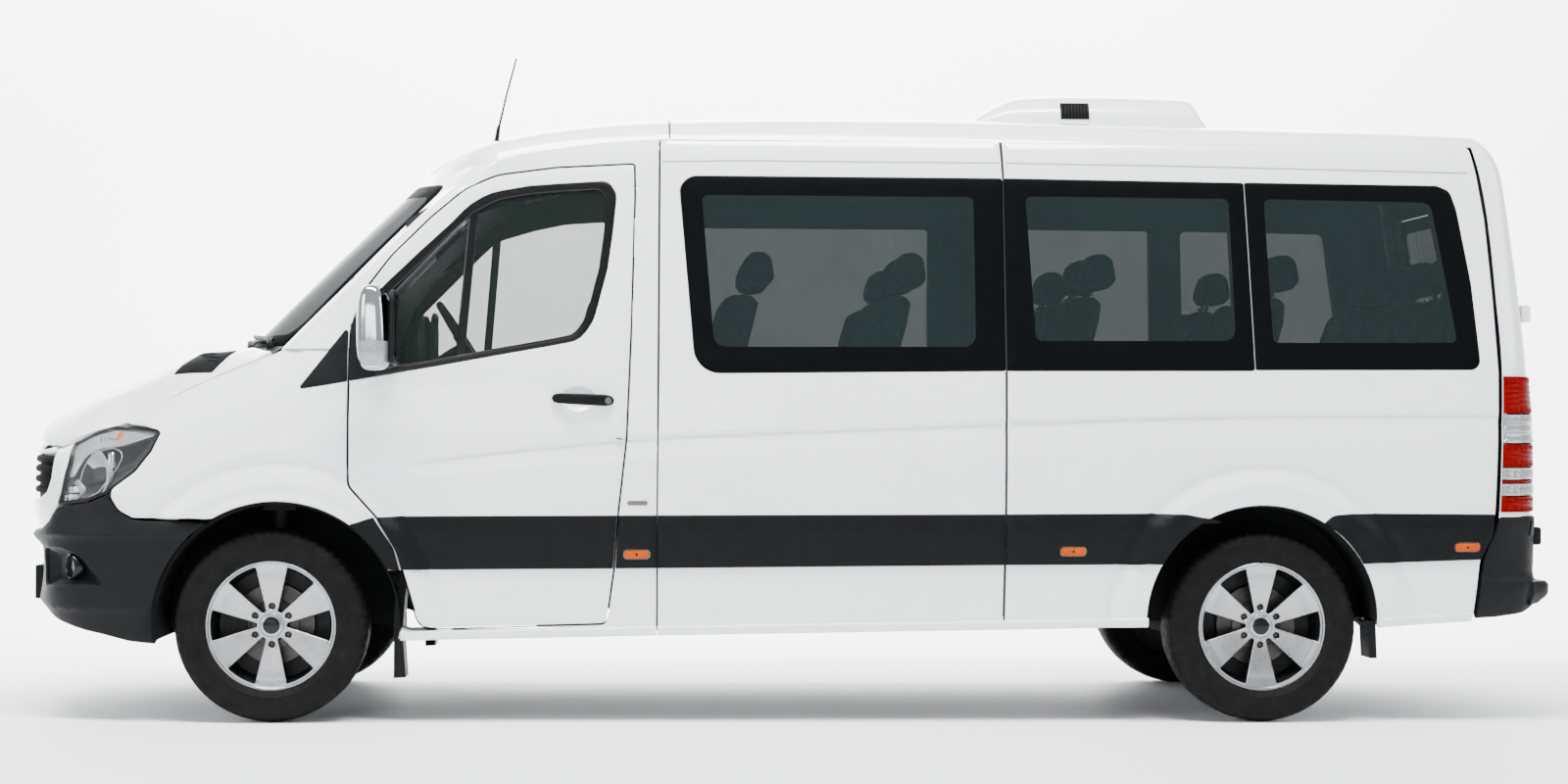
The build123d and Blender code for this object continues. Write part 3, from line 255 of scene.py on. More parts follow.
def panel(surf, outline, holes=(), grid=30.0, edge_r=4.0, depth=20.0, inner=None, feats=(), flip=False,
          hole_edge_r=2.0, grid_b=None, hole_depth=None):
    """Sheet panel clipped by an outline in the parameters of surf.
    Gives verts, faces, tags: 0 outer skin, 1 edge return, 2 inner skin. inner is the distance of an inner skin."""
    loops = []
    outline = np.asarray(outline, float)
    if area2(outline) < 0:
        outline = outline[::-1]
    holes = [np.asarray(h, float) for h in holes]
    holes = [h if area2(h) < 0 else h[::-1] for h in holes]
    grid_b = grid_b or grid
    pts, drops, edges = [], [], []
    ring_ids = []

    def add_loop(p, drop):
        o = len(pts)
        pts.extend(list(p))
        drops.extend([drop] * len(p))
        edges.extend([(o + i, o + (i + 1) % len(p)) for i in range(len(p))])
        return list(range(o, o + len(p)))

    steps = [0.0, 0.3, 1.0]
    outer_ring = add_loop(outline, edge_r)
    for s in steps[1:]:
        if edge_r > 0:
            d = edge_r - math.sqrt(max(0.0, edge_r ** 2 - (edge_r * (1 - s)) ** 2))
            add_loop(offset_loop(outline, edge_r * s), edge_r - math.sqrt(max(0, edge_r ** 2 - (edge_r - edge_r * s) ** 2)))
    hole_rings = []
    for h in holes:
        ring = add_loop(h, hole_edge_r)
        hole_rings.append(ring)
        if hole_edge_r > 0:
            add_loop(h + (h - offset_loop(h[::-1], hole_edge_r)[::-1]), 0.0)
    lo, hi = outline.min(0), outline.max(0)
    ga = np.arange(math.floor(lo[0] / grid) * grid + grid * 0.5, hi[0], grid)
    gb = np.arange(math.floor(lo[1] / grid_b) * grid_b + grid_b * 0.5, hi[1], grid_b)
    A, B = np.meshgrid(ga, gb, indexing="ij")
    G = np.stack([A.ravel(), B.ravel()], 1)
    extra = []
    for f in feats:
        f = np.asarray(f, float)
        extra.append(f)
    keep = inside(outline, G)
    G = G[keep]
    if len(G):
        margin = edge_r + min(grid, grid_b) * 0.35
        d = poly_dist(outline, G)
        k = d > margin
        for h in holes:
            k &= ~inside(h, G) & (poly_dist(h, G) > hole_edge_r + min(grid, grid_b) * 0.35)
        G = G[k]
    if extra:
        E = np.concatenate(extra, 0)
        k = inside(outline, E) & (poly_dist(outline, E) > edge_r + 1.5)
        for h in holes:
            k &= ~inside(h, E) & (poly_dist(h, E) > hole_edge_r + 1.5)
        E = E[k]
        if len(G) and len(E):
            # grid points too close to a feature point give way to it
            cell = {}
            near = min(grid, grid_b) * 0.30
            for e in E:
                cell.setdefault((int(e[0] // near), int(e[1] // near)), []).append(e)
            sel = []
            for g in G:
                ci, cj = int(g[0] // near), int(g[1] // near)
                ok = True
                for ii in (ci - 1, ci, ci + 1):
                    for jj in (cj - 1, cj, cj + 1):
                        for e in cell.get((ii, jj), ()):
                            if abs(e[0] - g[0]) < near and abs(e[1] - g[1]) < near:
                                ok = False
                sel.append(ok)
            G = G[np.array(sel)]
        pts.extend(list(E))
        drops.extend([0.0] * len(E))
    pts.extend(list(G))
    drops.extend([0.0] * len(G))
    P = np.array(pts)
    res = delaunay_2d_cdt([Vector((float(x), float(y))) for x, y in P], edges, [], 0, 1e-3)
    V2 = np.array([(v.x, v.y) for v in res[0]])
    src = [o[0] if len(o) else -1 for o in res[3]]
    tri = np.array([f for f in res[2] if len(f) == 3])
    cen = V2[tri].mean(1)
    ok = inside(outline, cen)
    for h in holes:
        ok &= ~inside(h, cen)
    tri = tri[ok]
    drop = np.array([drops[s] if s >= 0 else 0.0 for s in src])
    X = surf(V2[:, 0], V2[:, 1])
    N = surface_normals(surf, V2[:, 0], V2[:, 1])
    if flip:
        N = -N
    X = X - N * drop[:, None]
    # triangles face along N
    a, b, c = X[tri[:, 0]], X[tri[:, 1]], X[tri[:, 2]]
    fn = np.cross(b - a, c - a)
    back = np.sum(fn * (N[tri[:, 0]] + N[tri[:, 1]] + N[tri[:, 2]]), 1) < 0
    tri[back] = tri[back][:, ::-1]
    verts = list(X)
    faces = [tuple(t) for t in tri]
    tags = [0] * len(faces)
    # boundary edges of the kept triangles
    count = {}
    for t in tri:
        for i in range(3):
            u, v = int(t[i]), int(t[(i + 1) % 3])
            count[(u, v)] = 1
    bound = [(u, v) for (u, v) in count if (v, u) not in count]
    # which of them belong to a hole
    n0 = len(verts)
    mp = {}
    hole_flag = {}
    if holes:
        for h in holes:
            dd = poly_dist(h, V2)
            for i in np.nonzero(dd < 0.05)[0]:
                hole_flag[int(i)] = True
    bottom = {}
    def low(i, dep):
        key = (i, dep)
        if key not in bottom:
            bottom[key] = len(verts)
            verts.append(X[i] - N[i] * (dep - drop[i] if dep > drop[i] else dep))
        return bottom[key]
    if depth > 0:
        for u, v in bound:
            dep = depth
            if hole_depth is not None and u in hole_flag and v in hole_flag:
                dep = hole_depth
            faces.append((v, u, low(u, dep), low(v, dep)))
            tags.append(1)
    if inner:
        base = len(verts)
        verts.extend(list(X - N * (inner - drop)[:, None]))
        for t in tri:
            faces.append((base + t[2], base + t[1], base + t[0]))
            tags.append(2)
    return verts, faces, tags


def strip_between(rail_a, rail_b, n, bulge=None, ta=None, tb=None, flip=False):
    """Grid of points between two rails of equal length: straight, or a Hermite curve with tangents ta and tb."""
    A, B = np.asarray(rail_a, float), np.asarray(rail_b, float)
    rows = []
    for j in range(n):
        t = j / (n - 1.0)
        if ta is None:
            rows.append(A * (1 - t) + B * t)
        else:
            t2, t3 = t * t, t ** 3
            rows.append((2 * t3 - 3 * t2 + 1) * A + (t3 - 2 * t2 + t) * ta + (-2 * t3 + 3 * t2) * B + (t3 - t2) * tb)
    V = np.stack(rows, 1).reshape(-1, 3)
    return V, grid_faces(len(A), n, flip=flip)


def tube(path, r, sides=10, closed=False, caps=True, squash=1.0, up=(0, 0, 1)):
    """Tube along a path of points; r is a number or one per point."""
    P = np.asarray(path, float)
    n = len(P)
    R = np.full(n, r, float) if np.isscalar(r) else np.asarray(r, float)
    V = []
    up = np.array(up, float)
    for i in range(n):
        a = P[(i - 1) % n] if (closed or i > 0) else P[i]
        b = P[(i + 1) % n] if (closed or i < n - 1) else P[i]
        t = b - a
        t /= np.linalg.norm(t) + 1e-12
        s = np.cross(t, up)
        if np.linalg.norm(s) < 1e-3:
            s = np.cross(t, (1, 0, 0))
        s /= np.linalg.norm(s)
        w = np.cross(s, t)
        for k in range(sides):
            ang = 2 * math.pi * k / sides
            V.append(P[i] + R[i] * (math.cos(ang) * s + math.sin(ang) * w * squash))
    F = grid_faces(n, sides, wrap_u=closed, wrap_v=True, flip=True)
    if caps and not closed:
        F.append(tuple(range(sides)))
        F.append(tuple((n - 1) * sides + k for k in range(sides))[::-1])
    return V, F


def sweep_section(path, section, frames, closed=False, caps=True, flip=False):
    """Section points (p, q) carried along a path by per-point frames (side, out)."""
    P = np.asarray(path, float)
    V = []
    for i in range(len(P)):
        s, o = frames[i]
        for p, q in section:
            V.append(P[i] + np.asarray(s) * p + np.asarray(o) * q)
    m = len(section)
    F = grid_faces(len(P), m, wrap_u=closed, wrap_v=True, flip=flip)
    if caps and not closed:
        F.append(tuple(range(m))[::-1] if not flip else tuple(range(m)))
        e = (len(P) - 1) * m
        F.append(tuple(e + k for k in range(m)) if not flip else tuple(e + k for k in range(m))[::-1])
    return V, F


def lathe(profile, centre, axis, n=96, close=True, start=0.0, flip=False):
    """Revolves (radius, along) points about an axis through centre."""
    axis = np.array(axis, float)
    axis /= np.linalg.norm(axis)
    u = np.cross(axis, (0, 0, 1.0))
    if np.linalg.norm(u) < 1e-3:
        u = np.array((1.0, 0, 0))
    u /= np.linalg.norm(u)
    w = np.cross(axis, u)
    V = []
    for i in range(n):
        a = start + 2 * math.pi * i / n
        d = math.cos(a) * u + math.sin(a) * w
        for r, h in profile:
            V.append(np.array(centre, float) + d * r + axis * h)
    return V, grid_faces(n, len(profile), wrap_u=True, wrap_v=False, flip=flip)


def box_mesh(x0, x1, y0, y1, z0, z1, bevel=0.0):
    if bevel <= 0:
        V = [(x, y, z) for x in (x0, x1) for y in (y0, y1) for z in (z0, z1)]
        F = [(0, 1, 3, 2), (4, 6, 7, 5), (0, 4, 5, 1), (2, 3, 7, 6), (0, 2, 6, 4), (1, 5, 7, 3)]
        return V, F
    bm = bmesh.new()
    bmesh.ops.create_cube(bm, size=1.0)
    for v in bm.verts:
        v.co = Vector((x0 + (v.co.x + .5) * (x1 - x0), y0 + (v.co.y + .5) * (y1 - y0), z0 + (v.co.z + .5) * (z1 - z0)))
    bmesh.ops.bevel(bm, geom=list(bm.edges), offset=bevel, segments=2, profile=0.6, affect="EDGES")
    bm.verts.index_update()
    V = [tuple(v.co) for v in bm.verts]
    F = [tuple(v.index for v in f.verts) for f in bm.faces]
    bm.free()
    return V, F


# =====================================================================================================
# materials
# =====================================================================================================
class Nodes:
    """A short way to write a node tree."""
    def __init__(self, name):
        self.mat = bpy.data.materials.new(name)
        self.mat.use_nodes = True
        self.t = self.mat.node_tree
        self.t.nodes.clear()
        self.out = self.t.nodes.new("ShaderNodeOutputMaterial")
        self.bsdf = self.t.nodes.new("ShaderNodeBsdfPrincipled")
        self.link(self.bsdf, "BSDF", self.out, "Surface")
        self.tc = self.t.nodes.new("ShaderNodeTexCoord")

    def link(self, a, sa, b, sb):
        self.t.links.new(a.outputs[sa], b.inputs[sb])

    def set(self, **kw):
        for k, v in kw.items():
            self.bsdf.inputs[k.replace("_", " ")].default_value = v

    def noise(self, scale, detail=3.0, rough=0.5, distortion=0.0, stretch=None):
        n = self.t.nodes.new("ShaderNodeTexNoise")
        n.inputs["Scale"].default_value = scale
        n.inputs["Detail"].default_value = detail
        n.inputs["Roughness"].default_value = rough
        n.inputs["Distortion"].default_value = distortion
        if stretch:
            m = self.t.nodes.new("ShaderNodeMapping")
            m.inputs["Scale"].default_value = stretch
            self.link(self.tc, "Object", m, "Vector")
            self.link(m, "Vector", n, "Vector")
        else:
            self.link(self.tc, "Object", n, "Vector")
        return n

    def ramp(self, src, stops, socket=None, interp="LINEAR"):
        r = self.t.nodes.new("ShaderNodeValToRGB")
        r.color_ramp.interpolation = interp
        e = r.color_ramp.elements
        while len(e) < len(stops):
            e.new(0.5)
        for i, (p, c) in enumerate(stops):
            e[i].position = p
            e[i].color = (c, c, c, 1) if np.isscalar(c) else (*c[:3], 1)
        out = "Fac" if "Fac" in src.outputs else (socket or src.outputs[0].name)
        self.link(src, socket or out, r, "Fac")
        return r

    def bump(self, src, strength, distance, socket=None, chain=None):
        b = self.t.nodes.new("ShaderNodeBump")
        b.inputs["Strength"].default_value = strength
        b.inputs["Distance"].default_value = distance
        if socket is None:
            socket = "Fac" if "Fac" in src.outputs else ("Color" if "Color" in src.outputs else src.outputs[0].name)
        self.link(src, socket, b, "Height")
        if chain is not None:
            self.link(chain, "Normal", b, "Normal")
        self.link(b, "Normal", self.bsdf, "Normal")
        return b

    def wave(self, scale, direction="X", profile="SIN", stretch=None, kind="BANDS"):
        w = self.t.nodes.new("ShaderNodeTexWave")
        w.wave_type = kind
        if kind == "BANDS":
            w.bands_direction = direction
        w.wave_profile = profile
        w.inputs["Scale"].default_value = scale
        self.link(self.tc, "Object", w, "Vector")
        return w


def shade(c, k):
    return tuple(min(1.0, v * k) for v in c)


def simple(name, color, rough, metal=0.0, coat=0.0, coat_rough=0.03, spec=0.5, vary=0.12, vary_scale=14.0, rough_vary=0.06,
           grain=None, ior=1.45):
    """Principled finish with gentle colour and gloss variation, and an optional fine grain (scale, strength, depth)."""
    m = Nodes(name)
    m.set(Metallic=metal, Coat_Weight=coat, Coat_Roughness=coat_rough, IOR=ior)
    m.bsdf.inputs["Specular IOR Level"].default_value = spec
    n = m.noise(vary_scale, 4.0, 0.55)
    r = m.ramp(n, [(0.3, shade(color, 1 - vary)), (0.7, shade(color, 1 + vary * 0.6))])
    m.link(r, "Color", m.bsdf, "Base Color")
    n2 = m.noise(vary_scale * 2.3, 3.0, 0.6)
    q = m.ramp(n2, [(0.3, max(0.02, rough - rough_vary)), (0.7, min(1, rough + rough_vary))])
    m.link(q, "Color", m.bsdf, "Roughness")
    if grain:
        g = m.noise(grain[0], 2.0, 0.6)
        m.bump(g, grain[1], grain[2])
    return m.mat


# white gloss paint: faint orange peel under a clear coat
_p = Nodes("body_paint")
_p.set(Metallic=0.0, Coat_Weight=1.0, Coat_Roughness=0.03, IOR=1.5)
_p.bsdf.inputs["Specular IOR Level"].default_value = 0.45
_n = _p.noise(3.0, 3.0, 0.5)
_r = _p.ramp(_n, [(0.3, (0.825, 0.83, 0.85)), (0.7, (0.855, 0.86, 0.88))])
_p.link(_r, "Color", _p.bsdf, "Base Color")
_q = _p.ramp(_p.noise(9.0, 3.0), [(0.3, 0.24), (0.7, 0.30)])
_p.link(_q, "Color", _p.bsdf, "Roughness")
_p.bump(_p.noise(260.0, 1.0), 0.012, 0.0006)
PAINT = _p.mat

# grey for the turned edges and jambs of painted panels, darker than the paint as painted shade in the gaps; also the
# inner trim of the windscreen pillar and header
RETURN_SHADE_AND_TRIM = simple("inner_paint", (0.20, 0.205, 0.21), 0.5, spec=0.3, vary=0.08)
SHADOW_GAP = simple("gap_black", (0.004, 0.004, 0.0045), 0.8, spec=0.1, vary=0.2, grain=(300, 0.1, 0.0005))
ANTHRACITE = simple("moulded_anthracite", (0.0066, 0.0070, 0.0076), 0.50, spec=0.10, vary=0.10, rough_vary=0.05, grain=(900, 0.25, 0.0006))
STRIP_BLACK = simple("strip_black", (0.0052, 0.0056, 0.0061), 0.42, spec=0.08, vary=0.12, grain=(900, 0.2, 0.0005))
RUBBER = simple("seal_rubber", (0.005, 0.005, 0.0055), 0.55, spec=0.15, vary=0.15, grain=(500, 0.15, 0.0004))
FRIT = simple("glass_frit", (0.0028, 0.0034, 0.0034), 0.30, spec=0.07, vary=0.10, rough_vary=0.02, ior=1.25)
GLOSS_BLACK = simple("gloss_black", (0.0045, 0.0045, 0.005), 0.2, spec=0.28, vary=0.15)
CHROME = simple("chrome", (0.56, 0.57, 0.59), 0.09, metal=1.0, vary=0.05, rough_vary=0.03)
# near-black for the turned edges of doors and side panels and for the pillar joint strips: painted shade in the shut
# lines
EDGE_DARK = simple("edge_shadow", (0.020, 0.021, 0.022), 0.7, spec=0.15, vary=0.1)
LAMP_BOWL = simple("lamp_bowl", (0.62, 0.63, 0.65), 0.34, metal=0.35, vary=0.08)
GRILLE_BLACK = simple("grille_black", (0.0032, 0.0034, 0.0037), 0.6, spec=0.03, vary=0.1, ior=1.3)
SCREEN_FRIT = simple("screen_border", (0.0030, 0.0036, 0.0036), 0.35, spec=0.0006, vary=0.1)
PANE_JOINT = simple("pane_joint", (0.030, 0.031, 0.032), 0.6, spec=0.1)
LINE_GREY = simple("seam_sealer_grey", (0.30, 0.31, 0.32), 0.6, spec=0.2, vary=0.06)
ALLOY = simple("machined_alloy", (0.36, 0.365, 0.375), 0.30, metal=0.9, coat=0.3, coat_rough=0.08, vary=0.06, rough_vary=0.05, grain=(500, 0.05, 0.0003))
ALLOY_DARK = simple("alloy_pocket", (0.008, 0.0085, 0.009), 0.42, metal=0.3, spec=0.3, vary=0.15)
STEEL = simple("dark_steel", (0.05, 0.05, 0.053), 0.48, metal=0.8, vary=0.2, vary_scale=30, grain=(250, 0.2, 0.0008))
DISC = simple("brake_disc", (0.062, 0.060, 0.058), 0.36, metal=0.95, vary=0.15, vary_scale=40)
CAST = simple("cast_iron", (0.016, 0.016, 0.017), 0.62, metal=0.6, vary=0.25, vary_scale=30, grain=(220, 0.4, 0.0012))
UNDERBODY = simple("underbody_coating", (0.006, 0.0065, 0.0068), 0.78, spec=0.12, vary=0.25, vary_scale=9, grain=(160, 0.4, 0.0015))
CABIN = simple("cabin_plastic", (0.010, 0.0105, 0.0115), 0.58, spec=0.25, vary=0.12, grain=(700, 0.3, 0.0006))
TRIM_PALE = simple("roof_lining", (0.20, 0.20, 0.195), 0.88, spec=0.2, vary=0.06, grain=(600, 0.3, 0.0008))
TRIM_GREY = simple("side_trim", (0.040, 0.042, 0.043), 0.78, spec=0.2, vary=0.08, grain=(600, 0.3, 0.0008))
FLOORING = simple("floor_covering", (0.022, 0.023, 0.025), 0.8, spec=0.2, vary=0.2, vary_scale=60, grain=(500, 0.4, 0.001))
ORANGE = simple("marker_orange", (0.42, 0.060, 0.0), 0.35, spec=0.06, vary=0.15, vary_scale=60)
RED_LENS = simple("lens_red", (0.15, 0.0003, 0.0005), 0.30, spec=0.06, vary=0.2, vary_scale=60, ior=1.35)
CLEAR_LENS = simple("lens_silver", (0.30, 0.305, 0.315), 0.22, metal=0.4, coat=0.2, vary=0.15, vary_scale=70)
BEZEL = simple("lamp_bezel", (0.030, 0.031, 0.033), 0.34, metal=0.4, spec=0.3, vary=0.15, vary_scale=50)
REFLECTOR = simple("lamp_reflector", (0.84, 0.85, 0.87), 0.24, metal=1.0, vary=0.06)
MIRROR_GLASS = simple("mirror_glass", (0.20, 0.21, 0.22), 0.04, metal=1.0, vary=0.03, rough_vary=0.01)
PLATE_BLANK = simple("plate_blank", (0.62, 0.62, 0.60), 0.35, vary=0.04)
LABEL_GREY = simple("badge_grey", (0.10, 0.105, 0.11), 0.3, metal=0.6, vary=0.1)

# tyre rubber: mottled tone and fine grain
_t = Nodes("tyre_rubber")
_t.set(IOR=1.5)
_t.bsdf.inputs["Specular IOR Level"].default_value = 0.07
_r = _t.ramp(_t.noise(22.0, 4.0, 0.6), [(0.3, (0.0034, 0.0034, 0.0036)), (0.72, (0.0066, 0.0066, 0.0068))])
_t.link(_r, "Color", _t.bsdf, "Base Color")
_q = _t.ramp(_t.noise(40.0, 3.0), [(0.3, 0.55), (0.7, 0.72)])
_t.link(_q, "Color", _t.bsdf, "Roughness")
_t.bump(_t.noise(600.0, 2.0), 0.2, 0.0006)
TYRE = _t.mat

# seat cloth: two crossed fine weaves, soft sheen and a slow change of tone
_s = Nodes("seat_cloth")
_s.set(Roughness=0.92, Sheen_Weight=0.10, Sheen_Roughness=0.5)
_s.bsdf.inputs["Specular IOR Level"].default_value = 0.2
_w1, _w2 = _s.wave(220.0, "DIAGONAL"), _s.wave(220.0, "Z")
_mx = _s.t.nodes.new("ShaderNodeMath")
_mx.operation = "MULTIPLY"
_s.link(_w1, "Fac", _mx, 0)
_s.link(_w2, "Fac", _mx, 1)
_add = _s.t.nodes.new("ShaderNodeMath")
_add.operation = "ADD"
_s.link(_mx, "Value", _add, 0)
_s.link(_s.noise(9.0, 3.0), "Fac", _add, 1)
_r = _s.ramp(_add, [(0.35, (0.008, 0.0086, 0.0096)), (1.0, (0.024, 0.0255, 0.028))])
_s.link(_r, "Color", _s.bsdf, "Base Color")
_s.bump(_mx, 0.35, 0.0008)
CLOTH = _s.mat


def glass(name, tint, alpha, rough=0.02, graze=0.4, coat=0.25, spec=0.3, ior=1.5):
    """Thin tinted glazing: partly see-through, with a hard gloss on top."""
    m = Nodes(name)
    m.set(IOR=ior, Metallic=0.0, Roughness=rough, Coat_Weight=coat, Coat_Roughness=0.01)
    m.bsdf.inputs["Specular IOR Level"].default_value = spec
    n = m.noise(1.4, 2.0)
    r = m.ramp(n, [(0.3, shade(tint, 0.92)), (0.7, shade(tint, 1.06))])
    m.link(r, "Color", m.bsdf, "Base Color")
    lw = m.t.nodes.new("ShaderNodeLayerWeight")
    lw.inputs["Blend"].default_value = 0.35
    a = m.ramp(lw, [(0.0, alpha), (0.55, min(1.0, alpha + graze * 0.12)), (1.0, min(1.0, alpha + graze))], socket="Facing")
    m.link(a, "Color", m.bsdf, "Alpha")
    return m.mat


GLASS_CAB = glass("cab_glass", (0.012, 0.018, 0.0155), 0.61, graze=0.25, coat=0.10, spec=0.15, ior=1.4)
GLASS_SCREEN = glass("screen_glass", (0.040, 0.047, 0.047), 0.90, rough=0.05, graze=0.09, coat=0.0, spec=0.0006, ior=1.45)
GLASS_SIDE = glass("privacy_glass", (0.0072, 0.0125, 0.0122), 0.895, graze=0.09, coat=0.15, spec=0.2, ior=1.4)
LENS = glass("lamp_cover", (0.55, 0.58, 0.60), 0.035, graze=0.10, coat=0.3)


# =====================================================================================================
# camera, light and floor
# =====================================================================================================
scene = bpy.context.scene
YAW, PITCH, ROLL = 0.04857, -0.01255, 0.00404
fwd = Vector((-math.sin(YAW), -math.cos(YAW), 0))
rgt = Vector((-math.cos(YAW), math.sin(YAW), 0))
upv = Vector((0, 0, 1))
w3 = fwd * math.cos(PITCH) - upv * math.sin(PITCH)
u2 = upv * math.cos(PITCH) + fwd * math.sin(PITCH)
r3 = rgt * math.cos(ROLL) + u2 * math.sin(ROLL)
u3 = -rgt * math.sin(ROLL) + u2 * math.cos(ROLL)
cam_data = bpy.data.cameras.new("camera")
cam_data.lens = 68.52
cam_data.sensor_width = 36.0
cam_data.clip_end = 200.0
cam = bpy.data.objects.new("camera", cam_data)
scene.collection.objects.link(cam)
rot = Matrix((r3, u3, -w3)).transposed().to_4x4()
cam.matrix_world = Matrix.Translation((0.55237, 11.97043, 1.08101)) @ rot
scene.camera = cam

world = bpy.data.worlds.new("studio")
scene.world = world
world.use_nodes = True
wt = world.node_tree
wt.nodes.clear()
wo = wt.nodes.new("ShaderNodeOutputWorld")
bg = wt.nodes.new("ShaderNodeBackground")
bg.inputs["Color"].default_value = (0.93, 0.95, 1.0, 1)
bg.inputs["Strength"].default_value = 0.70
wt.links.new(bg.outputs["Background"], wo.inputs["Surface"])


def area(name, loc, target, size, power, color=(1, 1, 1), size_y=None):
    d = bpy.data.lights.new(name, "AREA")
    d.shape = "RECTANGLE"
    d.size, d.size_y = size, size_y or size
    d.energy = power
    d.color = color
    o = bpy.data.objects.new(name, d)
    o.location = loc
    o.rotation_euler = (Vector(target) - Vector(loc)).to_track_quat("-Z", "Y").to_euler()
    scene.collection.objects.link(o)
    return o


area("key", (1.2, 3.2, 8.4), (0, 0.7, 1.0), 8.0, 2500, size_y=1.8)
area("left_fill", (3.0, 9.5, 2.2), (0, 0, 0.9), 7.0, 125, size_y=1.2)
area("nose_fill", (7.5, 4.0, 3.2), (2.0, 0.3, 0.9), 4.0, 215, size_y=3.0)
area("tail_fill", (-7.0, 2.5, 3.5), (-2.0, 0, 1.2), 4.0, 200, size_y=3.0)
area("far_side", (0.0, -7.0, 4.5), (0, 0, 1.0), 8.0, 280, size_y=3.0)
area("backdrop", (0.0, -4.0, 6.5), (0, -9.0, 2.2), 17.0, 4300, size_y=2.0)

floor_mat = Nodes("floor_pale")
floor_mat.set(Roughness=0.55)
_r = floor_mat.ramp(floor_mat.noise(0.8, 3.0), [(0.3, (0.90, 0.905, 0.91)), (0.7, (0.92, 0.925, 0.93))])
floor_mat.link(_r, "Color", floor_mat.bsdf, "Base Color")
_sweep = Bag()
_prof = [(14.0, 0.0)] + [(-6.0 - 3.0 * math.sin(a), 3.0 - 3.0 * math.cos(a)) for a in np.linspace(0, math.pi / 2, 12)] + [(-9.0, 12.0)]
_V = [(x, y, z) for y, z in _prof for x in (-26.0, 26.0)]
_F = grid_faces(len(_prof), 2)
mesh = bpy.data.meshes.new("floor")
mesh.from_pydata([(x, y, z - 0.002) for x, y, z in _V], [], _F)
mesh.materials.append(floor_mat.mat)
for p in mesh.polygons:
    p.use_smooth = True
floor = bpy.data.objects.new("floor", mesh)
scene.collection.objects.link(floor)


# =====================================================================================================
# body surfaces, millimetres
# =====================================================================================================
# the rear wheel arch, the front wheel arch: centre x, centre z, radius
ARCH_REAR, ARCH_FRONT = (-1765.0, 374.0, 432.0), (1874.0, 352.0, 458.0)

_side = pchip([300, 450, 600, 770, 950, 1100, 1300, 1600, 2010, 2100, 2150, 2200],
              [950, 966, 977, 984, 986, 983, 969, 938, 887, 873, 856, 835])
# the crease along the flank, and the soft edge under its bright band
_crease = lerp_table([(2700, 700), (1900, 860), (1465, 943), (1276, 976), (1097, 998), (918, 1017), (738, 1036), (595, 1047), (379, 1064),
                      (-400, 1097), (-1292, 1134), (-1806, 1147), (-2654, 1151), (-2900, 1151)])
_soft = lerp_table([(2700, 660), (1465, 905), (1097, 952), (594, 986), (378, 997), (-400, 1011), (-1292, 1025), (-2900, 1040)])

# plan outline of the nose, from the middle of its front round to the left
NOSE_POINTS = [(2894, 0), (2890, 160), (2878, 320), (2853, 490), (2806, 650), (2738, 782), (2650, 878), (2540, 930), (2410, 958),
               (2280, 972), (2120, 982), (1960, 986), (1800, 986), (1560, 986), (1200, 986)]


class Plan:
    """A curve in the ground plane, followed by arc length."""
    def __init__(self, points):
        P = np.array(points, float)
        out = []
        n = len(P)
        for i in range(n - 1):
            p0 = P[i - 1] if i > 0 else np.array([P[1][0], -P[1][1]])
            p1, p2 = P[i], P[i + 1]
            p3 = P[i + 2] if i + 2 < n else 2 * P[-1] - P[-2]
            for j in range(24):
                t = j / 24.0
                out.append(0.5 * ((2 * p1) + (-p0 + p2) * t + (2 * p0 - 5 * p1 + 4 * p2 - p3) * t * t + (-p0 + 3 * p1 - 3 * p2 + p3) * t ** 3))
        out.append(P[-1])
        self.P = np.array(out)
        self.S = np.concatenate([[0], np.cumsum(np.linalg.norm(np.diff(self.P, axis=0), axis=1))])

    def at(self, s):
        """x, y and outward normal at signed arc length s; negative s is the mirrored half."""
        s = np.atleast_1d(np.asarray(s, float))
        a = np.abs(s)
        x = np.interp(a, self.S, self.P[:, 0])
        y = np.interp(a, self.S, self.P[:, 1])
        e = 12.0
        x2, y2 = np.interp(a + e, self.S, self.P[:, 0]), np.interp(a + e, self.S, self.P[:, 1])
        x1 = np.where(a > e, np.interp(np.abs(a - e), self.S, self.P[:, 0]), np.interp(np.abs(a - e), self.S, self.P[:, 0]))
        y1 = np.where(a > e, np.interp(np.abs(a - e), self.S, self.P[:, 1]), -np.interp(np.abs(a - e), self.S, self.P[:, 1]))
        tx, ty = x2 - x1, y2 - y1
        L = np.hypot(tx, ty) + 1e-9
        nx, ny = ty / L, -tx / L
        sg = np.where(s < 0, -1.0, 1.0)
        return x, y * sg, nx, ny * sg

    def s_of_x(self, x):
        return np.interp(-np.asarray(x, float), -self.P[:, 0], self.S)

    def s_of_y(self, y):
        k = self.S < float(np.interp(-2300, -self.P[:, 0], self.S))
        return np.interp(y, self.P[k, 1], self.S[k])


NOSE = Plan(NOSE_POINTS)
# along the plan outline: x of the outline there, height of the bonnet's edge, how far it stands in, reach of its shoulder
NOSE_TABLE = [(2894, 1040, 10, 0.14), (2868, 1022, 25, 0.22), (2806, 1003, 50, 0.35), (2765, 1006, 66, 0.42), (2700, 1034, 90, 0.50),
              (2650, 1058, 120, 0.58), (2490, 1092, 170, 0.74), (2360, 1160, 178, 0.88), (2160, 1257, 183, 1.0), (2000, 1322, 174, 1.0),
              (1872, 1374, 163, 1.0), (1760, 1388, 82, 1.0), (1626, 1400, 45, 1.0), (1500, 1404, 26, 1.0), (1300, 1404, 22, 1.0)]
_ns = NOSE.s_of_x([r[0] for r in NOSE_TABLE])
_ze, _in, _reach = (pchip(_ns, [r[k] for r in NOSE_TABLE]) for k in (1, 2, 3))
_roll = pchip([-40, 0, 14, 28, 60, 100, 138, 190, 235, 285, 330, 420, 520, 700], [1.22, 1.0, .90, .80, .64, .47, .345, .22, .14, .085, .05, .02, 0.0, 0.0])
_tuck = pchip([200, 300, 450, 600, 770, 950, 1200], [54, 36, 20, 9, 2, 0, 0])


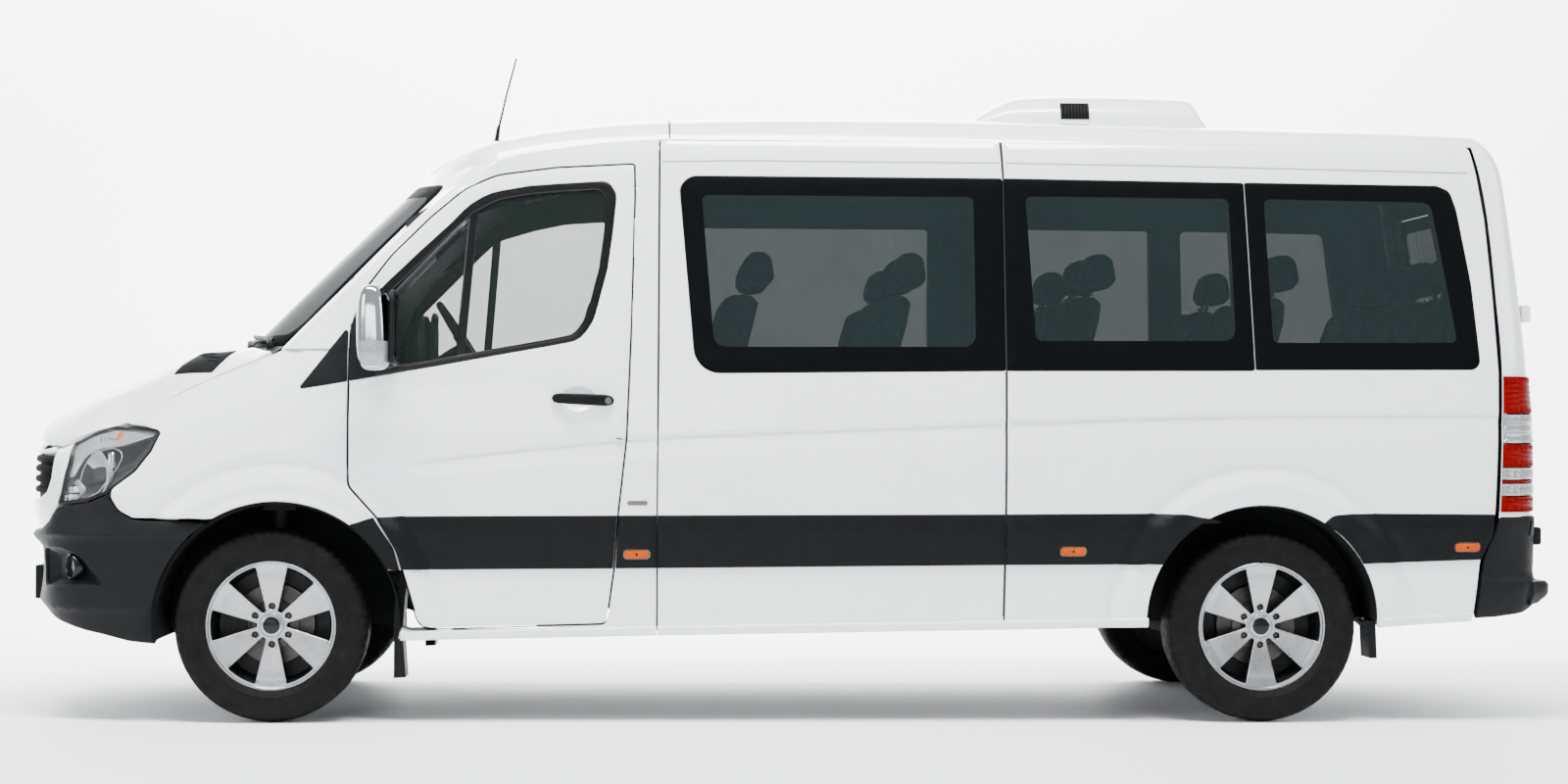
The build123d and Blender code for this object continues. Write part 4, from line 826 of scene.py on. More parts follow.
def nose_inset(s, z):
    """How far the skin stands inside the plan outline at arc length s and height z."""
    s = np.abs(s)
    return _in(s) * _roll((_ze(s) - z) / _reach(s)) + _tuck(z)


def nose_skin(inset=0.0):
    """Surface over (s, z); inset is a number or a function of (s, z), positive inwards."""
    def f(a, b):
        a, b = np.atleast_1d(np.asarray(a, float)), np.atleast_1d(np.asarray(b, float))
        x, y, nx, ny = NOSE.at(a)
        d = nose_inset(a, b) + (inset(a, b) if callable(inset) else inset)
        return np.stack([x - nx * d, y - ny * d, b], 1)
    return f


def nose_s(x, z):
    """Arc length at which the nose skin passes x at height z, on the left."""
    x, z = np.atleast_1d(np.asarray(x, float)), np.atleast_1d(np.asarray(z, float))
    s = NOSE.s_of_x(x)
    for _ in range(6):
        px, py, nx, ny = NOSE.at(s)
        s = s + 0.8 * (NOSE.s_of_x(np.minimum(x + nx * nose_inset(s, z), 2893.5)) - s)
    return s


def _wing(x, z):
    s = nose_s(x, z)
    px, py, nx, ny = NOSE.at(s)
    return py - ny * nose_inset(s, z)


def flare(x, z, arch, fade=None):
    """Rise of the wheel arch's rim: a fine groove round it, a bright swell and a flat to the edge."""
    r = np.hypot(x - arch[0], z - arch[1])
    k = arch[2]
    rise = -9.0 * smooth(k + 163, k + 143, r) + 25.0 * smooth(k + 143, k + 70, r) - 3.0 * smooth(k + 60, k + 40, r) + 5.0 * smooth(k + 34, k + 4, r)
    return rise * smooth(250, 420, z)


def base_y(x, z):
    x, z = np.atleast_1d(np.asarray(x, float)), np.atleast_1d(np.asarray(z, float))
    w = smooth(1500, 1700, x)
    a = _side(z)
    return np.where(w > 0, a * (1 - w) + _wing(np.maximum(x, 1626), z) * w, a)


def side_y(x, z):
    """Half width of the body at (x, z), with its crease and arches."""
    x, z = np.atleast_1d(np.asarray(x, float)), np.atleast_1d(np.asarray(z, float))
    y = base_y(x, z)
    zc, zs = _crease(x), _soft(x)
    amp = 9.0 * smooth(1500, 1250, x)
    d = zc - z
    width = np.maximum(zc - zs, 40)
    below = -amp * smooth(-1, 9, d) + amp * smooth(9, width, d) * 1.0
    y = y + np.where(d > -1, below, 0)
    # rise of the rims round both wheel arches; the front one fades out towards the nose
    y = y + flare(x, z, ARCH_REAR) + flare(x, z, ARCH_FRONT) * smooth(2700, 2350, x)
    return y


def side_surface(side):
    def f(a, b):
        return np.stack([a, side * side_y(a, b), b], 1)
    return f


# bonnet: its edge as a rail over the nose outline, its crown along the middle
_rs = np.linspace(0, float(NOSE.s_of_x(1640)), 160)
_px, _py, _nx, _ny = NOSE.at(_rs)
RAIL = np.stack([_px - _nx * nose_inset(_rs, _ze(_rs)), _py - _ny * nose_inset(_rs, _ze(_rs)), _ze(_rs)], 1)
_crown = pchip([1640, 1760, 1872, 2120, 2197, 2313, 2467, 2583, 2698, 2775, 2840, 2866, 2878, 2884],
               [1436, 1428, 1418, 1398, 1391, 1353, 1287, 1238, 1187, 1150, 1108, 1082, 1060, 1042])
_rx = RAIL[::-1, 0]


def bonnet_z(x, y):
    x, y = np.atleast_1d(np.asarray(x, float)), np.abs(np.atleast_1d(np.asarray(y, float)))
    yt = np.interp(x, _rx, RAIL[::-1, 1])
    ze = np.interp(x, _rx, RAIL[::-1, 2])
    t = np.clip(y / np.maximum(yt, 60), 0, 1.2)
    zc = np.maximum(_crown(x), ze)
    shape = 0.35 * t ** 2 + 0.65 * t ** 5
    shoulder = 8.0 * np.exp(-((t - 0.78) / 0.09) ** 2) * smooth(2820, 2350, x)
    return zc - (zc - ze) * shape + shoulder


def bonnet_surface(a, b):
    return np.stack([a, b, bonnet_z(a, b)], 1)


# windscreen: a leaning curved sheet
_R1 = (770.0 ** 2 + 212.0 ** 2) / (2 * 212.0)
def _circle3(a, b, c):
    (ax, ay), (bx, by), (cx, cy) = a, b, c
    d = 2 * (ax * (by - cy) + bx * (cy - ay) + cx * (ay - by))
    ux = ((ax ** 2 + ay ** 2) * (by - cy) + (bx ** 2 + by ** 2) * (cy - ay) + (cx ** 2 + cy ** 2) * (ay - by)) / d
    uy = ((ax ** 2 + ay ** 2) * (cx - bx) + (bx ** 2 + by ** 2) * (ax - cx) + (cx ** 2 + cy ** 2) * (bx - ax)) / d
    return ux, uy, math.hypot(ax - ux, ay - uy)
_cx, _cy, _cr = _circle3((1740, 985), (1838, 893), (1885, 770))
LEAN = 615.0 / 606.0


def screen_x0(y):
    y = np.abs(np.asarray(y, float))
    inner = 2097 - _R1 + np.sqrt(np.maximum(_R1 ** 2 - y ** 2, 0))
    outer = _cx + np.sqrt(np.maximum(_cr ** 2 - (y - _cy) ** 2, 0))
    return np.where(y <= 770, inner, outer)


def screen_surface(inset=0.0):
    def f(a, b):
        a, b = np.atleast_1d(np.asarray(a, float)), np.atleast_1d(np.asarray(b, float))
        # bowed a little from top to bottom
        bow = 10.0 * np.sin(np.clip((b - 1372) / 660.0, 0, 1) * math.pi)
        return np.stack([screen_x0(a) - (b - 1372) * LEAN + bow * 0.7 - inset * 0.7, a, b + bow * 0.0 - inset * 0.0], 1)
    return f


# roof: cross-sections over (x, v), v running from -1 at the right edge to 1 at the left
ROOF_ROWS = [(-2850, 2206, 2142), (-2690, 2224, 2155), (-2400, 2240, 2158), (-1400, 2266, 2160), (-900, 2280, 2160), (-400, 2286, 2160), (0, 2284, 2160),
             (450, 2270, 2160), (600, 2262, 2152), (760, 2247, 2136), (900, 2230, 2116), (1050, 2203, 2082), (1150, 2176, 2053), (1300, 2112, 1983),
             (1430, 2040, 1913), (1520, 1985, 1860)]
_rc, _re = pchip([r[0] for r in ROOF_ROWS], [r[1] for r in ROOF_ROWS]), pchip([r[0] for r in ROOF_ROWS], [r[2] for r in ROOF_ROWS])
_vy = pchip([0, .25, .5, .75, .86, .93, 1.0, 1.1], [0, 235, 462, 678, 764, 815, 852, 870])
_vz = pchip([0, .25, .5, .75, .86, .93, 1.0, 1.1], [0, .02, .08, .22, .37, .58, 1.0, 1.9])


def roof_surface(a, b):
    a, b = np.atleast_1d(np.asarray(a, float)), np.atleast_1d(np.asarray(b, float))
    v = np.abs(b) / 1000.0
    tail = smooth(-2500, -2860, a)
    y = _vy(v) * (1 - 0.03 * tail)
    zc, ze = _rc(a), _re(a)
    # shallow lengthwise beads pressed into the rear roof
    bead = 3.5 * np.maximum(0, np.cos(y * 2 * math.pi / 190.0)) ** 3 * smooth(420, 340, a) * smooth(-2600, -2500, a) * smooth(720, 660, y)
    z = zc - (zc - ze) * _vz(v) - bead
    return np.stack([a, np.sign(b) * y, z], 1)


# tail: x over height, bowed back in the middle
_rear = pchip([200, 548, 1030, 1293, 1500, 1696, 1900, 2050, 2122, 2166], [-2830, -2830, -2829, -2813, -2792, -2768, -2738, -2712, -2692, -2655])


def rear_surface(inset=0.0):
    def f(a, b):
        a, b = np.atleast_1d(np.asarray(a, float)), np.atleast_1d(np.asarray(b, float))
        bow = -14.0 * (1 - (a / 860.0) ** 2)
        return np.stack([_rear(b) + bow + inset + 14.0 * smooth(700, 900, np.abs(a)), a, b], 1)
    return f


def shifted(surf, d, flip=False):
    """The surface moved along its own normal by d, a number or a function of the parameters."""
    def f(a, b):
        a, b = np.atleast_1d(np.asarray(a, float)), np.atleast_1d(np.asarray(b, float))
        n = surface_normals(surf, a, b, 2.0)
        if flip:
            n = -n
        k = d(a, b) if callable(d) else d
        return surf(a, b) + n * (k[:, None] if isinstance(k, np.ndarray) else k)
    return f


# =====================================================================================================
# body panels
# =====================================================================================================
LEFT, RIGHT = 1, -1
SIDE_S = {1: side_surface(1), -1: side_surface(-1)}


def put(name, parts, mats, body, nodes=(), sharp=38, smooth_shade=True):
    """One object from several (verts, faces, material numbers) lists; stands for the CAD nodes named."""
    b = Bag()
    for verts, faces, tags in parts:
        o = len(b.v)
        b.v.extend([tuple(map(float, p)) for p in verts])
        for k, f in enumerate(faces):
            b.f.append(tuple(int(i) + o for i in f))
            b.m.append(int(tags[k]) if hasattr(tags, "__len__") else int(tags))
    obj = b.make(name, mats, body, smooth_shade=smooth_shade, sharp=sharp)
    if nodes:
        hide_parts(*nodes)
    return obj


def along_x(f, x0, x1, n=60):
    x = np.linspace(x0, x1, n)
    return np.stack([x, f(x)], 1)


def crease_lines(x0, x1):
    """Feature points that hold the flank's crease and the soft edge under it."""
    out = []
    n = max(4, int(abs(x1 - x0) / 26))
    x = np.linspace(x0, x1, n)
    for d in (-9, -1.5, 1.5, 5, 9, 16):
        out.append(np.stack([x, _crease(x) - d], 1))
    return out


def arch_lines(arch, a0=-0.25, a1=math.pi + 0.25):
    out = []
    for dr in (6, 22, 42, 62, 85, 110, 130, 145, 155, 165):
        r = arch[2] + dr
        n = int(r * (a1 - a0) / 26)
        t = np.linspace(a0, a1, n)
        out.append(np.stack([arch[0] + r * np.cos(t), arch[1] + r * np.sin(t)], 1))
    return out


def arch_arc(arch, z0, z1, n=44):
    """Points along the arch's edge from its rear foot at height z0 over to its front foot at z1."""
    cx, cz, r = arch
    a0 = math.pi - math.asin(max(-1, min(1, (z0 - cz) / r)))
    a1 = math.asin(max(-1, min(1, (z1 - cz) / r)))
    t = np.linspace(a0, a1, n)
    return [(cx + r * math.cos(a), cz + r * math.sin(a)) for a in t]


GAP = 3.2      # half of a shut line
DOOR_OUT = [(1604, 1470, 60), (1560, 1592, 120), (1464, 1719, 200), (1322, 1862, 240), (1197, 1969, 200), (1080, 2020, 200), (860, 2050, 300),
            (571, 2066, 12), (569, 1945, 60), (580, 1470, 200), (596, 1047, 200), (627, 759, 200), (641, 560, 200), (668, 362, 26), (1352, 343, 60), (1390, 476, 120),
            (1439, 638, 150), (1510, 757, 120), (1616, 872, 55), (1617, 1104, 300), (1613, 1428, 60)]
DOOR_LINE = round_poly(DOOR_OUT, 24)
DOOR_SEAL = round_poly([(1614, 1464, 18), (1487, 1610, 300), (1356, 1738, 300), (1250, 1837, 300), (1178, 1912, 220), (1100, 1955, 200), (962, 1980, 200), (853, 1989, 300),
                        (668, 2001, 40), (637, 1950, 60), (652, 1800, 200), (670, 1670, 200), (720, 1477, 160), (772, 1405, 90), (870, 1386, 200), (1100, 1344, 200),
                        (1297, 1307, 200), (1618, 1252, 10)], 22)
DOOR_PANE = round_poly([(1490, 1560, 30), (1350, 1700, 300), (1235, 1815, 300), (1168, 1878, 160), (1075, 1928, 160), (955, 1950, 200), (850, 1960, 300),
                        (700, 1970, 30), (674, 1930, 50), (686, 1800, 200), (703, 1672, 200), (748, 1495, 140), (792, 1430, 70), (880, 1412, 200), (1100, 1372, 200),
                        (1300, 1334, 200), (1545, 1292, 40)], 22)

PANE_FRIT = [
    round_poly([(403, 1983, 50), (363, 2020, 55), (-797, 2019, 8), (-804, 1303, 8), (341, 1289, 105), (357, 1471, 200)], 24),
    round_poly([(-801, 2019, 8), (-1704, 2009, 8), (-1733, 1308, 8), (-808, 1303, 8)], 24),
    round_poly([(-1713, 2010, 8), (-2440, 2004, 50), (-2487, 1985, 40), (-2510, 1914, 200), (-2557, 1636, 300), (-2586, 1316, 34), (-1742, 1311, 8)], 24),
]
PANE_CLEAR = [
    round_poly([(323, 1951, 22), (-690, 1951, 22), (-695, 1390, 45), (275, 1385, 45)], 24),
    round_poly([(-885, 1955, 22), (-1649, 1951, 22), (-1667, 1417, 45), (-919, 1413, 22)], 24),
    round_poly([(-1782, 1951, 22), (-2414, 1943, 40), (-2502, 1414, 22), (-1807, 1411, 22)], 24),
]

PANEL_OUT = [(476, 2156), (-792, 2164), (-801, 2022), (-806, 1296), (-803, 774), (-798, 348), (487, 332), (485, 767), (480, 1289)]
SILL = lerp_table([(1410, 300), (555, 318), (-714, 340), (-1343, 352), (-2201, 352), (-2600, 378)])


def grown(poly, d):
    return offset_loop(poly, -d) if area2(poly) > 0 else offset_loop(poly[::-1], -d)


def skin_side(side, outline, holes=(), surf=None, **kw):
    args = dict(grid=34, edge_r=4.5, depth=16, hole_edge_r=2.5, flip=side > 0)
    args.update(kw)
    return panel(surf or SIDE_S[side], outline, holes, **args)


CUP = (775.0, 1188.0, 72.0, 50.0)


def door_surface(side):
    def f(a, b):
        r = np.hypot((a - CUP[0]) / CUP[2], (b - CUP[1]) / CUP[3])
        return np.stack([a, side * (side_y(a, b) - 17.0 * smooth(1.0, 0.45, r)), b], 1)
    return f


def ring_points(cx, cz, rx, rz, factors, n=36):
    t = np.linspace(0, 2 * math.pi, n, endpoint=False)
    return [np.stack([cx + rx * k * np.cos(t), cz + rz * k * np.sin(t)], 1) for k in factors]


side_names = {LEFT: "left", RIGHT: "right"}
for sd in (LEFT, RIGHT):
    nm = side_names[sd]
    # -------------------------------------------------------------- front wing
    wing_top = [(1620 + GAP + 4, 1372 - 2)]
    arch_pts = arch_arc(ARCH_FRONT, 352, 744)
    wing = [(1618.6, 1374, 4), (1700, 1384, 0), (1790, 1386, 0), (1862, 1375, 6)]
    wing += [(x, float(np.interp(x, [1872, 1943, 2159, 2356, 2470], [1374, 1345, 1259, 1163, 1104])) - 6, 0) for x in (1905, 1943, 2010, 2085, 2159, 2225, 2290, 2356, 2415)]
    wing += [(2462, 1102, 10), (2437, 1092, 20), (2368, 1085, 20), (2309, 1067, 16), (2330, 1020, 60), (2360, 971, 60), (2414, 907, 80), (2496, 842, 60), (2452, 775, 60), (2400, 749, 30), (2330, 747, 30)]
    t0 = math.asin((747 - ARCH_FRONT[1]) / ARCH_FRONT[2])
    arc = [(ARCH_FRONT[0] + ARCH_FRONT[2] * math.cos(a), ARCH_FRONT[1] + ARCH_FRONT[2] * math.sin(a)) for a in np.linspace(t0, math.pi - math.asin((560 - ARCH_FRONT[1]) / ARCH_FRONT[2]), 40)]
    wing += [(x, z, 0) for x, z in arc]
    door_edge = [(1447, 638), (1484, 708), (1516, 757), (1609, 846), (1626, 889), (1625, 1104), (1621, 1372)]
    wing += [(1419, 560, 0), (1442.4, 637.5, 60), (1512.6, 754.4, 110), (1619.3, 870.4, 55), (1620.4, 1104, 300)]
    wing_loop = round_poly(wing, 24)
    feats = arch_lines(ARCH_FRONT) + crease_lines(1626, 2300)
    w = skin_side(sd, wing_loop, feats=feats, depth=22, inner=None)
    put(nm + "_wing_skin", [w], [PAINT, RETURN_SHADE_AND_TRIM], "body", [nm + "_wing"])

    # -------------------------------------------------------------- cab door
    dl = offset_loop(DOOR_LINE if area2(DOOR_LINE) > 0 else DOOR_LINE[::-1], GAP)
    feats = arch_lines(ARCH_FRONT) + crease_lines(560, 1626)
    feats += ring_points(*CUP, (0.3, 0.5, 0.65, 0.8, 0.92, 1.02, 1.12))
    door = skin_side(sd, dl, [DOOR_SEAL], surf=door_surface(sd), feats=feats, depth=26, inner=60, hole_depth=60)
    # folded rim of the door between skin and trim, set back; the rim and the door's turned edges are near-black,
    # painted shade in the shut lines
    rim = panel(shifted(SIDE_S[sd], -24, flip=sd > 0), offset_loop(dl, 14), [DOOR_SEAL], grid=90, edge_r=0, depth=36, flip=sd > 0, hole_edge_r=0)
    put("front_%s_door_skin" % nm, [(door[0], door[1], door[2]), (rim[0], rim[1], [1] * len(rim[1]))], [PAINT, EDGE_DARK, TRIM_GREY],
        nm + "_door", ["front_%s_door" % nm])
    seal = panel(shifted(SIDE_S[sd], -3, flip=sd > 0), DOOR_SEAL, [DOOR_PANE], grid=60, edge_r=7, depth=12, flip=sd > 0, hole_edge_r=4, inner=None)
    pane = panel(shifted(SIDE_S[sd], -12, flip=sd > 0), grown(DOOR_PANE, 4), [], grid=90, edge_r=0, depth=0, flip=sd > 0)
    put("front_%s_window_seal" % nm, [seal], [GLOSS_BLACK, RUBBER], nm + "_door")
    put("front_%s_window" % nm, [pane], [GLASS_CAB], nm + "_door", ["front_%s_glass" % nm])
    # slim post ahead of the sliding pane
    P = [(1178, 1904), (1196, 1336)]
    zz = np.linspace(1330, 1900, 14)
    xx = np.interp(zz, [1336, 1904], [1211, 1163])
    base = shifted(SIDE_S[sd], -9, flip=sd > 0)(xx, zz)
    V, F = [], []
    for i in range(14):
        for dx, dy in ((-17, -6), (-17, 0), (-12, 3), (12, 3), (17, 0), (17, -6)):
            V.append((base[i, 0] + dx, base[i, 1] + sd * dy, base[i, 2]))
    F = grid_faces(14, 6, wrap_v=True, flip=sd < 0)
    put("front_%s_window_post" % nm, [(V, F, 0)], [GLOSS_BLACK], nm + "_door", sharp=30)

    # -------------------------------------------------------------- middle panel and rear quarter
    mid = round_poly([(476, 2158, 4), (-792, 2164, 4), (-800, 2022, 60), (-805, 1296, 60), (-803, 774, 60), (-797, 350, 8), (480, 334, 8), (482, 767, 60), (478, 1289, 60)], 30)
    hole = grown(PANE_FRIT[0], 3.0)
    cl = [along_x(lambda x: 2084 + 0 * x, -2600, 1100, 140), along_x(lambda x: 2076 + 0 * x, -2600, 1100, 140), along_x(lambda x: 2092 + 0 * x, -2600, 1100, 140)]
    m = skin_side(sd, mid, [hole], feats=crease_lines(-800, 480) + cl, depth=50, inner=None, hole_depth=9)
    inn = panel(shifted(SIDE_S[sd], -58, flip=sd > 0), offset_loop(mid if area2(mid) > 0 else mid[::-1], 2), [PANE_CLEAR[0]], grid=110, edge_r=0, depth=0, flip=sd < 0, hole_edge_r=0)
    rev = panel(shifted(SIDE_S[sd], -8, flip=sd > 0), grown(PANE_CLEAR[0], 2), [PANE_CLEAR[0]], grid=200, edge_r=0, depth=50, flip=sd > 0, hole_edge_r=0)
    node = "left_side_panel" if sd > 0 else "sliding_door"
    put(node + "_skin", [m, (inn[0], inn[1], [2] * len(inn[1])), (rev[0], rev[1], [3] * len(rev[1]))], [PAINT, EDGE_DARK, TRIM_GREY, RUBBER], "body", [node])

    q = [(-799, 2164, 4), (-2570, 2160, 30), (-2594, 2045, 90), (-2618, 1877, 200), (-2639, 1599, 300), (-2655, 1305, 200), (-2652, 1122, 200),
         (-2646, 939, 200), (-2639, 775, 60), (-2583, 603, 200), (-2574, 500, 60), (-2560, 382, 12), (-2202, 356, 0)]
    q += [(x, z, 0) for x, z in arch_arc(ARCH_REAR, 358, 358)][::-1]
    q += [(-1343, 356, 0), (-803.5, 350, 8), (-809.5, 774, 60), (-811.5, 1296, 60), (-806.5, 2022, 60)]
    # arch from its front foot over to its rear foot, so that the loop runs one way
    q = q[:12] + [(x, z, 0) for x, z in arch_arc(ARCH_REAR, 358, 358)] + q[-5:]
    ql = round_poly(q, 30)
    m = skin_side(sd, ql, [grown(PANE_FRIT[1], 3), grown(PANE_FRIT[2], 3)], feats=crease_lines(-2650, -808) + arch_lines(ARCH_REAR) + cl, depth=40, inner=None, hole_depth=9)
    inn_out = round_poly([(-808, 2164, 4), (-2570, 2160, 30), (-2639, 1599, 300), (-2650, 1122, 200), (-2600, 960, 60), (-812, 960, 8)], 40)
    inn = panel(shifted(SIDE_S[sd], -58, flip=sd > 0), inn_out, [PANE_CLEAR[1], PANE_CLEAR[2]], grid=110, edge_r=0, depth=0, flip=sd < 0, hole_edge_r=0)
    parts = [m, (inn[0], inn[1], [2] * len(inn[1]))]
    for k in (1, 2):
        rev = panel(shifted(SIDE_S[sd], -8, flip=sd > 0), grown(PANE_CLEAR[k], 2), [PANE_CLEAR[k]], grid=200, edge_r=0, depth=50, flip=sd > 0, hole_edge_r=0)
        parts.append((rev[0], rev[1], [3] * len(rev[1])))
    put(nm + "_rear_quarter_skin", parts, [PAINT, EDGE_DARK, TRIM_GREY, RUBBER], "body", [nm + "_rear_quarter"])

    # -------------------------------------------------------------- rolled lip along the foot of the body, from the front wheel to the tail
    parts = []
    for x0_, x1_ in ((1422, 484), (480, -1338), (-2206, -2556)):
        xs_ = np.linspace(x0_, x1_, max(8, int(abs(x1_ - x0_) / 30)))
        ze = np.array([float(SILL(x)) for x in xs_])
        ye = side_y(xs_, ze + 34.0)
        V = [(x, sd * (y + dy), z + dz) for x, y, z in zip(xs_, ye, ze)
             for dy, dz in ((-12, 35.5), (0.5, 35), (4.2, 33.5), (6, 30), (5.2, 22), (1.5, 10), (-4, 3), (-11, 0), (-40, 0), (-40, 8), (-12, 8))]
        F = grid_faces(len(xs_), 11, wrap_v=True, flip=sd < 0)
        cap = tuple(range(11))
        F.append(cap[::-1] if sd > 0 else cap)
        cap = tuple((len(xs_) - 1) * 11 + k for k in range(11))
        F.append(cap if sd > 0 else cap[::-1])
        parts.append((V, F, [0] * len(F)))
    put(nm + "_sill_lip", parts, [PAINT], "body", sharp=50)

    # -------------------------------------------------------------- bonded side glass: black border and tinted pane
    parts, clear = [], []
    for k in range(3):
        fr = panel(shifted(SIDE_S[sd], 0.8, flip=sd > 0), PANE_FRIT[k], [PANE_CLEAR[k]], grid=70, edge_r=2.5, depth=7, flip=sd > 0, hole_edge_r=0, hole_depth=0.5)
        parts.append(fr)
        cp = panel(shifted(SIDE_S[sd], 0.6, flip=sd > 0), PANE_CLEAR[k], [], grid=70, edge_r=0, depth=0, flip=sd > 0)
        clear.append(cp)
    put(nm + "_glass_border", parts, [FRIT, RUBBER], "body")
    put(nm + "_side_glass", clear, [GLASS_SIDE], "body", ["side_windows"] if sd > 0 else ())

    # joint between the two rear panes
    V = []
    for z in np.linspace(1311, 2009, 16):
        xm = float(np.interp(z, [1309, 2009.5], [-1737.5, -1708.5]))
        for dx in (-6.5, 6.5):
            V.append((xm + dx, sd * (float(side_y(np.array([xm + dx]), np.array([z]))[0]) + 1.6), z))
    F = grid_faces(16, 2, flip=sd < 0)
    mk_ = [0] * len(F)
    o = len(V)
    for z in np.linspace(1311, 2009, 16):
        xm = float(np.interp(z, [1309, 2009.5], [-1737.5, -1708.5]))
        for dx in (-1.2, 1.2):
            V.append((xm + dx, sd * (float(side_y(np.array([xm + dx]), np.array([z]))[0]) + 2.4), z))
    F = F + [tuple(o + k for k in f) for f in F]
    put(nm + "_pane_joint", [(V, F, mk_ + [1] * len(mk_))], [FRIT, LINE_GREY], "body")

    # dark strips down the two pillar joints: painted shade in the shut lines
    parts = []
    for zs_, xs_ in (([338, 767, 2150], [483.5, 484, 481]), ([352, 774, 1296, 2022, 2158], [-801.5, -806.3, -808.2, -803.5, -797])):
        V = []
        for z in np.linspace(zs_[0], zs_[-1], 40):
            xm = float(np.interp(z, zs_, xs_))
            for dx, dd in ((-3.4, -1.5), (-2.0, 0.5), (2.0, 0.5), (3.4, -1.5)):
                V.append((xm + dx, sd * (float(side_y(np.array([xm + dx]), np.array([z]))[0]) + dd), z))
        F = grid_faces(40, 4, flip=sd < 0)
        parts.append((V, F, [0] * len(F)))
    put(nm + "_pillar_joints", parts, [EDGE_DARK], "body")

    # sealed seam along the cant rail
    V, F = [], []
    for xa, xb in ((468, -788), (-816, -2560)):
        xs_ = np.linspace(xa, xb, 50)
        zs_ = np.interp(xs_, [-2571, -1455, -791, 163, 564], [2056, 2074, 2080, 2081, 2074])
        o = len(V)
        for x, z in zip(xs_, zs_):
            for dz, dy in ((-3.0, -0.8), (-2.2, 0.9), (2.2, 0.9), (3.0, -0.8)):
                V.append((x, sd * (float(side_y(np.array([x]), np.array([z + dz]))[0]) + dy), z + dz))
        F += [tuple(o + k for k in f) for f in grid_faces(50, 4, flip=sd < 0)]
    put(nm + "_cant_rail_seam", [(V, F, 0)], [LINE_GREY], "body", sharp=20)

    # inner trim behind the pillar joint between the side panes and along the top of the cab door opening; a dark strip
    # behind the gap at the cab pillar is painted shade
    parts = []
    V = []
    for z in np.linspace(1000, 2140, 20):
        for x in (-862, -752):
            V.append((x, sd * (float(side_y(np.array([float(x)]), np.array([z]))[0]) - 63), z))
    parts.append((V, grid_faces(20, 2), [0] * 19))
    # dark strip behind the gap at the cab pillar: painted shade seen through the shut line
    V = []
    for z in np.linspace(338, 2150, 30):
        for x in (462, 500):
            V.append((x, sd * (float(side_y(np.array([float(x)]), np.array([z]))[0]) - 52), z))
    parts.append((V, grid_faces(30, 2), [0] * 29))
    V = []
    for x in np.linspace(476, 1420, 30):
        zt_ = float(np.interp(x, [476, 760, 1000, 1150, 1300, 1420], [2110, 2100, 2050, 2005, 1930, 1850]))
        for dz in (0, -60, -125):
            z = zt_ + dz
            V.append((x, sd * (float(side_y(np.array([float(x)]), np.array([z]))[0]) - 78), z))
    parts.append((V, grid_faces(30, 3), [0] * 58))
    put(nm + "_inner_rail_trim", parts, [CABIN], "body", sharp=40)


# =====================================================================================================
# nose: bonnet, lamps, grille, bumper
# =====================================================================================================
def loop_xz_to_sz(points):
    """An outline measured from the side, as arc lengths and heights on the nose skin."""
    P = np.array([p[:2] for p in points], float)
    s = nose_s(P[:, 0], P[:, 1])
    return [(float(a), float(z), *(p[2:])) for a, z, p in zip(s, P[:, 1], points)]


# bonnet
k = _rs < NOSE.s_of_x(1878)
edge = RAIL[k][::6]
t = edge[:, :2].copy()
half = [(max(10, p[0] - 3.0), max(0.0, p[1] - 4.5)) for p in t]
half = [(2881.0, 0.0)] + [p for p in half if p[1] > 30]
back_y = np.linspace(780, -780, 40)
rear = [(float(screen_x0(y)) + 40.0, float(y)) for y in back_y]
half = [p for p in half if p[0] > rear[0][0] + 12]
loop = [(x, y) for x, y in half] + rear + [(x, -y) for x, y in half[::-1][:-1]]
bl = round_poly([(x, y, 0) for x, y in loop], 30)
feats = []
for tt in (0.70, 0.74, 0.78, 0.82, 0.86, 0.95, 0.985):
    xs = np.linspace(1900, 2840, 40)
    yy = np.interp(xs, _rx, RAIL[::-1, 1]) * tt
    feats += [np.stack([xs, yy], 1), np.stack([xs, -yy], 1)]
for xf in (2830, 2850, 2862, 2871):
    feats.append(np.stack([np.full(41, float(xf)), np.linspace(-600, 600, 41)], 1))
b = panel(bonnet_surface, bl, [], grid=36, edge_r=5, depth=26, inner=28, feats=feats)
put("bonnet_skin", [b], [PAINT, PAINT, UNDERBODY], "bonnet_lid", ["bonnet"])
# air outlets near the rear edge of the bonnet
for sd in (1, -1):
    ol = round_poly([(2222, sd * 440, 8), (2066, sd * 610, 8), (2140, sd * 762, 8), (2300, sd * 655, 8)], 16)
    base = panel(shifted(bonnet_surface, 1.5), ol, [], grid=40, edge_r=2, depth=8)
    parts = [(base[0], base[1], [0] * len(base[1]))]
    for j in range(4):
        x0_, y0 = 2196 - 18 * j, 520 + j * 52
        V, F = tube([(x, sd * (y0 - (x - x0_) * 0.9), float(bonnet_z(x, sd * (y0 - (x - x0_) * 0.9))[0]) + 2.6) for x in np.linspace(x0_ - 34, x0_ + 34, 8)], 2.0, 8)
        parts.append((V, F, [1] * len(F)))
    put("bonnet_outlet_" + side_names[sd], parts, [SHADOW_GAP, ANTHRACITE], "bonnet_lid")

# headlamps
LAMP = round_poly([(1296, 1062, 12), (1279, 1073, 12), (1170, 1085, 60), (1057, 1084, 60), (960, 1060, 80), (877, 1026, 8), (916, 950, 80), (902, 844, 80), (875, 790, 8),
                   (1029, 808, 80), (1103, 836, 80), (1210, 915, 80), (1267, 991, 50)], 16)
LAMP_SURF = {1: nose_skin(1.0), -1: nose_skin(1.0)}


def mirror_parts(part):
    v, f, m = part
    return [(x, -y, z) for x, y, z in v], [tuple(q[::-1]) for q in f], m


def nose_point(s, z, d=0.0):
    p = nose_skin(d)(np.array([s]), np.array([z]))[0]
    x, y, nx, ny = NOSE.at(np.array([s]))
    return p, np.array([nx[0], ny[0], 0.0])


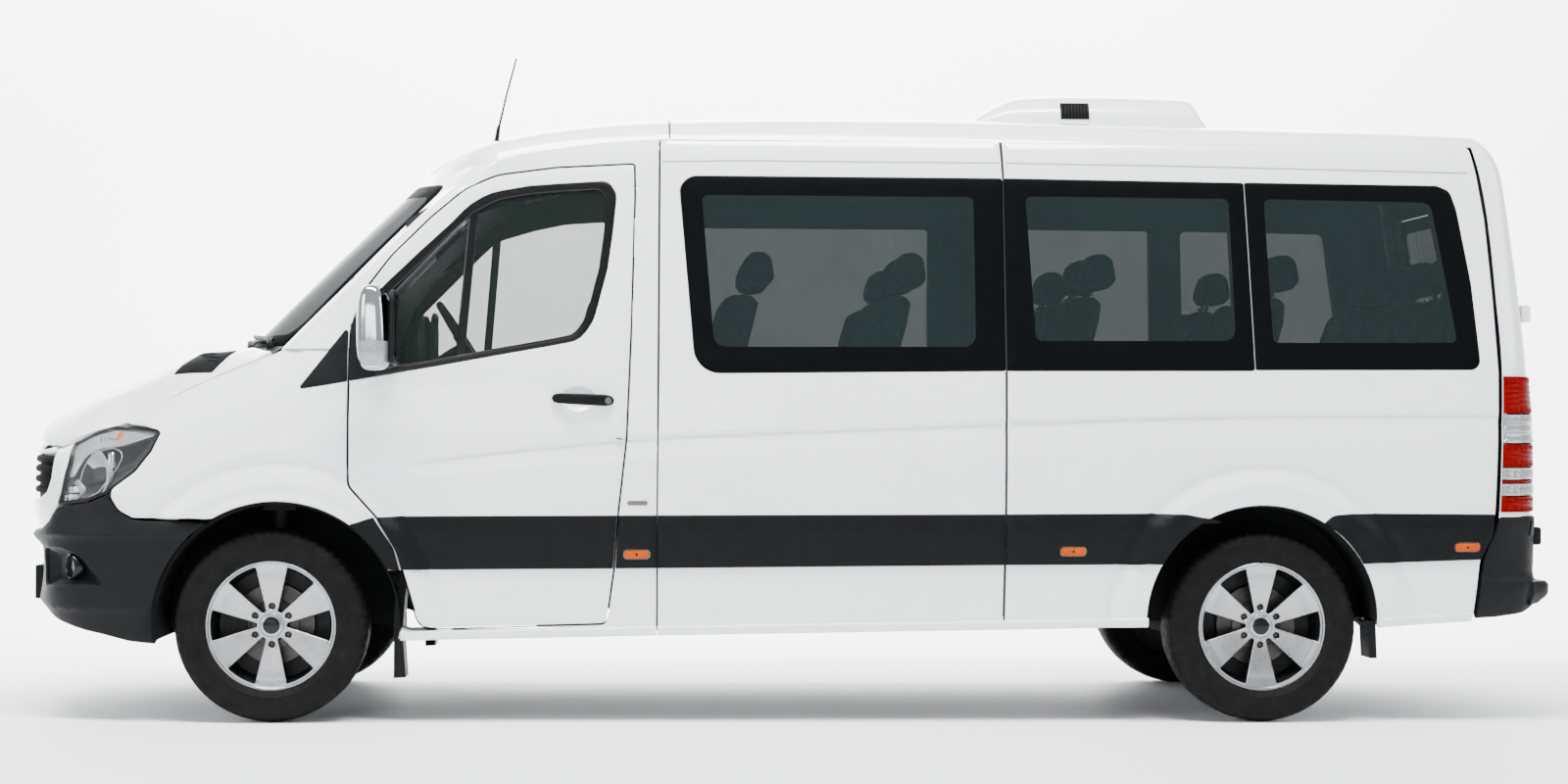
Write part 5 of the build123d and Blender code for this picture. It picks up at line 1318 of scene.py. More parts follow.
lens = panel(nose_skin(0.5), offset_loop(LAMP, 3) if area2(LAMP) > 0 else offset_loop(LAMP[::-1], 3), [], grid=26, edge_r=3, depth=6)
LAMP_CCW = LAMP if area2(LAMP) > 0 else LAMP[::-1]
rim_ring = panel(nose_skin(-0.5), LAMP_CCW, [offset_loop(LAMP_CCW, 10)], grid=60, edge_r=2, depth=30, hole_edge_r=1, hole_depth=20)


def bowl(a, b):
    # depth of the housing behind the lens: a dished floor
    pts = np.stack([a, b], 1)
    d = poly_dist(LAMP_CCW, pts)
    dep = 14 + 70 * smooth(4, 70, d)
    ribs = 3.0 * np.sin(b * 2 * math.pi / 11.0) * smooth(1000, 960, b + 0 * a)
    return nose_skin(dep + ribs)(a, b)


bz = panel(bowl, offset_loop(LAMP_CCW, 6), [], grid=12, edge_r=0, depth=0)
parts = [(bz[0], bz[1], [0] * len(bz[1])), (rim_ring[0], rim_ring[1], [1] * len(rim_ring[1]))]
# bright upper band that holds the turn signal; it runs down along the inner edge
band = [(888, 1021, 8), (962, 1053, 60), (1057, 1077, 50), (1165, 1078, 50), (1272, 1066, 14), (1262, 1048, 12), (1137, 1013, 60), (1040, 1000, 60), (985, 975, 50), (962, 930, 40),
        (950, 900, 16), (914, 890, 8), (924, 950, 80)]
bd = panel(nose_skin(lambda a, b: 15 + 0 * a), round_poly(band, 14), [], grid=16, edge_r=4, depth=14)
parts.append((bd[0], bd[1], [5 if q == 0 else 0 for q in bd[2]]))
for j in range(5):
    q = [(1010 + 16 * j + 0.0, 1046 - 2 * j), (1030 + 16 * j, 1024 + 3 * j)]
    V, F = tube([nose_skin(13)(np.array([q0]), np.array([q1]))[0] for q0, q1 in q], 1.6, 6)
    parts.append((V, F, [4] * len(F)))
og = [(1090, 1062, 8), (1118, 1064, 8), (1112, 1034, 8), (1096, 1032, 8)]
bd = panel(nose_skin(lambda a, b: 12 + 0 * a), round_poly(og, 10), [], grid=20, edge_r=2, depth=4)
parts.append((bd[0], bd[1], [3] * len(bd[1])))
# thin bright line round the main chamber
ring = round_poly([(1010, 985, 30), (1090, 1003, 30), (1150, 985, 40), (1128, 925, 60), (1060, 838, 40), (1000, 815, 30), (970, 850, 40), (985, 930, 60)], 14)
V, F = tube([nose_skin(20)(np.array([q0]), np.array([q1]))[0] for q0, q1 in ring], 2.0, 8, closed=True)
parts.append((V, F, [5] * len(F)))


def dish(centre, axis, r, depth, mat_bowl, mat_ring, squash=1.0, bulb=True):
    """Reflector bowl with a rim and a bulb shield, opening along axis."""
    out = []
    prof = [(r * 1.10, -2), (r * 1.10, 4), (r * 1.03, 6), (r, 2)]
    V, F = lathe(prof, centre, axis, 40)
    out.append((V, F, [mat_ring] * len(F)))
    prof = [(r, 2)] + [(r * math.sqrt(q), -depth * (1 - q)) for q in (0.85, 0.65, 0.45, 0.25, 0.12, 0.04, 0.004)]
    V, F = lathe(prof, centre, axis, 40)
    out.append((V, F, [mat_bowl] * len(F)))
    if bulb:
        prof = [(0.3, depth * 0.15), (r * 0.20, depth * 0.12), (r * 0.24, -depth * 0.2), (r * 0.24, -depth * 0.8)]
        V, F = lathe(prof, centre, axis, 24)
        out.append((V, F, [mat_ring] * len(F)))
    return out


for ss, z, r, dep, off in ((1036, 905, 80, 60, 46), (962, 848, 34, 30, 34)):
    p, n = nose_point(float(ss), float(z), off - 8)
    ax = n * 0.75 + np.array([0.62, 0.0, 0.0])
    for q in dish(p, ax / np.linalg.norm(ax), r, dep, 2, 5, bulb=False):
        parts.append(q)
# shade of the main bulb: an upright bright capsule
p, n = nose_point(1092.0, 955.0, 40)
V, F = lathe([(0.3, -34), (11, -32), (15, -26), (15, 26), (11, 32), (0.3, 34)], p, (0, 0.05, 1), 24)
parts.append((V, F, [4] * len(F)))
for i in range(3):
    for j in range(2):
        p, n = nose_point(904.0 + i * 26, 818.0 + j * 28 + i * 2, 26)
        V, F = box_mesh(-10, 10, -10, 10, -11, 11, 3)
        parts.append(([(p[0] + x, p[1] + y, p[2] + z) for x, y, z in V], F, [2 if (i + j) % 2 else 5] * len(F)))
MATS = [BEZEL, GLOSS_BLACK, LAMP_BOWL, ORANGE, CHROME, CLEAR_LENS]
both = parts + [mirror_parts(q) for q in parts]
put("headlamp_housings", both, MATS, "body", ["headlamps"], sharp=30)
put("headlamp_covers", [(lens[0], lens[1], lens[2]), mirror_parts((lens[0], lens[1], lens[2]))], [LENS, LENS], "body")

# grille: painted surround, black slats and a backing
GR_TOP = pchip([0, 250, 420, 600, 757, 868], [1026, 1016, 1000, 996, 1003, 1021])
gs = np.linspace(-866, 866, 61)
right_side = [(908, 950, 80), (894, 846, 80), (866, 790, 8), (806, 738, 60), (706, 703, 60), (600, 696, 60), (420, 693, 0), (210, 692, 0), (0, 692, 0)]
outer = [(float(q), float(GR_TOP(abs(q))), 0) for q in gs[::-1]]
outer = outer[::-1] + right_side + [(-q[0], q[1], q[2]) for q in right_side[::-1][1:]]
outer_l = round_poly(outer, 30)
outer_l = outer_l if area2(outer_l) > 0 else outer_l[::-1]
h0 = 748.0
hole = [(float(q), float(GR_TOP(abs(q))) - 12, 0) for q in np.linspace(-h0, h0, 40)]
hole_r = [(796, 940, 60), (812, 890, 40), (782, 842, 40), (700, 818, 60), (560, 808, 60), (300, 804, 0), (0, 803, 0)]
hole = hole + hole_r + [(-q[0], q[1], q[2]) for q in hole_r[::-1][1:]]
hole_l = round_poly(hole, 26)
hole_l = hole_l if area2(hole_l) > 0 else hole_l[::-1]
lean_grille = lambda a, b: 18 * smooth(760, 700, b) + 2 + 8 * smooth(960, 1020, b)
GS = nose_skin(lean_grille)
sur = panel(GS, outer_l, [hole_l], grid=30, edge_r=5, depth=20, hole_edge_r=6, hole_depth=46)
back = panel(shifted(GS, -23), hole_l, [], grid=60, edge_r=0, depth=0)
parts = [(sur[0], sur[1], [0] * len(sur[1])), (back[0], back[1], [1] * len(back[1]))]
for zb in (846, 886, 926, 966):
    half_w = float(np.interp(zb, [756, 792, 865, 930, 985], [752, 776, 800, 786, 760]))
    qs = np.linspace(-half_w, half_w, 49)
    Pts = shifted(GS, -22)(qs, np.full(49, float(zb)) + 0 * qs)
    x, y, nx, ny = NOSE.at(qs)
    frames = [(np.array([nx[i], ny[i], 0.0]), np.array([0, 0, 1.0])) for i in range(49)]
    sec = [(-22, -8), (8, -13), (14, -9), (15, 0), (12, 8), (4, 12), (-22, 6)]
    V, F = sweep_section(Pts, sec, frames, caps=True)
    parts.append((V, F, [2] * len(F)))
# blank round boss in the middle of the grille
pc = shifted(GS, -7)(np.array([0.0]), np.array([900.0]))[0]
V, F = lathe([(0.3, 12), (48, 11.5), (68, 9.5), (75, 5), (78, -3), (78, -30)], pc - np.array([4, 0, 0]), (1, 0, 0), 64)
parts.append((V, F, [3] * len(F)))
put("grille_assembly", parts, [PAINT, GRILLE_BLACK, GRILLE_BLACK, ANTHRACITE], "body", ["grille"], sharp=35)

# front bumper
_bf = pchip([380, 400, 415, 430, 470, 520, 567, 610, 628, 642, 656, 668, 676, 684, 700, 720, 745], [42, 26, 14, 8, 18, 28, 32, 32, 31, 20, 7, 0, -2, 4, 14, 30, 42])
_bs = pchip([270, 300, 340, 380, 404, 413, 430, 520, 620, 660, 672, 680, 686, 700, 745, 800, 840], [42, 34, 24, 14, 6, -2, -4, -3, -3, -5, -8, -13, -14, -10, 0, 2, 0])


def bumper_inset(a, b):
    q = np.abs(a)
    w = smooth(560, 860, q)
    lift = 6.0 * smooth(1150, 1420, q)
    z_side = b - lift * smooth(600, 660, b)
    front, side_ = _bf(b), _bs(z_side)
    x = NOSE.at(a)[0]
    r = np.hypot(x - ARCH_FRONT[0], b - ARCH_FRONT[1])
    lip = 9.0 * smooth(ARCH_FRONT[2] + 62, ARCH_FRONT[2] + 8, r) * smooth(1000, 1100, q)
    # the tuck of the lower body is already in the nose skin: the bumper keeps half of it
    return front * (1 - w) + side_ * w - 0.5 * _tuck(b) * w + lip


sB = lambda x: float(NOSE.s_of_x(x))
top_pts = [(0, 690, 0), (210, 690, 0), (420, 690, 0), (600, 692, 60), (704, 698, 60), (806, 732, 60), (868, 781, 30), (960, 797, 60), (1029, 804, 60), (1101, 831, 26), (1129, 798, 30),
           (1156, 768, 40), (1197, 743, 50), (1259, 738, 60), (1368, 737, 80), (1478, 730, 8)]
arcz = [(ARCH_FRONT[0] + ARCH_FRONT[2] * math.cos(a), ARCH_FRONT[1] + ARCH_FRONT[2] * math.sin(a), 0) for a in np.linspace(math.asin((722 - 352) / 458.0), math.asin((292 - 352) / 458.0), 24)]
arc_pts = [(float(NOSE.s_of_x(x)), z, r) for x, z, r in arcz]
low_pts = [(arc_pts[-1][0] - 1, 282, 10), (1178, 292, 60), (1076, 316, 200), (1004, 329, 200), (930, 344, 200), (813, 368, 200), (699, 388, 200), (560, 414, 200), (400, 428, 200), (120, 432, 0)]
halfb = [q for q in top_pts if q[0] > 0] + arc_pts + low_pts
loop = halfb + [(-p[0], *p[1:]) for p in halfb[::-1]]
BUMP = round_poly(loop, 30)
BUMP = BUMP if area2(BUMP) > 0 else BUMP[::-1]
zi0, zi1 = 568, 642
intake = round_poly([(430, zi1, 30), (-430, zi1, 30), (-404, zi0, 26), (404, zi0, 26)], 26)
fog_l = round_poly([(712, 628, 24), (894, 631, 70), (962, 616, 40), (1003, 595, 50), (1088, 509, 12), (1070, 500, 12), (983, 502, 80), (752, 494, 30)], 14)
fog_r = np.array([(-a, b) for a, b in fog_l])
feats = []
for zz in (430, 520, 567, 612, 628, 642, 656, 668, 676, 684):
    feats.append(np.stack([np.linspace(-800, 800, 90), np.full(90, float(zz))], 1))
for zz in (340, 380, 404, 413, 420, 660, 668, 674, 680, 686, 694, 704):
    for sg in (1, -1):
        q = np.linspace(820, 1560, 34)
        feats.append(np.stack([sg * q, float(zz) + 6.0 * smooth(1150, 1420, q) * (1 if zz > 600 else 0)], 1))
for dr in (8, 26, 44, 62):
    a_ = np.linspace(math.asin(-60 / 470.0), math.asin(0.8), 30)
    q = [NOSE.s_of_x(ARCH_FRONT[0] + (ARCH_FRONT[2] + dr) * math.cos(t)) for t in a_]
    zq = [ARCH_FRONT[1] + (ARCH_FRONT[2] + dr) * math.sin(t) for t in a_]
    for sg in (1, -1):
        feats.append(np.stack([sg * np.array(q, float), np.array(zq, float)], 1))
BS = nose_skin(bumper_inset)
bp = panel(BS, BUMP, [intake, fog_l, fog_r], grid=30, edge_r=6, depth=34, hole_edge_r=6, hole_depth=46, feats=feats)
parts = [(bp[0], bp[1], [0] * len(bp[1]))]
bk = panel(shifted(BS, -46), intake, [], grid=80, edge_r=0, depth=0)
parts.append((bk[0], bk[1], [1] * len(bk[1])))
for zb in (592, 618):
    qs = np.linspace(-412, 412, 41)
    Pts = shifted(BS, -20)(qs, np.full(41, float(zb)))
    x, y, nx, ny = NOSE.at(qs)
    frames = [(np.array([nx[i], ny[i], 0.0]), np.array([0, 0, 1.0])) for i in range(41)]
    V, F = sweep_section(Pts, [(-20, -5), (8, -7), (12, 0), (8, 7), (-20, 5)], frames)
    parts.append((V, F, [2] * len(F)))
for fl in (fog_l, fog_r):
    fl2 = fl if area2(fl) > 0 else fl[::-1]
    def cup(a, b, fl2=fl2):
        d = poly_dist(fl2, np.stack([a, b], 1))
        return shifted(BS, lambda p, q: -(14 + 34 * smooth(0, 34, poly_dist(fl2, np.stack([p, q], 1)))))(a, b)
    cp = panel(cup, fl2, [], grid=14, edge_r=0, depth=0)
    parts.append((cp[0], cp[1], [0] * len(cp[1])))
# number plate pad, plain
V, F = box_mesh(2850, 2893, -235, 235, 413, 543, 5)
parts.append((V, F, [0] * len(F)))
for sg in (1, -1):
    p = shifted(BS, -30)(np.array([sg * 945.0]), np.array([567.0]))[0]
    x, y, nx, ny = NOSE.at(np.array([sg * 945.0]))
    ax = np.array([nx[0] * 0.72 + 0.55, ny[0] * 0.72, 0.0])
    ax /= np.linalg.norm(ax)
    V, F = lathe([(48, -16), (50, 12), (46, 19), (41, 14), (39, -14)], p, ax, 40)
    parts.append((V, F, [3] * len(F)))
    V, F = lathe([(40, -6), (30, -1), (15, 2), (0.3, 3)], p, ax, 40)
    parts.append((V, F, [4] * len(F)))
put("front_bumper_skin", parts, [ANTHRACITE, SHADOW_GAP, STRIP_BLACK, GLOSS_BLACK, CLEAR_LENS], "body", ["front_bumper"])

# arc lengths across the nose, set aside for a painted lip between the bonnet's edge, the lamps and the grille; the lip
# itself is not built
s_top = np.linspace(-1180, 1180, 120)

# =====================================================================================================
# windscreen, its frame, cowl and roof
# =====================================================================================================
gl = round_poly([(786, 1386, 60), (741, 1968, 60), (690, 1994, 60), (345, 2011, 0), (0, 2016, 0), (-345, 2011, 0), (-690, 1994, 60), (-741, 1968, 60), (-786, 1386, 60)], 30)
gl = gl if area2(gl) > 0 else gl[::-1]
cl_in = round_poly([(742, 1430, 60), (702, 1938, 60), (660, 1952, 60), (330, 1968, 0), (0, 1974, 0), (-330, 1968, 0), (-660, 1952, 60), (-702, 1938, 60), (-742, 1430, 60)], 30)
cl_in = cl_in if area2(cl_in) > 0 else cl_in[::-1]
fr = panel(screen_surface(0), gl, [cl_in], grid=50, edge_r=3, depth=8, hole_edge_r=0, hole_depth=0.5)
ps = panel(screen_surface(0.3), cl_in, [], grid=60, edge_r=0, depth=0)
put("windscreen_border", [fr], [SCREEN_FRIT, RUBBER], "body")
put("windscreen_pane", [ps], [GLASS_SCREEN], "body", ["windscreen"])

# rails of the frame round the screen, left half: from the foot of the pillar up and across to the middle
def hole_rail(n_side=30, n_top=22):
    side_pts = [(790 - (790 - 745) * (z - 1372) / 600.0, z) for z in np.linspace(1372, 1950, n_side)]
    corner = [(744, 1962), (738, 1975), (722, 1988), (700, 1996)]
    top_p = [(y, float(np.interp(y, [0, 345, 690], [2019, 2014, 1998]))) for y in np.linspace(660, 0, n_top)]
    return np.array(side_pts + corner + top_p), n_side, len(corner), n_top


H2, n_s, n_c, n_t = hole_rail()
Hr = screen_surface(-1.0)(H2[:, 0], H2[:, 1])
door_front = lambda z: np.interp(z, [1372, 1430, 1470, 1592, 1719, 1862, 1969, 1995], [1619, 1617, 1608, 1566, 1471, 1329, 1203, 1160])
dl_top = DOOR_LINE[(DOOR_LINE[:, 1] > 1372) & (DOOR_LINE[:, 0] > 1060)]
dl_top = dl_top[np.argsort(dl_top[:, 1])]
O = []
z_end = 1990.0
for i in range(n_s):
    z = 1372 + (z_end - 1372) * i / (n_s - 1.0)
    x = float(np.interp(z, dl_top[:, 1], dl_top[:, 0])) + GAP
    O.append((x, float(side_y(np.array([x]), np.array([z]))[0]), z))
xe = O[-1][0]
x_front = pchip([0, .25, .5, .75, .86, 1.0], [1398, 1372, 1296, 1140, 1092, 1070])
# round the top corner, on the side above the door, then along the roof
yc = [(xe - 18, 2012), (xe - 38, 2036), (xe - 56, 2058), (1070 + 8, 2074)]
corner_O = []
for x, z in yc:
    corner_O.append((x, float(side_y(np.array([x]), np.array([z]))[0]), z))
top_O = []
for v in np.linspace(1.0, 0.0, n_t):
    top_O.append(tuple(roof_surface(np.array([float(x_front(v))]), np.array([v * 1000.0]))[0]))
Or = np.array(O + corner_O + top_O)
m_ = len(Or)
TH, TO = np.zeros((m_, 3)), np.zeros((m_, 3))
for i in range(m_):
    w = 0.0 if i < n_s - 2 else min(1.0, (i - n_s + 3) / (n_c + 3.0))
    y = H2[i, 0]
    slope = float(screen_x0(y + 1) - screen_x0(y - 1)) / 2
    a = np.array([slope, 1.0, 0.0])
    a /= np.linalg.norm(a)
    bb = np.array([-LEAN, 0, 1.0])
    bb /= np.linalg.norm(bb)
    th = a * (1 - w) + bb * w
    if i < n_s:
        to = np.array([-1.0, 0.02, 0.0])
    else:
        j = max(0, i - n_s - n_c)
        P0 = roof_surface(np.array([Or[i, 0] - 20]), np.array([0.0 if i < n_s + n_c else np.linspace(1, 0, n_t)[j] * 1000.0]))[0]
        if i < n_s + n_c:
            q = (i - n_s + 1) / (n_c + 1.0)
            to = np.array([-1.0, 0.0, 0.35 * q])
        else:
            P0 = roof_surface(np.array([Or[i, 0] - 20]), np.array([np.linspace(1, 0, n_t)[j] * 1000.0]))[0]
            to = P0 - Or[i]
            to /= np.linalg.norm(to)
    L = np.linalg.norm(Or[i] - Hr[i])
    TH[i], TO[i] = th / np.linalg.norm(th) * L, to / np.linalg.norm(to) * L
V, F = strip_between(Hr, Or, 9, ta=TH, tb=TO, flip=True)
# a return along the hole's edge, turned in
n_rows = len(Hr)
ret = [tuple(p - np.array([0.6, 0, 0.75]) * 22) for p in Hr]
V = list(map(tuple, V))
o = len(V)
V += ret
Fr = [(i * 9, o + i, o + i + 1, (i + 1) * 9) for i in range(n_rows - 1)]
frame_left = (V, list(F) + Fr, [0] * (len(F) + len(Fr)))
# inner trim of the pillar and header
Hi = Hr + np.array([-34.0, -6.0, -26.0])
Oi = Or + np.array([-40.0, -60.0, -20.0])
Oi[n_s + n_c:] = Or[n_s + n_c:] + np.array([-30.0, 0.0, -55.0])
Vi, Fi = strip_between(Hi, Oi, 4, flip=False)
trim_left = (Vi, Fi, [1] * len(Fi))

# side of the cab above the door, and the pillar behind it
gapx = lambda pts: [(x, z) for x, z in pts]
dpts = DOOR_LINE if area2(DOOR_LINE) > 0 else DOOR_LINE[::-1]
outer_door = offset_loop(dpts, -GAP)
# part of the door line from the pillar's foot corner at the front, over the top, down the rear edge to the sill
ang = []
k0 = int(np.argmin(np.hypot(outer_door[:, 0] - O[-1][0], outer_door[:, 1] - O[-1][2])))
seq = np.roll(outer_door, -k0, 0)
if seq[5, 0] > seq[0, 0]:
    seq = np.roll(outer_door[::-1], -(len(outer_door) - 1 - k0), 0)
cut = []
for p in seq:
    cut.append(p)
    if p[1] < 352 and p[0] > 655:
        break
cut = np.array(cut)
ends = [(680, 341), (540, 330), (486, 326)]
fore = [(486, 767), (484, 1289), (482, 1700), (480, 2156)]
xs_top = np.linspace(500, 1062, 22)
roof_line = [(float(x), float(_re(x)) - 2) for x in xs_top]
corner_pts = [(p[0], p[2]) for p in corner_O[::-1]]
loop = [tuple(p) for p in cut] + ends + fore + roof_line + corner_pts
lp = round_poly([(x, z, 0) for x, z in loop], 30)
cl = [along_x(lambda x: 2076 - 0.000 * x, 480, 560, 6)]
sp = {}
for sd in (1, -1):
    pan = skin_side(sd, lp, [], feats=crease_lines(480, 640), edge_r=0.0, depth=45)
    fl_, tl_ = (frame_left, trim_left) if sd > 0 else (mirror_parts(frame_left), mirror_parts(trim_left))
    # sill under the door
    so = round_poly([(1432, 302, 6), (1422, 338, 10), (1385, 331, 20), (700, 338, 20), (486, 340, 0), (486, 323, 3), (1400, 303, 4)], 30)
    sill = panel(shifted(SIDE_S[sd], -4, flip=sd > 0), so, [], grid=40, edge_r=5, depth=60, flip=sd > 0)
    sp[sd] = [(pan[0], pan[1], pan[2]), fl_, tl_, (sill[0], sill[1], [0] * len(sill[1]))]
# jambs behind the door gaps, near-black as painted shadow
jam = []
for sd in (1, -1):
    J = SIDE_S[sd](outer_door[:, 0], outer_door[:, 1])
    V = [tuple(p) for p in J - np.array([0, sd * 3.0, 0])] + [tuple(p - np.array([0, sd * 70.0, 0])) for p in J]
    n = len(J)
    F = [(i, (i + 1) % n, n + (i + 1) % n, n + i) for i in range(n)]
    jam.append((V, F, [2] * n))
# cowl under the windscreen
ys = np.linspace(-790, 790, 61)
A_ = np.stack([screen_x0(ys) + 34, ys, np.array([float(bonnet_z(screen_x0(y) + 40, y)[0]) - 12 for y in ys])], 1)
B_ = screen_surface(-2)(ys, np.full(61, 1384.0))
M_ = (A_ + B_) / 2 + np.array([0, 0, -8.0])
V, F = strip_between(A_, B_, 5)
cowl = (V, F, [3] * len(F))
A2 = A_ + np.array([0, 0, -60.0])
V, F = strip_between(A2, A_, 2)
cowl2 = (V, F, [3] * len(F))
put("cab_frame_skin", sp[1] + sp[-1] + jam + [cowl, cowl2], [PAINT, RETURN_SHADE_AND_TRIM, SHADOW_GAP, ANTHRACITE], "body", ["cab_frame"])

# roof
v_all = np.linspace(-1000, 1000, 61)
front_edge = [(float(x_front(abs(v) / 1000.0)), float(v)) for v in v_all]
rear_edge = [(-2640.0 + 62.0 * abs(v / 1000.0) ** 4, float(v)) for v in v_all[::-1]]
rl = round_poly([(x, v, 0) for x, v in front_edge + rear_edge], 60)
feats = []
for y in (300, 340, 420, 520, 600, 700, 760, 815):
    for sg in (1, -1):
        vv = float(np.interp(y, [0, 235, 462, 678, 764, 815, 852], [0, 250, 500, 750, 860, 930, 1000]))
        feats.append(np.stack([np.linspace(-2640, 1060, 100), np.full(100, sg * vv)], 1))
for x in (446, 439):
    feats.append(np.stack([np.full(60, float(x)), np.linspace(-990, 990, 60)], 1))
rf = panel(roof_surface, rl, [], grid=42, grid_b=34, edge_r=0, depth=20, inner=42, feats=feats)
parts = [(rf[0], rf[1], rf[2])]
put("roof_skin", parts, [PAINT, RETURN_SHADE_AND_TRIM, TRIM_PALE], "body", ["roof_panel"])
# thin joint between the cab roof and the main roof
vv = np.linspace(-995, 995, 80)
J = roof_surface(np.full(80, 443.0), vv)
N = surface_normals(roof_surface, np.full(80, 443.0), vv, 2.0)
V, F = [], []
for i in range(80):
    for dx, dn in ((-3.2, 0.0), (-3.2, 0.9), (3.2, 0.9), (3.2, 0.0)):
        V.append(J[i] + np.array([dx, 0, 0]) + N[i] * dn)
F = grid_faces(80, 4)
put("roof_joint", [(V, F, 0)], [SHADOW_GAP], "body", sharp=20)


# =====================================================================================================
# rub strips, markers, handles
# =====================================================================================================
STRIP_TOP = lerp_table([(1620, 722), (1510, 757), (1440, 758), (-788, 770), (-1401, 775), (-1470, 772), (-1560, 756), (-1620, 740), (-1960, 745), (-2020, 768), (-2098, 777), (-2660, 775)])
STRIP_LOW = lerp_table([(1620, 556), (1494, 558), (-789, 582), (-1402, 583), (-2117, 584), (-2600, 603), (-2660, 603)])


def strip_surface(side):
    def f(a, b):
        a, b = np.atleast_1d(np.asarray(a, float)), np.atleast_1d(np.asarray(b, float))
        zt, zl = STRIP_TOP(a), STRIP_LOW(a)
        t = (zt - b) / np.maximum(zt - zl, 50)
        d = 4.0 + 11.0 * smooth(0.0, 0.30, t) - 3.0 * smooth(0.35, 1.0, t)
        return np.stack([a, side * (side_y(a, b) + d), b], 1)
    return f


def strip_lines(x0, x1):
    x = np.linspace(x0, x1, max(3, int(abs(x1 - x0) / 34)))
    zt, zl = STRIP_TOP(x), STRIP_LOW(x)
    return [np.stack([x, zt - (zt - zl) * k], 1) for k in (0.08, 0.18, 0.27, 0.31, 0.36, 0.6)]


def arch_at(arch, z, side):
    cx, cz, r = arch
    return cx + side * math.sqrt(max(0, r * r - (z - cz) ** 2))


def arch_cut(arch, z0, z1, side, n=14):
    return [(arch_at(arch, z, side), z, 0) for z in np.linspace(z0, z1, n)]


T, L_ = lambda x: float(STRIP_TOP(x)), lambda x: float(STRIP_LOW(x))
STRIPS = {
    "wing": [(1519, 754, 2), (1605, 727, 2)] + arch_cut(ARCH_FRONT, 724, 562, -1) + [(1424, 560, 2), (1450, 638, 60), (1516, 748, 60)],
    "door": [(1510, 755, 4), (1442, 757, 40), (631, T(631), 3), (645, L_(645), 3), (1414, 561, 4), (1442, 638, 60)],
    "pillar": [(624, T(620), 3), (486, T(486), 2), (486, L_(486), 2), (636, L_(630), 3)],
    "middle": [(480.5, T(480), 2), (-801.5, T(-801), 2), (-800, L_(-800), 2), (480.5, L_(480), 2)],
    "quarter": [(-809, T(-809), 2), (-1401, 775, 60), (-1470, 772, 60), (-1560, 757, 60), (-1618, 742, 2)] + arch_cut(ARCH_REAR, 740, 586, 1)[0:] + [(-807.5, L_(-807), 2)],
    "tail": arch_cut(ARCH_REAR, 590, 742, -1) + [(-2020, 768, 60), (-2098, 777, 60), (-2636, 775, 3), (-2628, 700, 60), (-2584, 606, 10)],
}
ORANGE_MARKS = {"pillar": (558, 619), "quarter": (-1056, 633), "tail": (-2532, 652)}
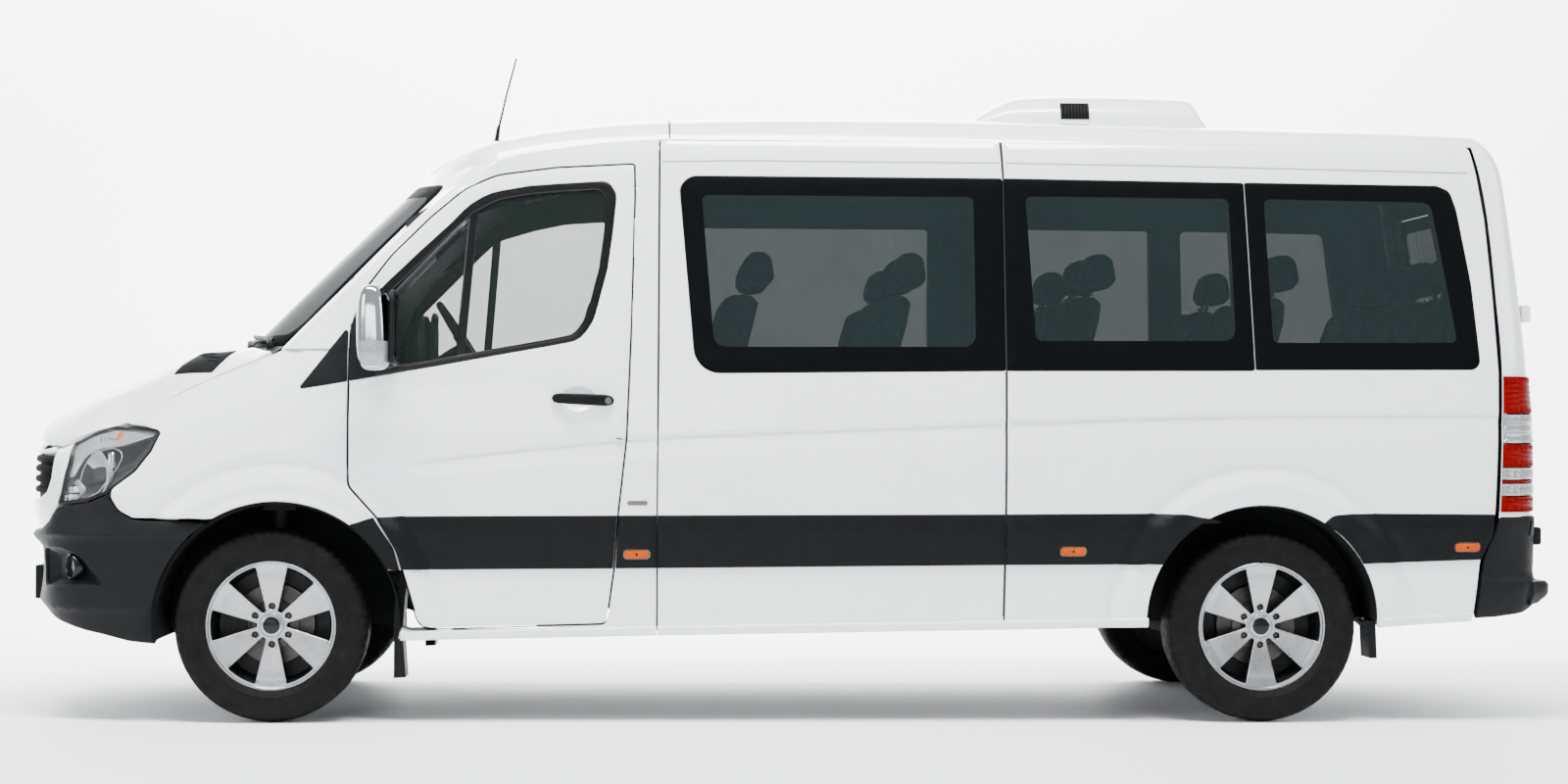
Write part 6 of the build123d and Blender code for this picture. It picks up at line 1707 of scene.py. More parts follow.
for sd in (1, -1):
    nm = side_names[sd]
    for key, pts in STRIPS.items():
        lp = round_poly(pts, 26)
        lp = lp if area2(lp) > 0 else lp[::-1]
        x0, x1 = lp[:, 0].min(), lp[:, 0].max()
        holes = []
        if key in ORANGE_MARKS:
            cx, cz = ORANGE_MARKS[key]
            holes = [round_poly([(cx - 49, cz - 18, 14), (cx + 49, cz - 18, 14), (cx + 49, cz + 18, 14), (cx - 49, cz + 18, 14)], 12)]
        st = panel(strip_surface(sd), lp, holes, grid=40, edge_r=4, depth=16, flip=sd > 0, feats=strip_lines(x0, x1) + arch_lines(ARCH_FRONT) + arch_lines(ARCH_REAR), hole_edge_r=2, hole_depth=8)
        parts = [(st[0], st[1], [0] * len(st[1]))]
        if holes:
            mk = round_poly([(cx - 46, cz - 15, 12), (cx + 46, cz - 15, 12), (cx + 46, cz + 15, 12), (cx - 46, cz + 15, 12)], 10)
            mp = panel(shifted(strip_surface(sd), 1.0, flip=sd > 0), mk, [], grid=14, edge_r=5, depth=8, flip=sd > 0)
            parts.append((mp[0], mp[1], [1] * len(mp[1])))
            V, F = lathe([(4.5, 1.2), (0.3, 2.0)], shifted(strip_surface(sd), 0.8, flip=sd > 0)(np.array([float(cx)]), np.array([float(cz)]))[0], (0, sd, 0), 16)
            parts.append((V, F, [2] * len(F)))
        put("%s_strip_%s" % (nm, key), parts, [STRIP_BLACK, ORANGE, SHADOW_GAP], nm + "_door" if key == "door" else "body", sharp=30)
    # badge slot, blank
    cx, cz = 556.0, 808.0
    bp_ = panel(shifted(SIDE_S[sd], 1.2, flip=sd > 0), round_poly([(cx - 38, cz - 9, 8), (cx + 38, cz - 9, 8), (cx + 38, cz + 9, 8), (cx - 38, cz + 9, 8)], 10), [], grid=20, edge_r=2, depth=4, flip=sd > 0)
    put(nm + "_blank_badge", [(bp_[0], bp_[1], [0] * len(bp_[1]))], [LABEL_GREY], "body")

    # door handle: bar, its two feet and the lock
    yb = lambda x, z=1188.0: float(side_y(np.array([float(x)]), np.array([z]))[0])
    V = []
    n_i = 30
    for i in range(n_i):
        t = i / (n_i - 1.0)
        x = 872 - 228 * t
        endc = (1 - abs(2 * t - 1) ** 9) ** 0.5
        hz = (19.5 + 2.0 * float(smooth(0.1, 0.85, t))) * max(0.18, endc)
        hy = (8.5 + 4.0 * t) * max(0.25, endc)
        out = 10 + 20 * math.sin(math.pi * min(1.0, max(0.0, t / 0.9)) ** 0.8) + 6 * t
        zc = 1193 - 9 * t
        for k in range(18):
            u = 2 * math.pi * k / 18
            c, q = math.cos(u), math.sin(u)
            e = 0.72
            V.append((x, sd * (yb(x) + out + hy * math.copysign(abs(c) ** e, c)), zc + hz * math.copysign(abs(q) ** e, q)))
    F = grid_faces(n_i, 18, wrap_v=True, flip=sd > 0)
    F.append(tuple(range(18)) if sd > 0 else tuple(range(18))[::-1])
    F.append(tuple((n_i - 1) * 18 + k for k in range(18))[::-1] if sd > 0 else tuple((n_i - 1) * 18 + k for k in range(18)))
    parts = [(V, F, [0] * len(F))]
    for x0_, x1_, zc in ((646, 684, 1184), (846, 868, 1192)):
        V, F = box_mesh(x0_, x1_, 0, 26, zc - 14, zc + 14, 6)
        parts.append(([(x, sd * (yb(x) - 6 + y), z) for x, y, z in V], [f if sd > 0 else f[::-1] for f in F], [0] * len(F)))
    V, F = lathe([(12.5, 0), (12.5, 4.5), (10, 5.5), (0.3, 5.5)], (664, sd * (yb(664) + 26), 1184), (0, sd, 0), 28)
    parts.append((V, F, [1] * len(F)))
    put(nm + "_door_handle", parts, [STRIP_BLACK, LABEL_GREY], nm + "_door", sharp=50)

    # black corner patch ahead of the window
    tri_ = round_poly([(1806, 1220, 8), (1621, 1456, 8), (1620.5, 1250, 6), (1700, 1236, 60)], 14)
    lift_ = lambda a, b, sd=sd: SIDE_S[sd](a, b) + np.stack([0 * a, sd * (1.5 + 9.0 * smooth(1362, 1376, b)), 0 * a], 1)
    tp = panel(lift_, tri_, [], grid=24, edge_r=3, depth=22, flip=sd > 0)
    put(nm + "_wing_patch", [(tp[0], tp[1], [0] * len(tp[1]))], [ANTHRACITE], "body")
    tri_ = round_poly([(1612.5, 1462, 8), (1613.5, 1256, 6), (1520, 1272, 20), (1500, 1420, 60), (1530, 1540, 20)], 14)
    tp = panel(shifted(SIDE_S[sd], 3.0, flip=sd > 0), tri_, [], grid=24, edge_r=3, depth=14, flip=sd > 0)
    put(nm + "_mirror_base", [(tp[0], tp[1], [0] * len(tp[1]))], [ANTHRACITE], nm + "_door")

    # door mirror: bright shell, glass, lamp and arm
    def shell(u, v, grow=0.0):
        # u round the section, v up
        zc = 1288 + 310 * v
        prof = (1 - abs(2 * v - 1) ** 4.2) ** (1 / 3.2)
        prof = max(prof, 0.001)
        hx = (60 + 8 * (1 - v) - 4 * v + grow) * prof
        hy = (112 + grow) * (0.90 + 0.10 * prof) * prof ** 0.35
        cxm, cym = 1509 + 8 * v, 1092
        c, q = math.cos(u), math.sin(u)
        e = 2 / 2.9
        x = cxm + hx * math.copysign(abs(c) ** e, c)
        y = cym + hy * math.copysign(abs(q) ** e, q)
        return x, sd * y, zc
    nu, nv = 48, 34
    V = [shell(2 * math.pi * i / nu, (0.5 - 0.5 * math.cos(math.pi * (j + 0.02) / (nv - 1 + 0.04)))) for i in range(nu) for j in range(nv)]
    F = grid_faces(nu, nv, wrap_u=True, flip=sd > 0)
    F.append(tuple(i * nv for i in range(nu)) if sd > 0 else tuple(i * nv for i in range(nu))[::-1])
    F.append(tuple(i * nv + nv - 1 for i in range(nu))[::-1] if sd > 0 else tuple(i * nv + nv - 1 for i in range(nu)))
    parts = [(V, F, [2 if np.mean([V[k][0] for k in f]) < 1462 else 0 for f in F])]
    # glass, facing the tail
    gy = round_poly([(1002, 1322, 28), (1182, 1322, 28), (1182, 1566, 34), (1002, 1566, 34)], 20)
    def gl_s(a, b):
        return np.stack([1447.0 + 1.0 * smooth(1540, 1600, b) + 0 * a, sd * a, b + 0 * a], 1)
    gp = panel(gl_s, gy, [], grid=40, edge_r=3, depth=6, flip=True)
    fx = [f if sd > 0 else f[::-1] for f in gp[1]]
    gp = panel(gl_s, gy, [], grid=40, edge_r=3, depth=6, flip=(sd > 0))
    parts.append((gp[0], gp[1], [1 if q == 0 else 2 for q in gp[2]]))
    V, F = tube([(1440.0, sd * a, b) for a, b in round_poly([(996, 1316, 30), (1188, 1316, 30), (1188, 1572, 36), (996, 1572, 36)], 16)], 9.0, 10, closed=True)
    parts.append((V, F, [2] * len(F)))
    # clear lamp low on the outer end
    V = []
    for i in range(13):
        for j in range(10):
            u = math.pi / 2 + (i - 6) * 0.17 + 0.28
            v = 0.05 + 0.29 * j / 9.0
            x, y, z = shell(u, v, 2.2)
            V.append((x, y, z))
    parts.append((V, grid_faces(13, 10, flip=sd > 0), [3] * 108))
        # arm back to the door
    for z0_, z1_ in ((1338, 1330), (1470, 1440)):
        V, F = tube([(1545, sd * 945, z0_ - 10), (1540, sd * 975, z0_ - 4), (1524, sd * 1012, z1_)], [26, 22, 20], 14)
        parts.append((V, F, [2] * len(F)))
    put(nm + "_mirror_shell", parts, [CHROME, MIRROR_GLASS, ANTHRACITE, CLEAR_LENS], nm + "_door", [nm + "_mirror"], sharp=40)


# =====================================================================================================
# wheels
# =====================================================================================================
TYRE_PROFILE = [(234, 88), (238, 95), (241, 99), (246, 101), (250, 104), (258, 107), (262, 110), (265, 109), (275, 111), (290, 112.3), (303, 112.5), (314, 111.5), (318, 112.2), (321, 110.6),
                (328, 108), (334, 105), (340, 100), (345, 94), (348.5, 88), (350.5, 80), (352, 72), (352.6, 66), (346, 64), (346, 56), (353, 54), (353.6, 40), (354, 26), (346.5, 24), (346.5, 16), (354, 14), (354, 0)]


def make_tyre(name, centre, sd, body, node):
    cx, cy, cz = centre
    prof = [(r, w) for r, w in TYRE_PROFILE] + [(r, -w) for r, w in TYRE_PROFILE[::-1][1:]]
    n, pitch = 300, 60
    V = []
    for i in range(n):
        a = 2 * math.pi * i / n
        ph = (i * pitch / n) % 1.0
        for r, w in prof:
            aw = abs(w)
            rr = r
            if 73 < aw < 109 and r > 325:
                if ph < 0.2:
                    rr = r - 4.5 * (1 if aw < 100 else 0.5)
            if 27 < aw < 55 and r > 350 and 0.4 < ph < 0.6:
                rr = r - 6
            V.append((cx + rr * math.cos(a), cy + sd * w, cz + rr * math.sin(a)))
    F = grid_faces(n, len(prof), wrap_u=True, flip=sd > 0)
    put(name, [(V, F, 0)], [TYRE], body, [node], sharp=50)


def make_rim(name, centre, sd, body, node):
    cx, cy, cz = centre

    def face(a, b):
        r = np.hypot(a, b)
        w = 66 + 16 * smooth(60, 200, r) + 7 * smooth(200, 224, r)
        return np.stack([cx + a, cy + sd * w, cz + b], 1)
    circle = [(228.5 * math.cos(t), 228.5 * math.sin(t)) for t in np.linspace(0, 2 * math.pi, 120, endpoint=False)]
    holes = []
    for k in range(6):
        t = k * math.pi / 3
        c, q = math.cos(t), math.sin(t)
        arc = [(220 * math.cos(u), 220 * math.sin(u)) for u in np.linspace(0.258, -0.258, 7)]
        P = [(55, -7, 7), (55, 7, 7)] + [(arc[0][0], arc[0][1], 5)] + [(x, y, 0) for x, y in arc[1:-1]] + [(arc[-1][0], arc[-1][1], 5)]
        holes.append(round_poly([(x * c - y * q, x * q + y * c, r) for x, y, r in P], 9))
        t = t + math.pi / 6
        hx, hy = 70 * math.cos(t), 70 * math.sin(t)
        holes.append(np.array([(hx + 12 * math.cos(u), hy + 12 * math.sin(u)) for u in np.linspace(0, 2 * math.pi, 22, endpoint=False)]))
    pn = panel(face, np.array(circle), holes, grid=13, edge_r=0, depth=26, flip=sd > 0, hole_edge_r=2.4, hole_depth=30)
    parts = [(pn[0], pn[1], [0 if q == 0 else 1 for q in pn[2]])]
    ax = (0, sd, 0)
    o = (cx, cy, cz)
    V, F = lathe([(226, 86), (228, 93), (231, 97), (235, 98), (238, 96), (239, 91), (236, 84)], o, ax, 120, flip=False)
    parts.append((V, F, [0] * len(F)))
    V, F = lathe([(224, 88), (221, 70), (214, 40), (206, 0), (204, -60), (206, -84), (236, -92), (238, -86)], o, ax, 96)
    parts.append((V, F, [1] * len(F)))
    # closed end of each bolt hole with the bolt's head
    for k in range(6):
        t = k * math.pi / 3 + math.pi / 6
        V, F = lathe([(0.3, 54), (8.5, 54), (9.5, 50), (9.5, 40)], (cx + 70 * math.cos(t), cy, cz + 70 * math.sin(t)), ax, 6)
        parts.append((V, F, [2] * len(F)))
        V, F = lathe([(12, 42), (0.3, 42)], (cx + 70 * math.cos(t), cy, cz + 70 * math.sin(t)), ax, 12)
        parts.append((V, F, [1] * len(F)))
    # centre cap: bright ring, fine groove and a plain dark disc
    V, F = lathe([(46.5, 64), (46, 70), (44, 72.5), (41.5, 72.5), (40.5, 70.5), (39.5, 72.5), (33, 76), (31.5, 76.5), (30.8, 74.5)], o, ax, 64)
    parts.append((V, F, [0] * len(F)))
    V, F = lathe([(31, 74.5), (28, 76.5), (18, 78.5), (0.3, 79.5)], o, ax, 64)
    parts.append((V, F, [3] * len(F)))
    # brake disc and hub
    V, F = lathe([(150, -45), (150, -24), (148, -22), (92, -22), (90, -18), (60, -6), (56, 30), (0.3, 34)], o, ax, 96)
    parts.append((V, F, [4] * len(F)))
    V, F = lathe([(60, 60), (60, 20)], o, ax, 48)
    parts.append((V, F, [1] * len(F)))
    V, F = lathe([(205, -43), (140, -46), (140, -49), (206, -49)], o, ax, 72)
    parts.append((V, F, [1] * len(F)))
    put(name, parts, [ALLOY, ALLOY_DARK, STEEL, GLOSS_BLACK, DISC], body, [node], sharp=28)


WHEELS = [("front_left", 1896, 852, 1, "front_left_wheel"), ("front_right", 1896, -852, -1, "front_right_wheel"),
          ("rear_left", -1769, 852, 1, "rear_left_wheel"), ("rear_right", -1769, -852, -1, "rear_right_wheel")]
for nm, x, y, sd, bd in WHEELS:
    make_tyre(nm + "_tyre_tread", (x, y, 354), sd, bd, nm + "_tyre")
    make_rim(nm + "_six_spoke_rim", (x, y, 354), sd, bd, nm + "_rim")

# liners inside the wheel arches
for sd in (1, -1):
    for tag, arch, r, y0 in (("front", ARCH_FRONT, 446, 560), ("rear", ARCH_REAR, 424, 690)):
        V = []
        ys = [y0, y0 + 120, 860, 940, 962]
        tt = np.linspace(-0.12 if tag == "front" else 0.02, math.pi + (0.12 if tag == "front" else -0.02), 40)
        for a in tt:
            for j, y in enumerate(ys):
                rr = r + (8 if j == 4 else 0)
                V.append((arch[0] + rr * math.cos(a), sd * y, arch[1] + rr * math.sin(a)))
        F = grid_faces(len(tt), len(ys), flip=sd < 0)
        cap = [(arch[0] + r * math.cos(a), sd * y0, arch[1] + r * math.sin(a)) for a in tt]
        parts = [(V, F, 0)]
        if tag == "front":
            # inner wall with a cut-out for the arms
            c2 = [(arch[0] + 250 * math.cos(a), sd * y0, arch[1] + 40 + 250 * math.sin(a)) for a in tt]
            parts.append((cap + c2, [(i, i + 1, len(tt) + i + 1, len(tt) + i) for i in range(len(tt) - 1)], 0))
        put("%s_%s_arch_liner" % (tag, side_names[sd]), parts, [UNDERBODY], "body")


# =====================================================================================================
# tail
# =====================================================================================================
_qx = pchip([379, 500, 603, 775, 939, 1122, 1305, 1599, 1877, 2045, 2150, 2166], [-2568, -2580, -2590, -2650, -2656, -2661, -2664, -2648, -2627, -2603, -2580, -2578])
n_side_t, n_corner_t, n_top_t = 56, 8, 18
Ht, Ot, THt, TOt = [], [], [], []
ztab = np.linspace(376, 2146, n_side_t)
for i, z in enumerate(ztab):
    x = float(_qx(z)) - 3
    Ot.append((x, float(side_y(np.array([x]), np.array([z]))[0]), z))
    zi = float(np.interp(z, [376, 1600, 2146], [376, 1600, 2030]))
    Ht.append((803.0, zi))
    TOt.append((-1.0, -0.02, 0.0))
    THt.append((0.0, 1.0))
for j in range(n_corner_t):
    t = (j + 1.0) / (n_corner_t + 1)
    a = t * math.pi / 2
    Ht.append((743 + 60 * math.cos(a), 2033 + 60 * math.sin(a)))
    v = 1.0 - 0.06 * t
    vv_ = v * 1000.0
    xr = -2640.0 + 62.0 * v ** 4
    Ot.append(tuple(roof_surface(np.array([xr]), np.array([vv_]))[0]))
    TOt.append((-1.0, -0.02 * (1 - t), -0.25 * t))
    THt.append((-math.sin(a) * 0.0, math.cos(a)))
for v in np.linspace(0.93, 0.0, n_top_t):
    xr = -2640.0 + 62.0 * v ** 4
    Ot.append(tuple(roof_surface(np.array([xr]), np.array([v * 1000.0]))[0]))
    Ht.append((743.0 * v / 0.93, 2093.0))
    TOt.append((-1.0, 0.0, -0.25))
    THt.append((0.0, 0.0))
Ot, Ht = np.array(Ot), np.array(Ht)
R0 = rear_surface(0)
Hp = R0(Ht[:, 0], Ht[:, 1])
ta, tb = [], []
for i in range(len(Ot)):
    L = np.linalg.norm(Ot[i] - Hp[i])
    to = np.array(TOt[i])
    e = 4.0
    if i < n_side_t:
        th = R0(np.array([Ht[i, 0] - e]), np.array([Ht[i, 1]]))[0] - Hp[i]
    elif i < n_side_t + n_corner_t:
        q = (i - n_side_t + 1.0) / (n_corner_t + 1) * math.pi / 2
        th = R0(np.array([Ht[i, 0] - e * math.cos(q)]), np.array([Ht[i, 1] - e * math.sin(q)]))[0] - Hp[i]
    else:
        th = R0(np.array([Ht[i, 0]]), np.array([Ht[i, 1] - e]))[0] - Hp[i]
    ta.append(to / np.linalg.norm(to) * L * 1.12)
    tb.append(th / np.linalg.norm(th) * L * 1.05)
ta, tb = np.array(ta), np.array(tb)


def tail_corner(inset=0.0):
    """Corner of the tail over (u, z): u from 0 at the rear quarter to 1000 at the tail door."""
    zt = Ot[:n_side_t, 2]
    def f(a, b):
        a, b = np.atleast_1d(np.asarray(a, float)), np.atleast_1d(np.asarray(b, float))
        t = a / 1000.0
        t2, t3 = t * t, t ** 3
        O_ = np.stack([np.interp(b, zt, Ot[:n_side_t, k]) for k in range(3)], 1)
        H_ = np.stack([np.interp(b, zt, Hp[:n_side_t, k]) for k in range(3)], 1)
        A_t = np.stack([np.interp(b, zt, ta[:n_side_t, k]) for k in range(3)], 1)
        B_t = np.stack([np.interp(b, zt, tb[:n_side_t, k]) for k in range(3)], 1)
        P = ((2 * t3 - 3 * t2 + 1)[:, None] * O_ + (t3 - 2 * t2 + t)[:, None] * A_t + (-2 * t3 + 3 * t2)[:, None] * H_ + (t3 - t2)[:, None] * B_t)
        return P
    return f


V, F = strip_between(Ot, Hp, 15, ta=ta, tb=tb, flip=True)
# the lamp's pocket is left out of the painted corner
keep, pocket = [], []
for f in F:
    c = np.mean([V[i] for i in f], 0)
    if c[2] < 772 and (f[0] // 15) < n_side_t:
        continue
    if 786 < c[2] < 1288 and (f[0] // 15) < n_side_t and 1 <= (f[0] % 15) <= 12:
        pocket.append(f)
    else:
        keep.append(f)
n_r = len(Hp)
V = [tuple(p) for p in V]
o = len(V)
ret = [tuple(p + np.array([40.0, 0, 0])) for p in Hp]
V += ret
Fr = [(i * 15 + 14, (i + 1) * 15 + 14, o + i + 1, o + i) for i in range(n_r - 1) if Hp[i][2] > 770]
left_tail = (V, keep + Fr, [0] * (len(keep) + len(Fr)))
Vp = [tuple(np.array(p) + np.array([26.0, -26.0, 0])) for p in V]
left_pocket = (Vp, pocket, [1] * len(pocket))
Vin = np.array(Ot) + np.array([30.0, -60.0, -10.0])
Vin2 = Hp + np.array([70.0, -10.0, -6.0])
Vi, Fi = strip_between(Vin, Vin2, 4, flip=False)
Fi = [f for f in Fi if min(Vi[i][2] for i in f) > 700]
left_in = (Vi, Fi, [2] * len(Fi))
parts = [left_tail, left_pocket, left_in]
put("rear_frame_skin", parts + [mirror_parts(q) for q in parts], [PAINT, SHADOW_GAP, TRIM_GREY], "body", ["rear_frame"])

# tail lamps in red and clear bands
bands = [(1290, 1152, 0, 7), (1148, 1041, 1, 9), (1037, 952, 0, 5), (948, 905, 1, 4), (903, 892, 0, 0), (889, 845, 1, 4), (841, 783, 0, 4)]
parts = []
TC = tail_corner()
for z1_, z0_, m, ribs in bands:
    ol = round_poly([(16, z0_, 3), (905, z0_, 3), (905, z1_, 3), (16, z1_, 3)], 60)
    def lamp_s(a, b, z0_=z0_, z1_=z1_, ribs=ribs):
        base = shifted(TC, 7.0)(a, b)
        if ribs:
            n = surface_normals(TC, a, b, 2.0)
            k = 1.6 * np.cos((b - z0_) / (z1_ - z0_) * 2 * math.pi * ribs)
            base = base + n * k[:, None]
        return base
    n_test = surface_normals(TC, np.array([500.0]), np.array([1000.0]), 2.0)[0]
    flip = bool(n_test[1] < 0)
    pn = panel(lamp_s if not flip else (lambda a, b, z0_=z0_, z1_=z1_, ribs=ribs: shifted(TC, 7.0, flip=True)(a, b) - (surface_normals(TC, a, b, 2.0) * (1.6 * np.cos((b - z0_) / (z1_ - z0_) * 2 * math.pi * max(ribs, 1)) * (1 if ribs else 0))[:, None])),
               ol, [], grid=40, grid_b=5.0 if ribs else 20, edge_r=4, depth=24, flip=flip)
    parts.append((pn[0], pn[1], [m if q == 0 else 2 for q in pn[2]]))
put("tail_lamp_clusters", parts + [mirror_parts(q) for q in parts], [RED_LENS, CLEAR_LENS, GLOSS_BLACK], "body", ["tail_lamps"], sharp=30)

# tail doors with their glass, hinges and furniture
for sd in (1, -1):
    nm = side_names[sd]
    bd = nm + "_tail_door"
    q = sd
    ol = round_poly([(q * 4, 552, 8), (q * 797, 552, 14), (q * 797, 2087, 56), (q * 4, 2087, 8)], 34)
    ho = round_poly([(q * 58, 1330, 26), (q * 752, 1330, 40), (q * 752, 1985, 40), (q * 58, 1985, 26)], 30)
    cl_ = round_poly([(q * 112, 1392, 22), (q * 706, 1392, 34), (q * 706, 1930, 34), (q * 112, 1930, 22)], 30)
    inset_fn = lambda a, b: 10 * smooth(1010, 990, b) * smooth(600, 640, b) * smooth(110, 140, np.abs(a)) * smooth(730, 700, np.abs(a))

    def RS(a, b, fn=inset_fn):
        p = rear_surface(0)(a, b)
        p[:, 0] += fn(a, b)
        return p
    feats = [np.stack([np.linspace(q * 20, q * 780, 30), np.full(30, z)], 1) for z in (1010, 1000, 990, 640, 620, 600)]
    feats += [np.stack([np.full(20, q * y), np.linspace(600, 1010, 20)], 1) for y in (110, 125, 140, 700, 715, 730)]
    ps_ = panel(RS, ol, [grown(ho, 3) if area2(ho) > 0 else grown(ho[::-1], 3)], grid=40, edge_r=5, depth=30, flip=True, inner=55, hole_depth=9, feats=feats)
    put("rear_%s_door_skin" % nm, [ps_], [PAINT, RETURN_SHADE_AND_TRIM, TRIM_GREY], bd, ["rear_%s_door" % nm])
    fr = panel(shifted(rear_surface(0), 0.8, flip=True), ho, [cl_], grid=70, edge_r=3, depth=7, flip=True, hole_edge_r=0, hole_depth=0.5)
    cp = panel(shifted(rear_surface(0), 0.6, flip=True), cl_, [], grid=80, edge_r=0, depth=0, flip=True)
    put("rear_%s_window_border" % nm, [fr], [FRIT, RUBBER], bd)
    put("rear_%s_window" % nm, [cp], [GLASS_SIDE], bd, ["rear_%s_glass" % nm])
    parts = []
    for z in (690, 1530):
        xr = float(_rear(z))
        V, F = box_mesh(xr - 26, xr + 6, 770, 836, z - 34, z + 34, 8)
        m = [(x, sd * y, zz) for x, y, zz in V]
        parts.append((m, [f if sd > 0 else f[::-1] for f in F], [0 if z > 1000 else 1] * len(F)))
        V, F = tube([(xr - 26, sd * 806, z - 30), (xr - 26, sd * 806, z + 30)], 9, 16)
        parts.append((V, F, [0 if z > 1000 else 1] * len(F)))
    if sd > 0:
        # plain plate carrier
        V, F = box_mesh(-2850, -2836, 150, 690, 760, 900, 5)
        parts.append((V, F, [1] * len(F)))
    else:
        V, F = box_mesh(-2868, -2836, -110, -30, 1060, 1180, 12)
        parts.append((V, F, [1] * len(F)))
    put("rear_%s_door_fittings" % nm, parts, [PAINT, ANTHRACITE], bd, sharp=35)

# rear bumper: a corner piece each side, the sill between them and the step
_rbp = pchip([376, 401, 434, 478, 515, 532, 545, 589, 700, 758, 772], [-34, -16, -3, 6, 8, 2, -5, -3, 0, 1, -5])
n_test = surface_normals(TC, np.array([500.0]), np.array([600.0]), 2.0)[0]
TC_FLIP = bool(n_test[1] < 0)


def corner_bumper(a, b):
    n = surface_normals(TC, a, b, 2.0) * (-1.0 if TC_FLIP else 1.0)
    return TC(a, b) + n * (1.5 + _rbp(b) + 10.0 * smooth(300, 620, a))[:, None]


ol = round_poly([(14, 380, 8), (260, 384, 80), (620, 402, 120), (820, 424, 80), (996, 434, 4), (996, 770, 6), (14, 770, 6)], 60)
feats = [np.stack([np.linspace(30, 980, 24), np.full(24, float(z))], 1) for z in (401, 434, 478, 515, 524, 532, 545, 560, 758)]
cb = panel(corner_bumper, ol, [], grid=50, grid_b=22, edge_r=5, depth=50, flip=TC_FLIP, feats=feats)
parts = [(cb[0], cb[1], [0] * len(cb[1]))]
pd = panel(lambda a, b: corner_bumper(a, b) + surface_normals(TC, a, b, 2.0) * (-5.0 if TC_FLIP else 5.0), round_poly([(600, 694, 10), (720, 694, 10), (720, 750, 10), (600, 750, 10)], 30), [], grid=30, edge_r=3, depth=8, flip=TC_FLIP)
parts.append((pd[0], pd[1], [0] * len(pd[1])))
parts = parts + [mirror_parts(q) for q in parts]
mid_s = lambda a, b: rear_surface(0)(a, b) - np.stack([1.5 + _rbp(b), 0 * b, 0 * b], 1)
mb = panel(mid_s, round_poly([(-801, 434, 4), (801, 434, 4), (801, 545, 4), (-801, 545, 4)], 40), [], grid=60, grid_b=16, edge_r=4, depth=60, flip=True,
           feats=[np.stack([np.linspace(-780, 780, 40), np.full(40, float(z))], 1) for z in (478, 515, 524, 532)])
parts.append((mb[0], mb[1], [0] * len(mb[1])))
# step with rounded ends
ys = np.linspace(-900, 900, 73)
path = [(-2826.0 - 0.0 * y, float(y), 0.0) for y in ys]
sec = [(0, 431), (26, 436), (58, 462), (68, 476), (69, 508), (58, 520), (0, 527)]
V, F = [], []
for i, y in enumerate(ys):
    k = 1.0 - 0.80 * float(smooth(790, 915, abs(y))) ** 2
    x_in = -2826.0 + 34.0 * float(smooth(800, 905, abs(y)))
    for d, z in sec:
        V.append((x_in - d * k, float(y), z))
F = grid_faces(len(ys), len(sec))
F.append(tuple(range(len(sec)))[::-1])
F.append(tuple((len(ys) - 1) * len(sec) + i for i in range(len(sec))))
parts.append((V, F, [0] * len(F)))
for k in range(11):
    y = -600 + 120 * k
    V, F = box_mesh(-2884, -2832, y - 40, y + 40, 524, 529, 1.5)
    parts.append((V, F, [1] * len(F)))
for sd in (1, -1):
    V, F = box_mesh(-2895, -2870, sd * 730 - 42, sd * 730 + 42, 479, 504, 3)
    parts.append((V, F, [2] * len(F)))
put("rear_bumper_skin", parts, [ANTHRACITE, STRIP_BLACK, RED_LENS], "body", ["rear_bumper"], sharp=35)

# =====================================================================================================
# roof unit and aerial
# =====================================================================================================
_at = pchip([-1655, -1640, -1617, -1596, -1581, -1400, -1214, -1060, -916, -828, -780, -749, -735], [2262, 2290, 2330, 2366, 2383, 2390, 2393, 2391, 2382, 2350, 2322, 2298, 2262])
V = []
xs = np.concatenate([np.linspace(-1655, -1575, 12), np.linspace(-1560, -960, 16), np.linspace(-920, -735, 18)])
yy = np.linspace(-1, 1, 61)
for x in xs:
    zt_ = float(_at(x))
    narrow = 1.0 - 0.10 * float(smooth(-900, -735, x)) - 0.05 * float(smooth(-1600, -1655, x))
    for t in yy:
        y = 520 * narrow * math.copysign(1 - (1 - abs(t)) ** 1.6, t)
        zb = float(roof_surface(np.array([x]), np.array([float(np.interp(abs(y), [0, 235, 462, 678], [0, 250, 500, 750]))]))[0][2]) - 6
        k = max(0.0, 1 - (abs(y) / (520 * narrow)) ** 7) ** (1 / 2.6)
        dome = 8.0 * (1 - (y / 520.0) ** 2)
        z = zb + max(0.0, zt_ - dome * 0 - 2250 + 2250 - zb) * k
        V.append((x, y, z))
F = grid_faces(len(xs), len(yy))
parts = [(V, F, [0] * len(F))]
for k in range(9):
    x = -1176 + k * 12.5
    for sd in (1, -1):
        P = []
        for z in np.linspace(2290, 2345, 7):
            kk = np.clip((z - 2262) / (2391 - 2262), 0, 1)
            y = 520 * (1 - kk ** 2.6) ** (1 / 7.0)
            P.append((x, sd * (y + 2.5), z))
        Vt, Ft = tube(P, 4.2, 6)
        parts.append((Vt, Ft, [2] * len(Ft)))
for sd in (1, -1):
    P = []
    for x in np.linspace(-1182, -1070, 10):
        for z in np.linspace(2284, 2350, 8):
            kk = np.clip((z - 2262) / (2391 - 2262), 0, 1)
            P.append((x, sd * (520 * (1 - kk ** 2.6) ** (1 / 7.0) + 1.2), z))
    parts.append((P, grid_faces(10, 8, flip=sd > 0), [1] * 63))
put("roof_cooling_unit", parts, [PAINT, SHADOW_GAP, ANTHRACITE], "body", ["roof_air_conditioner"], sharp=35)

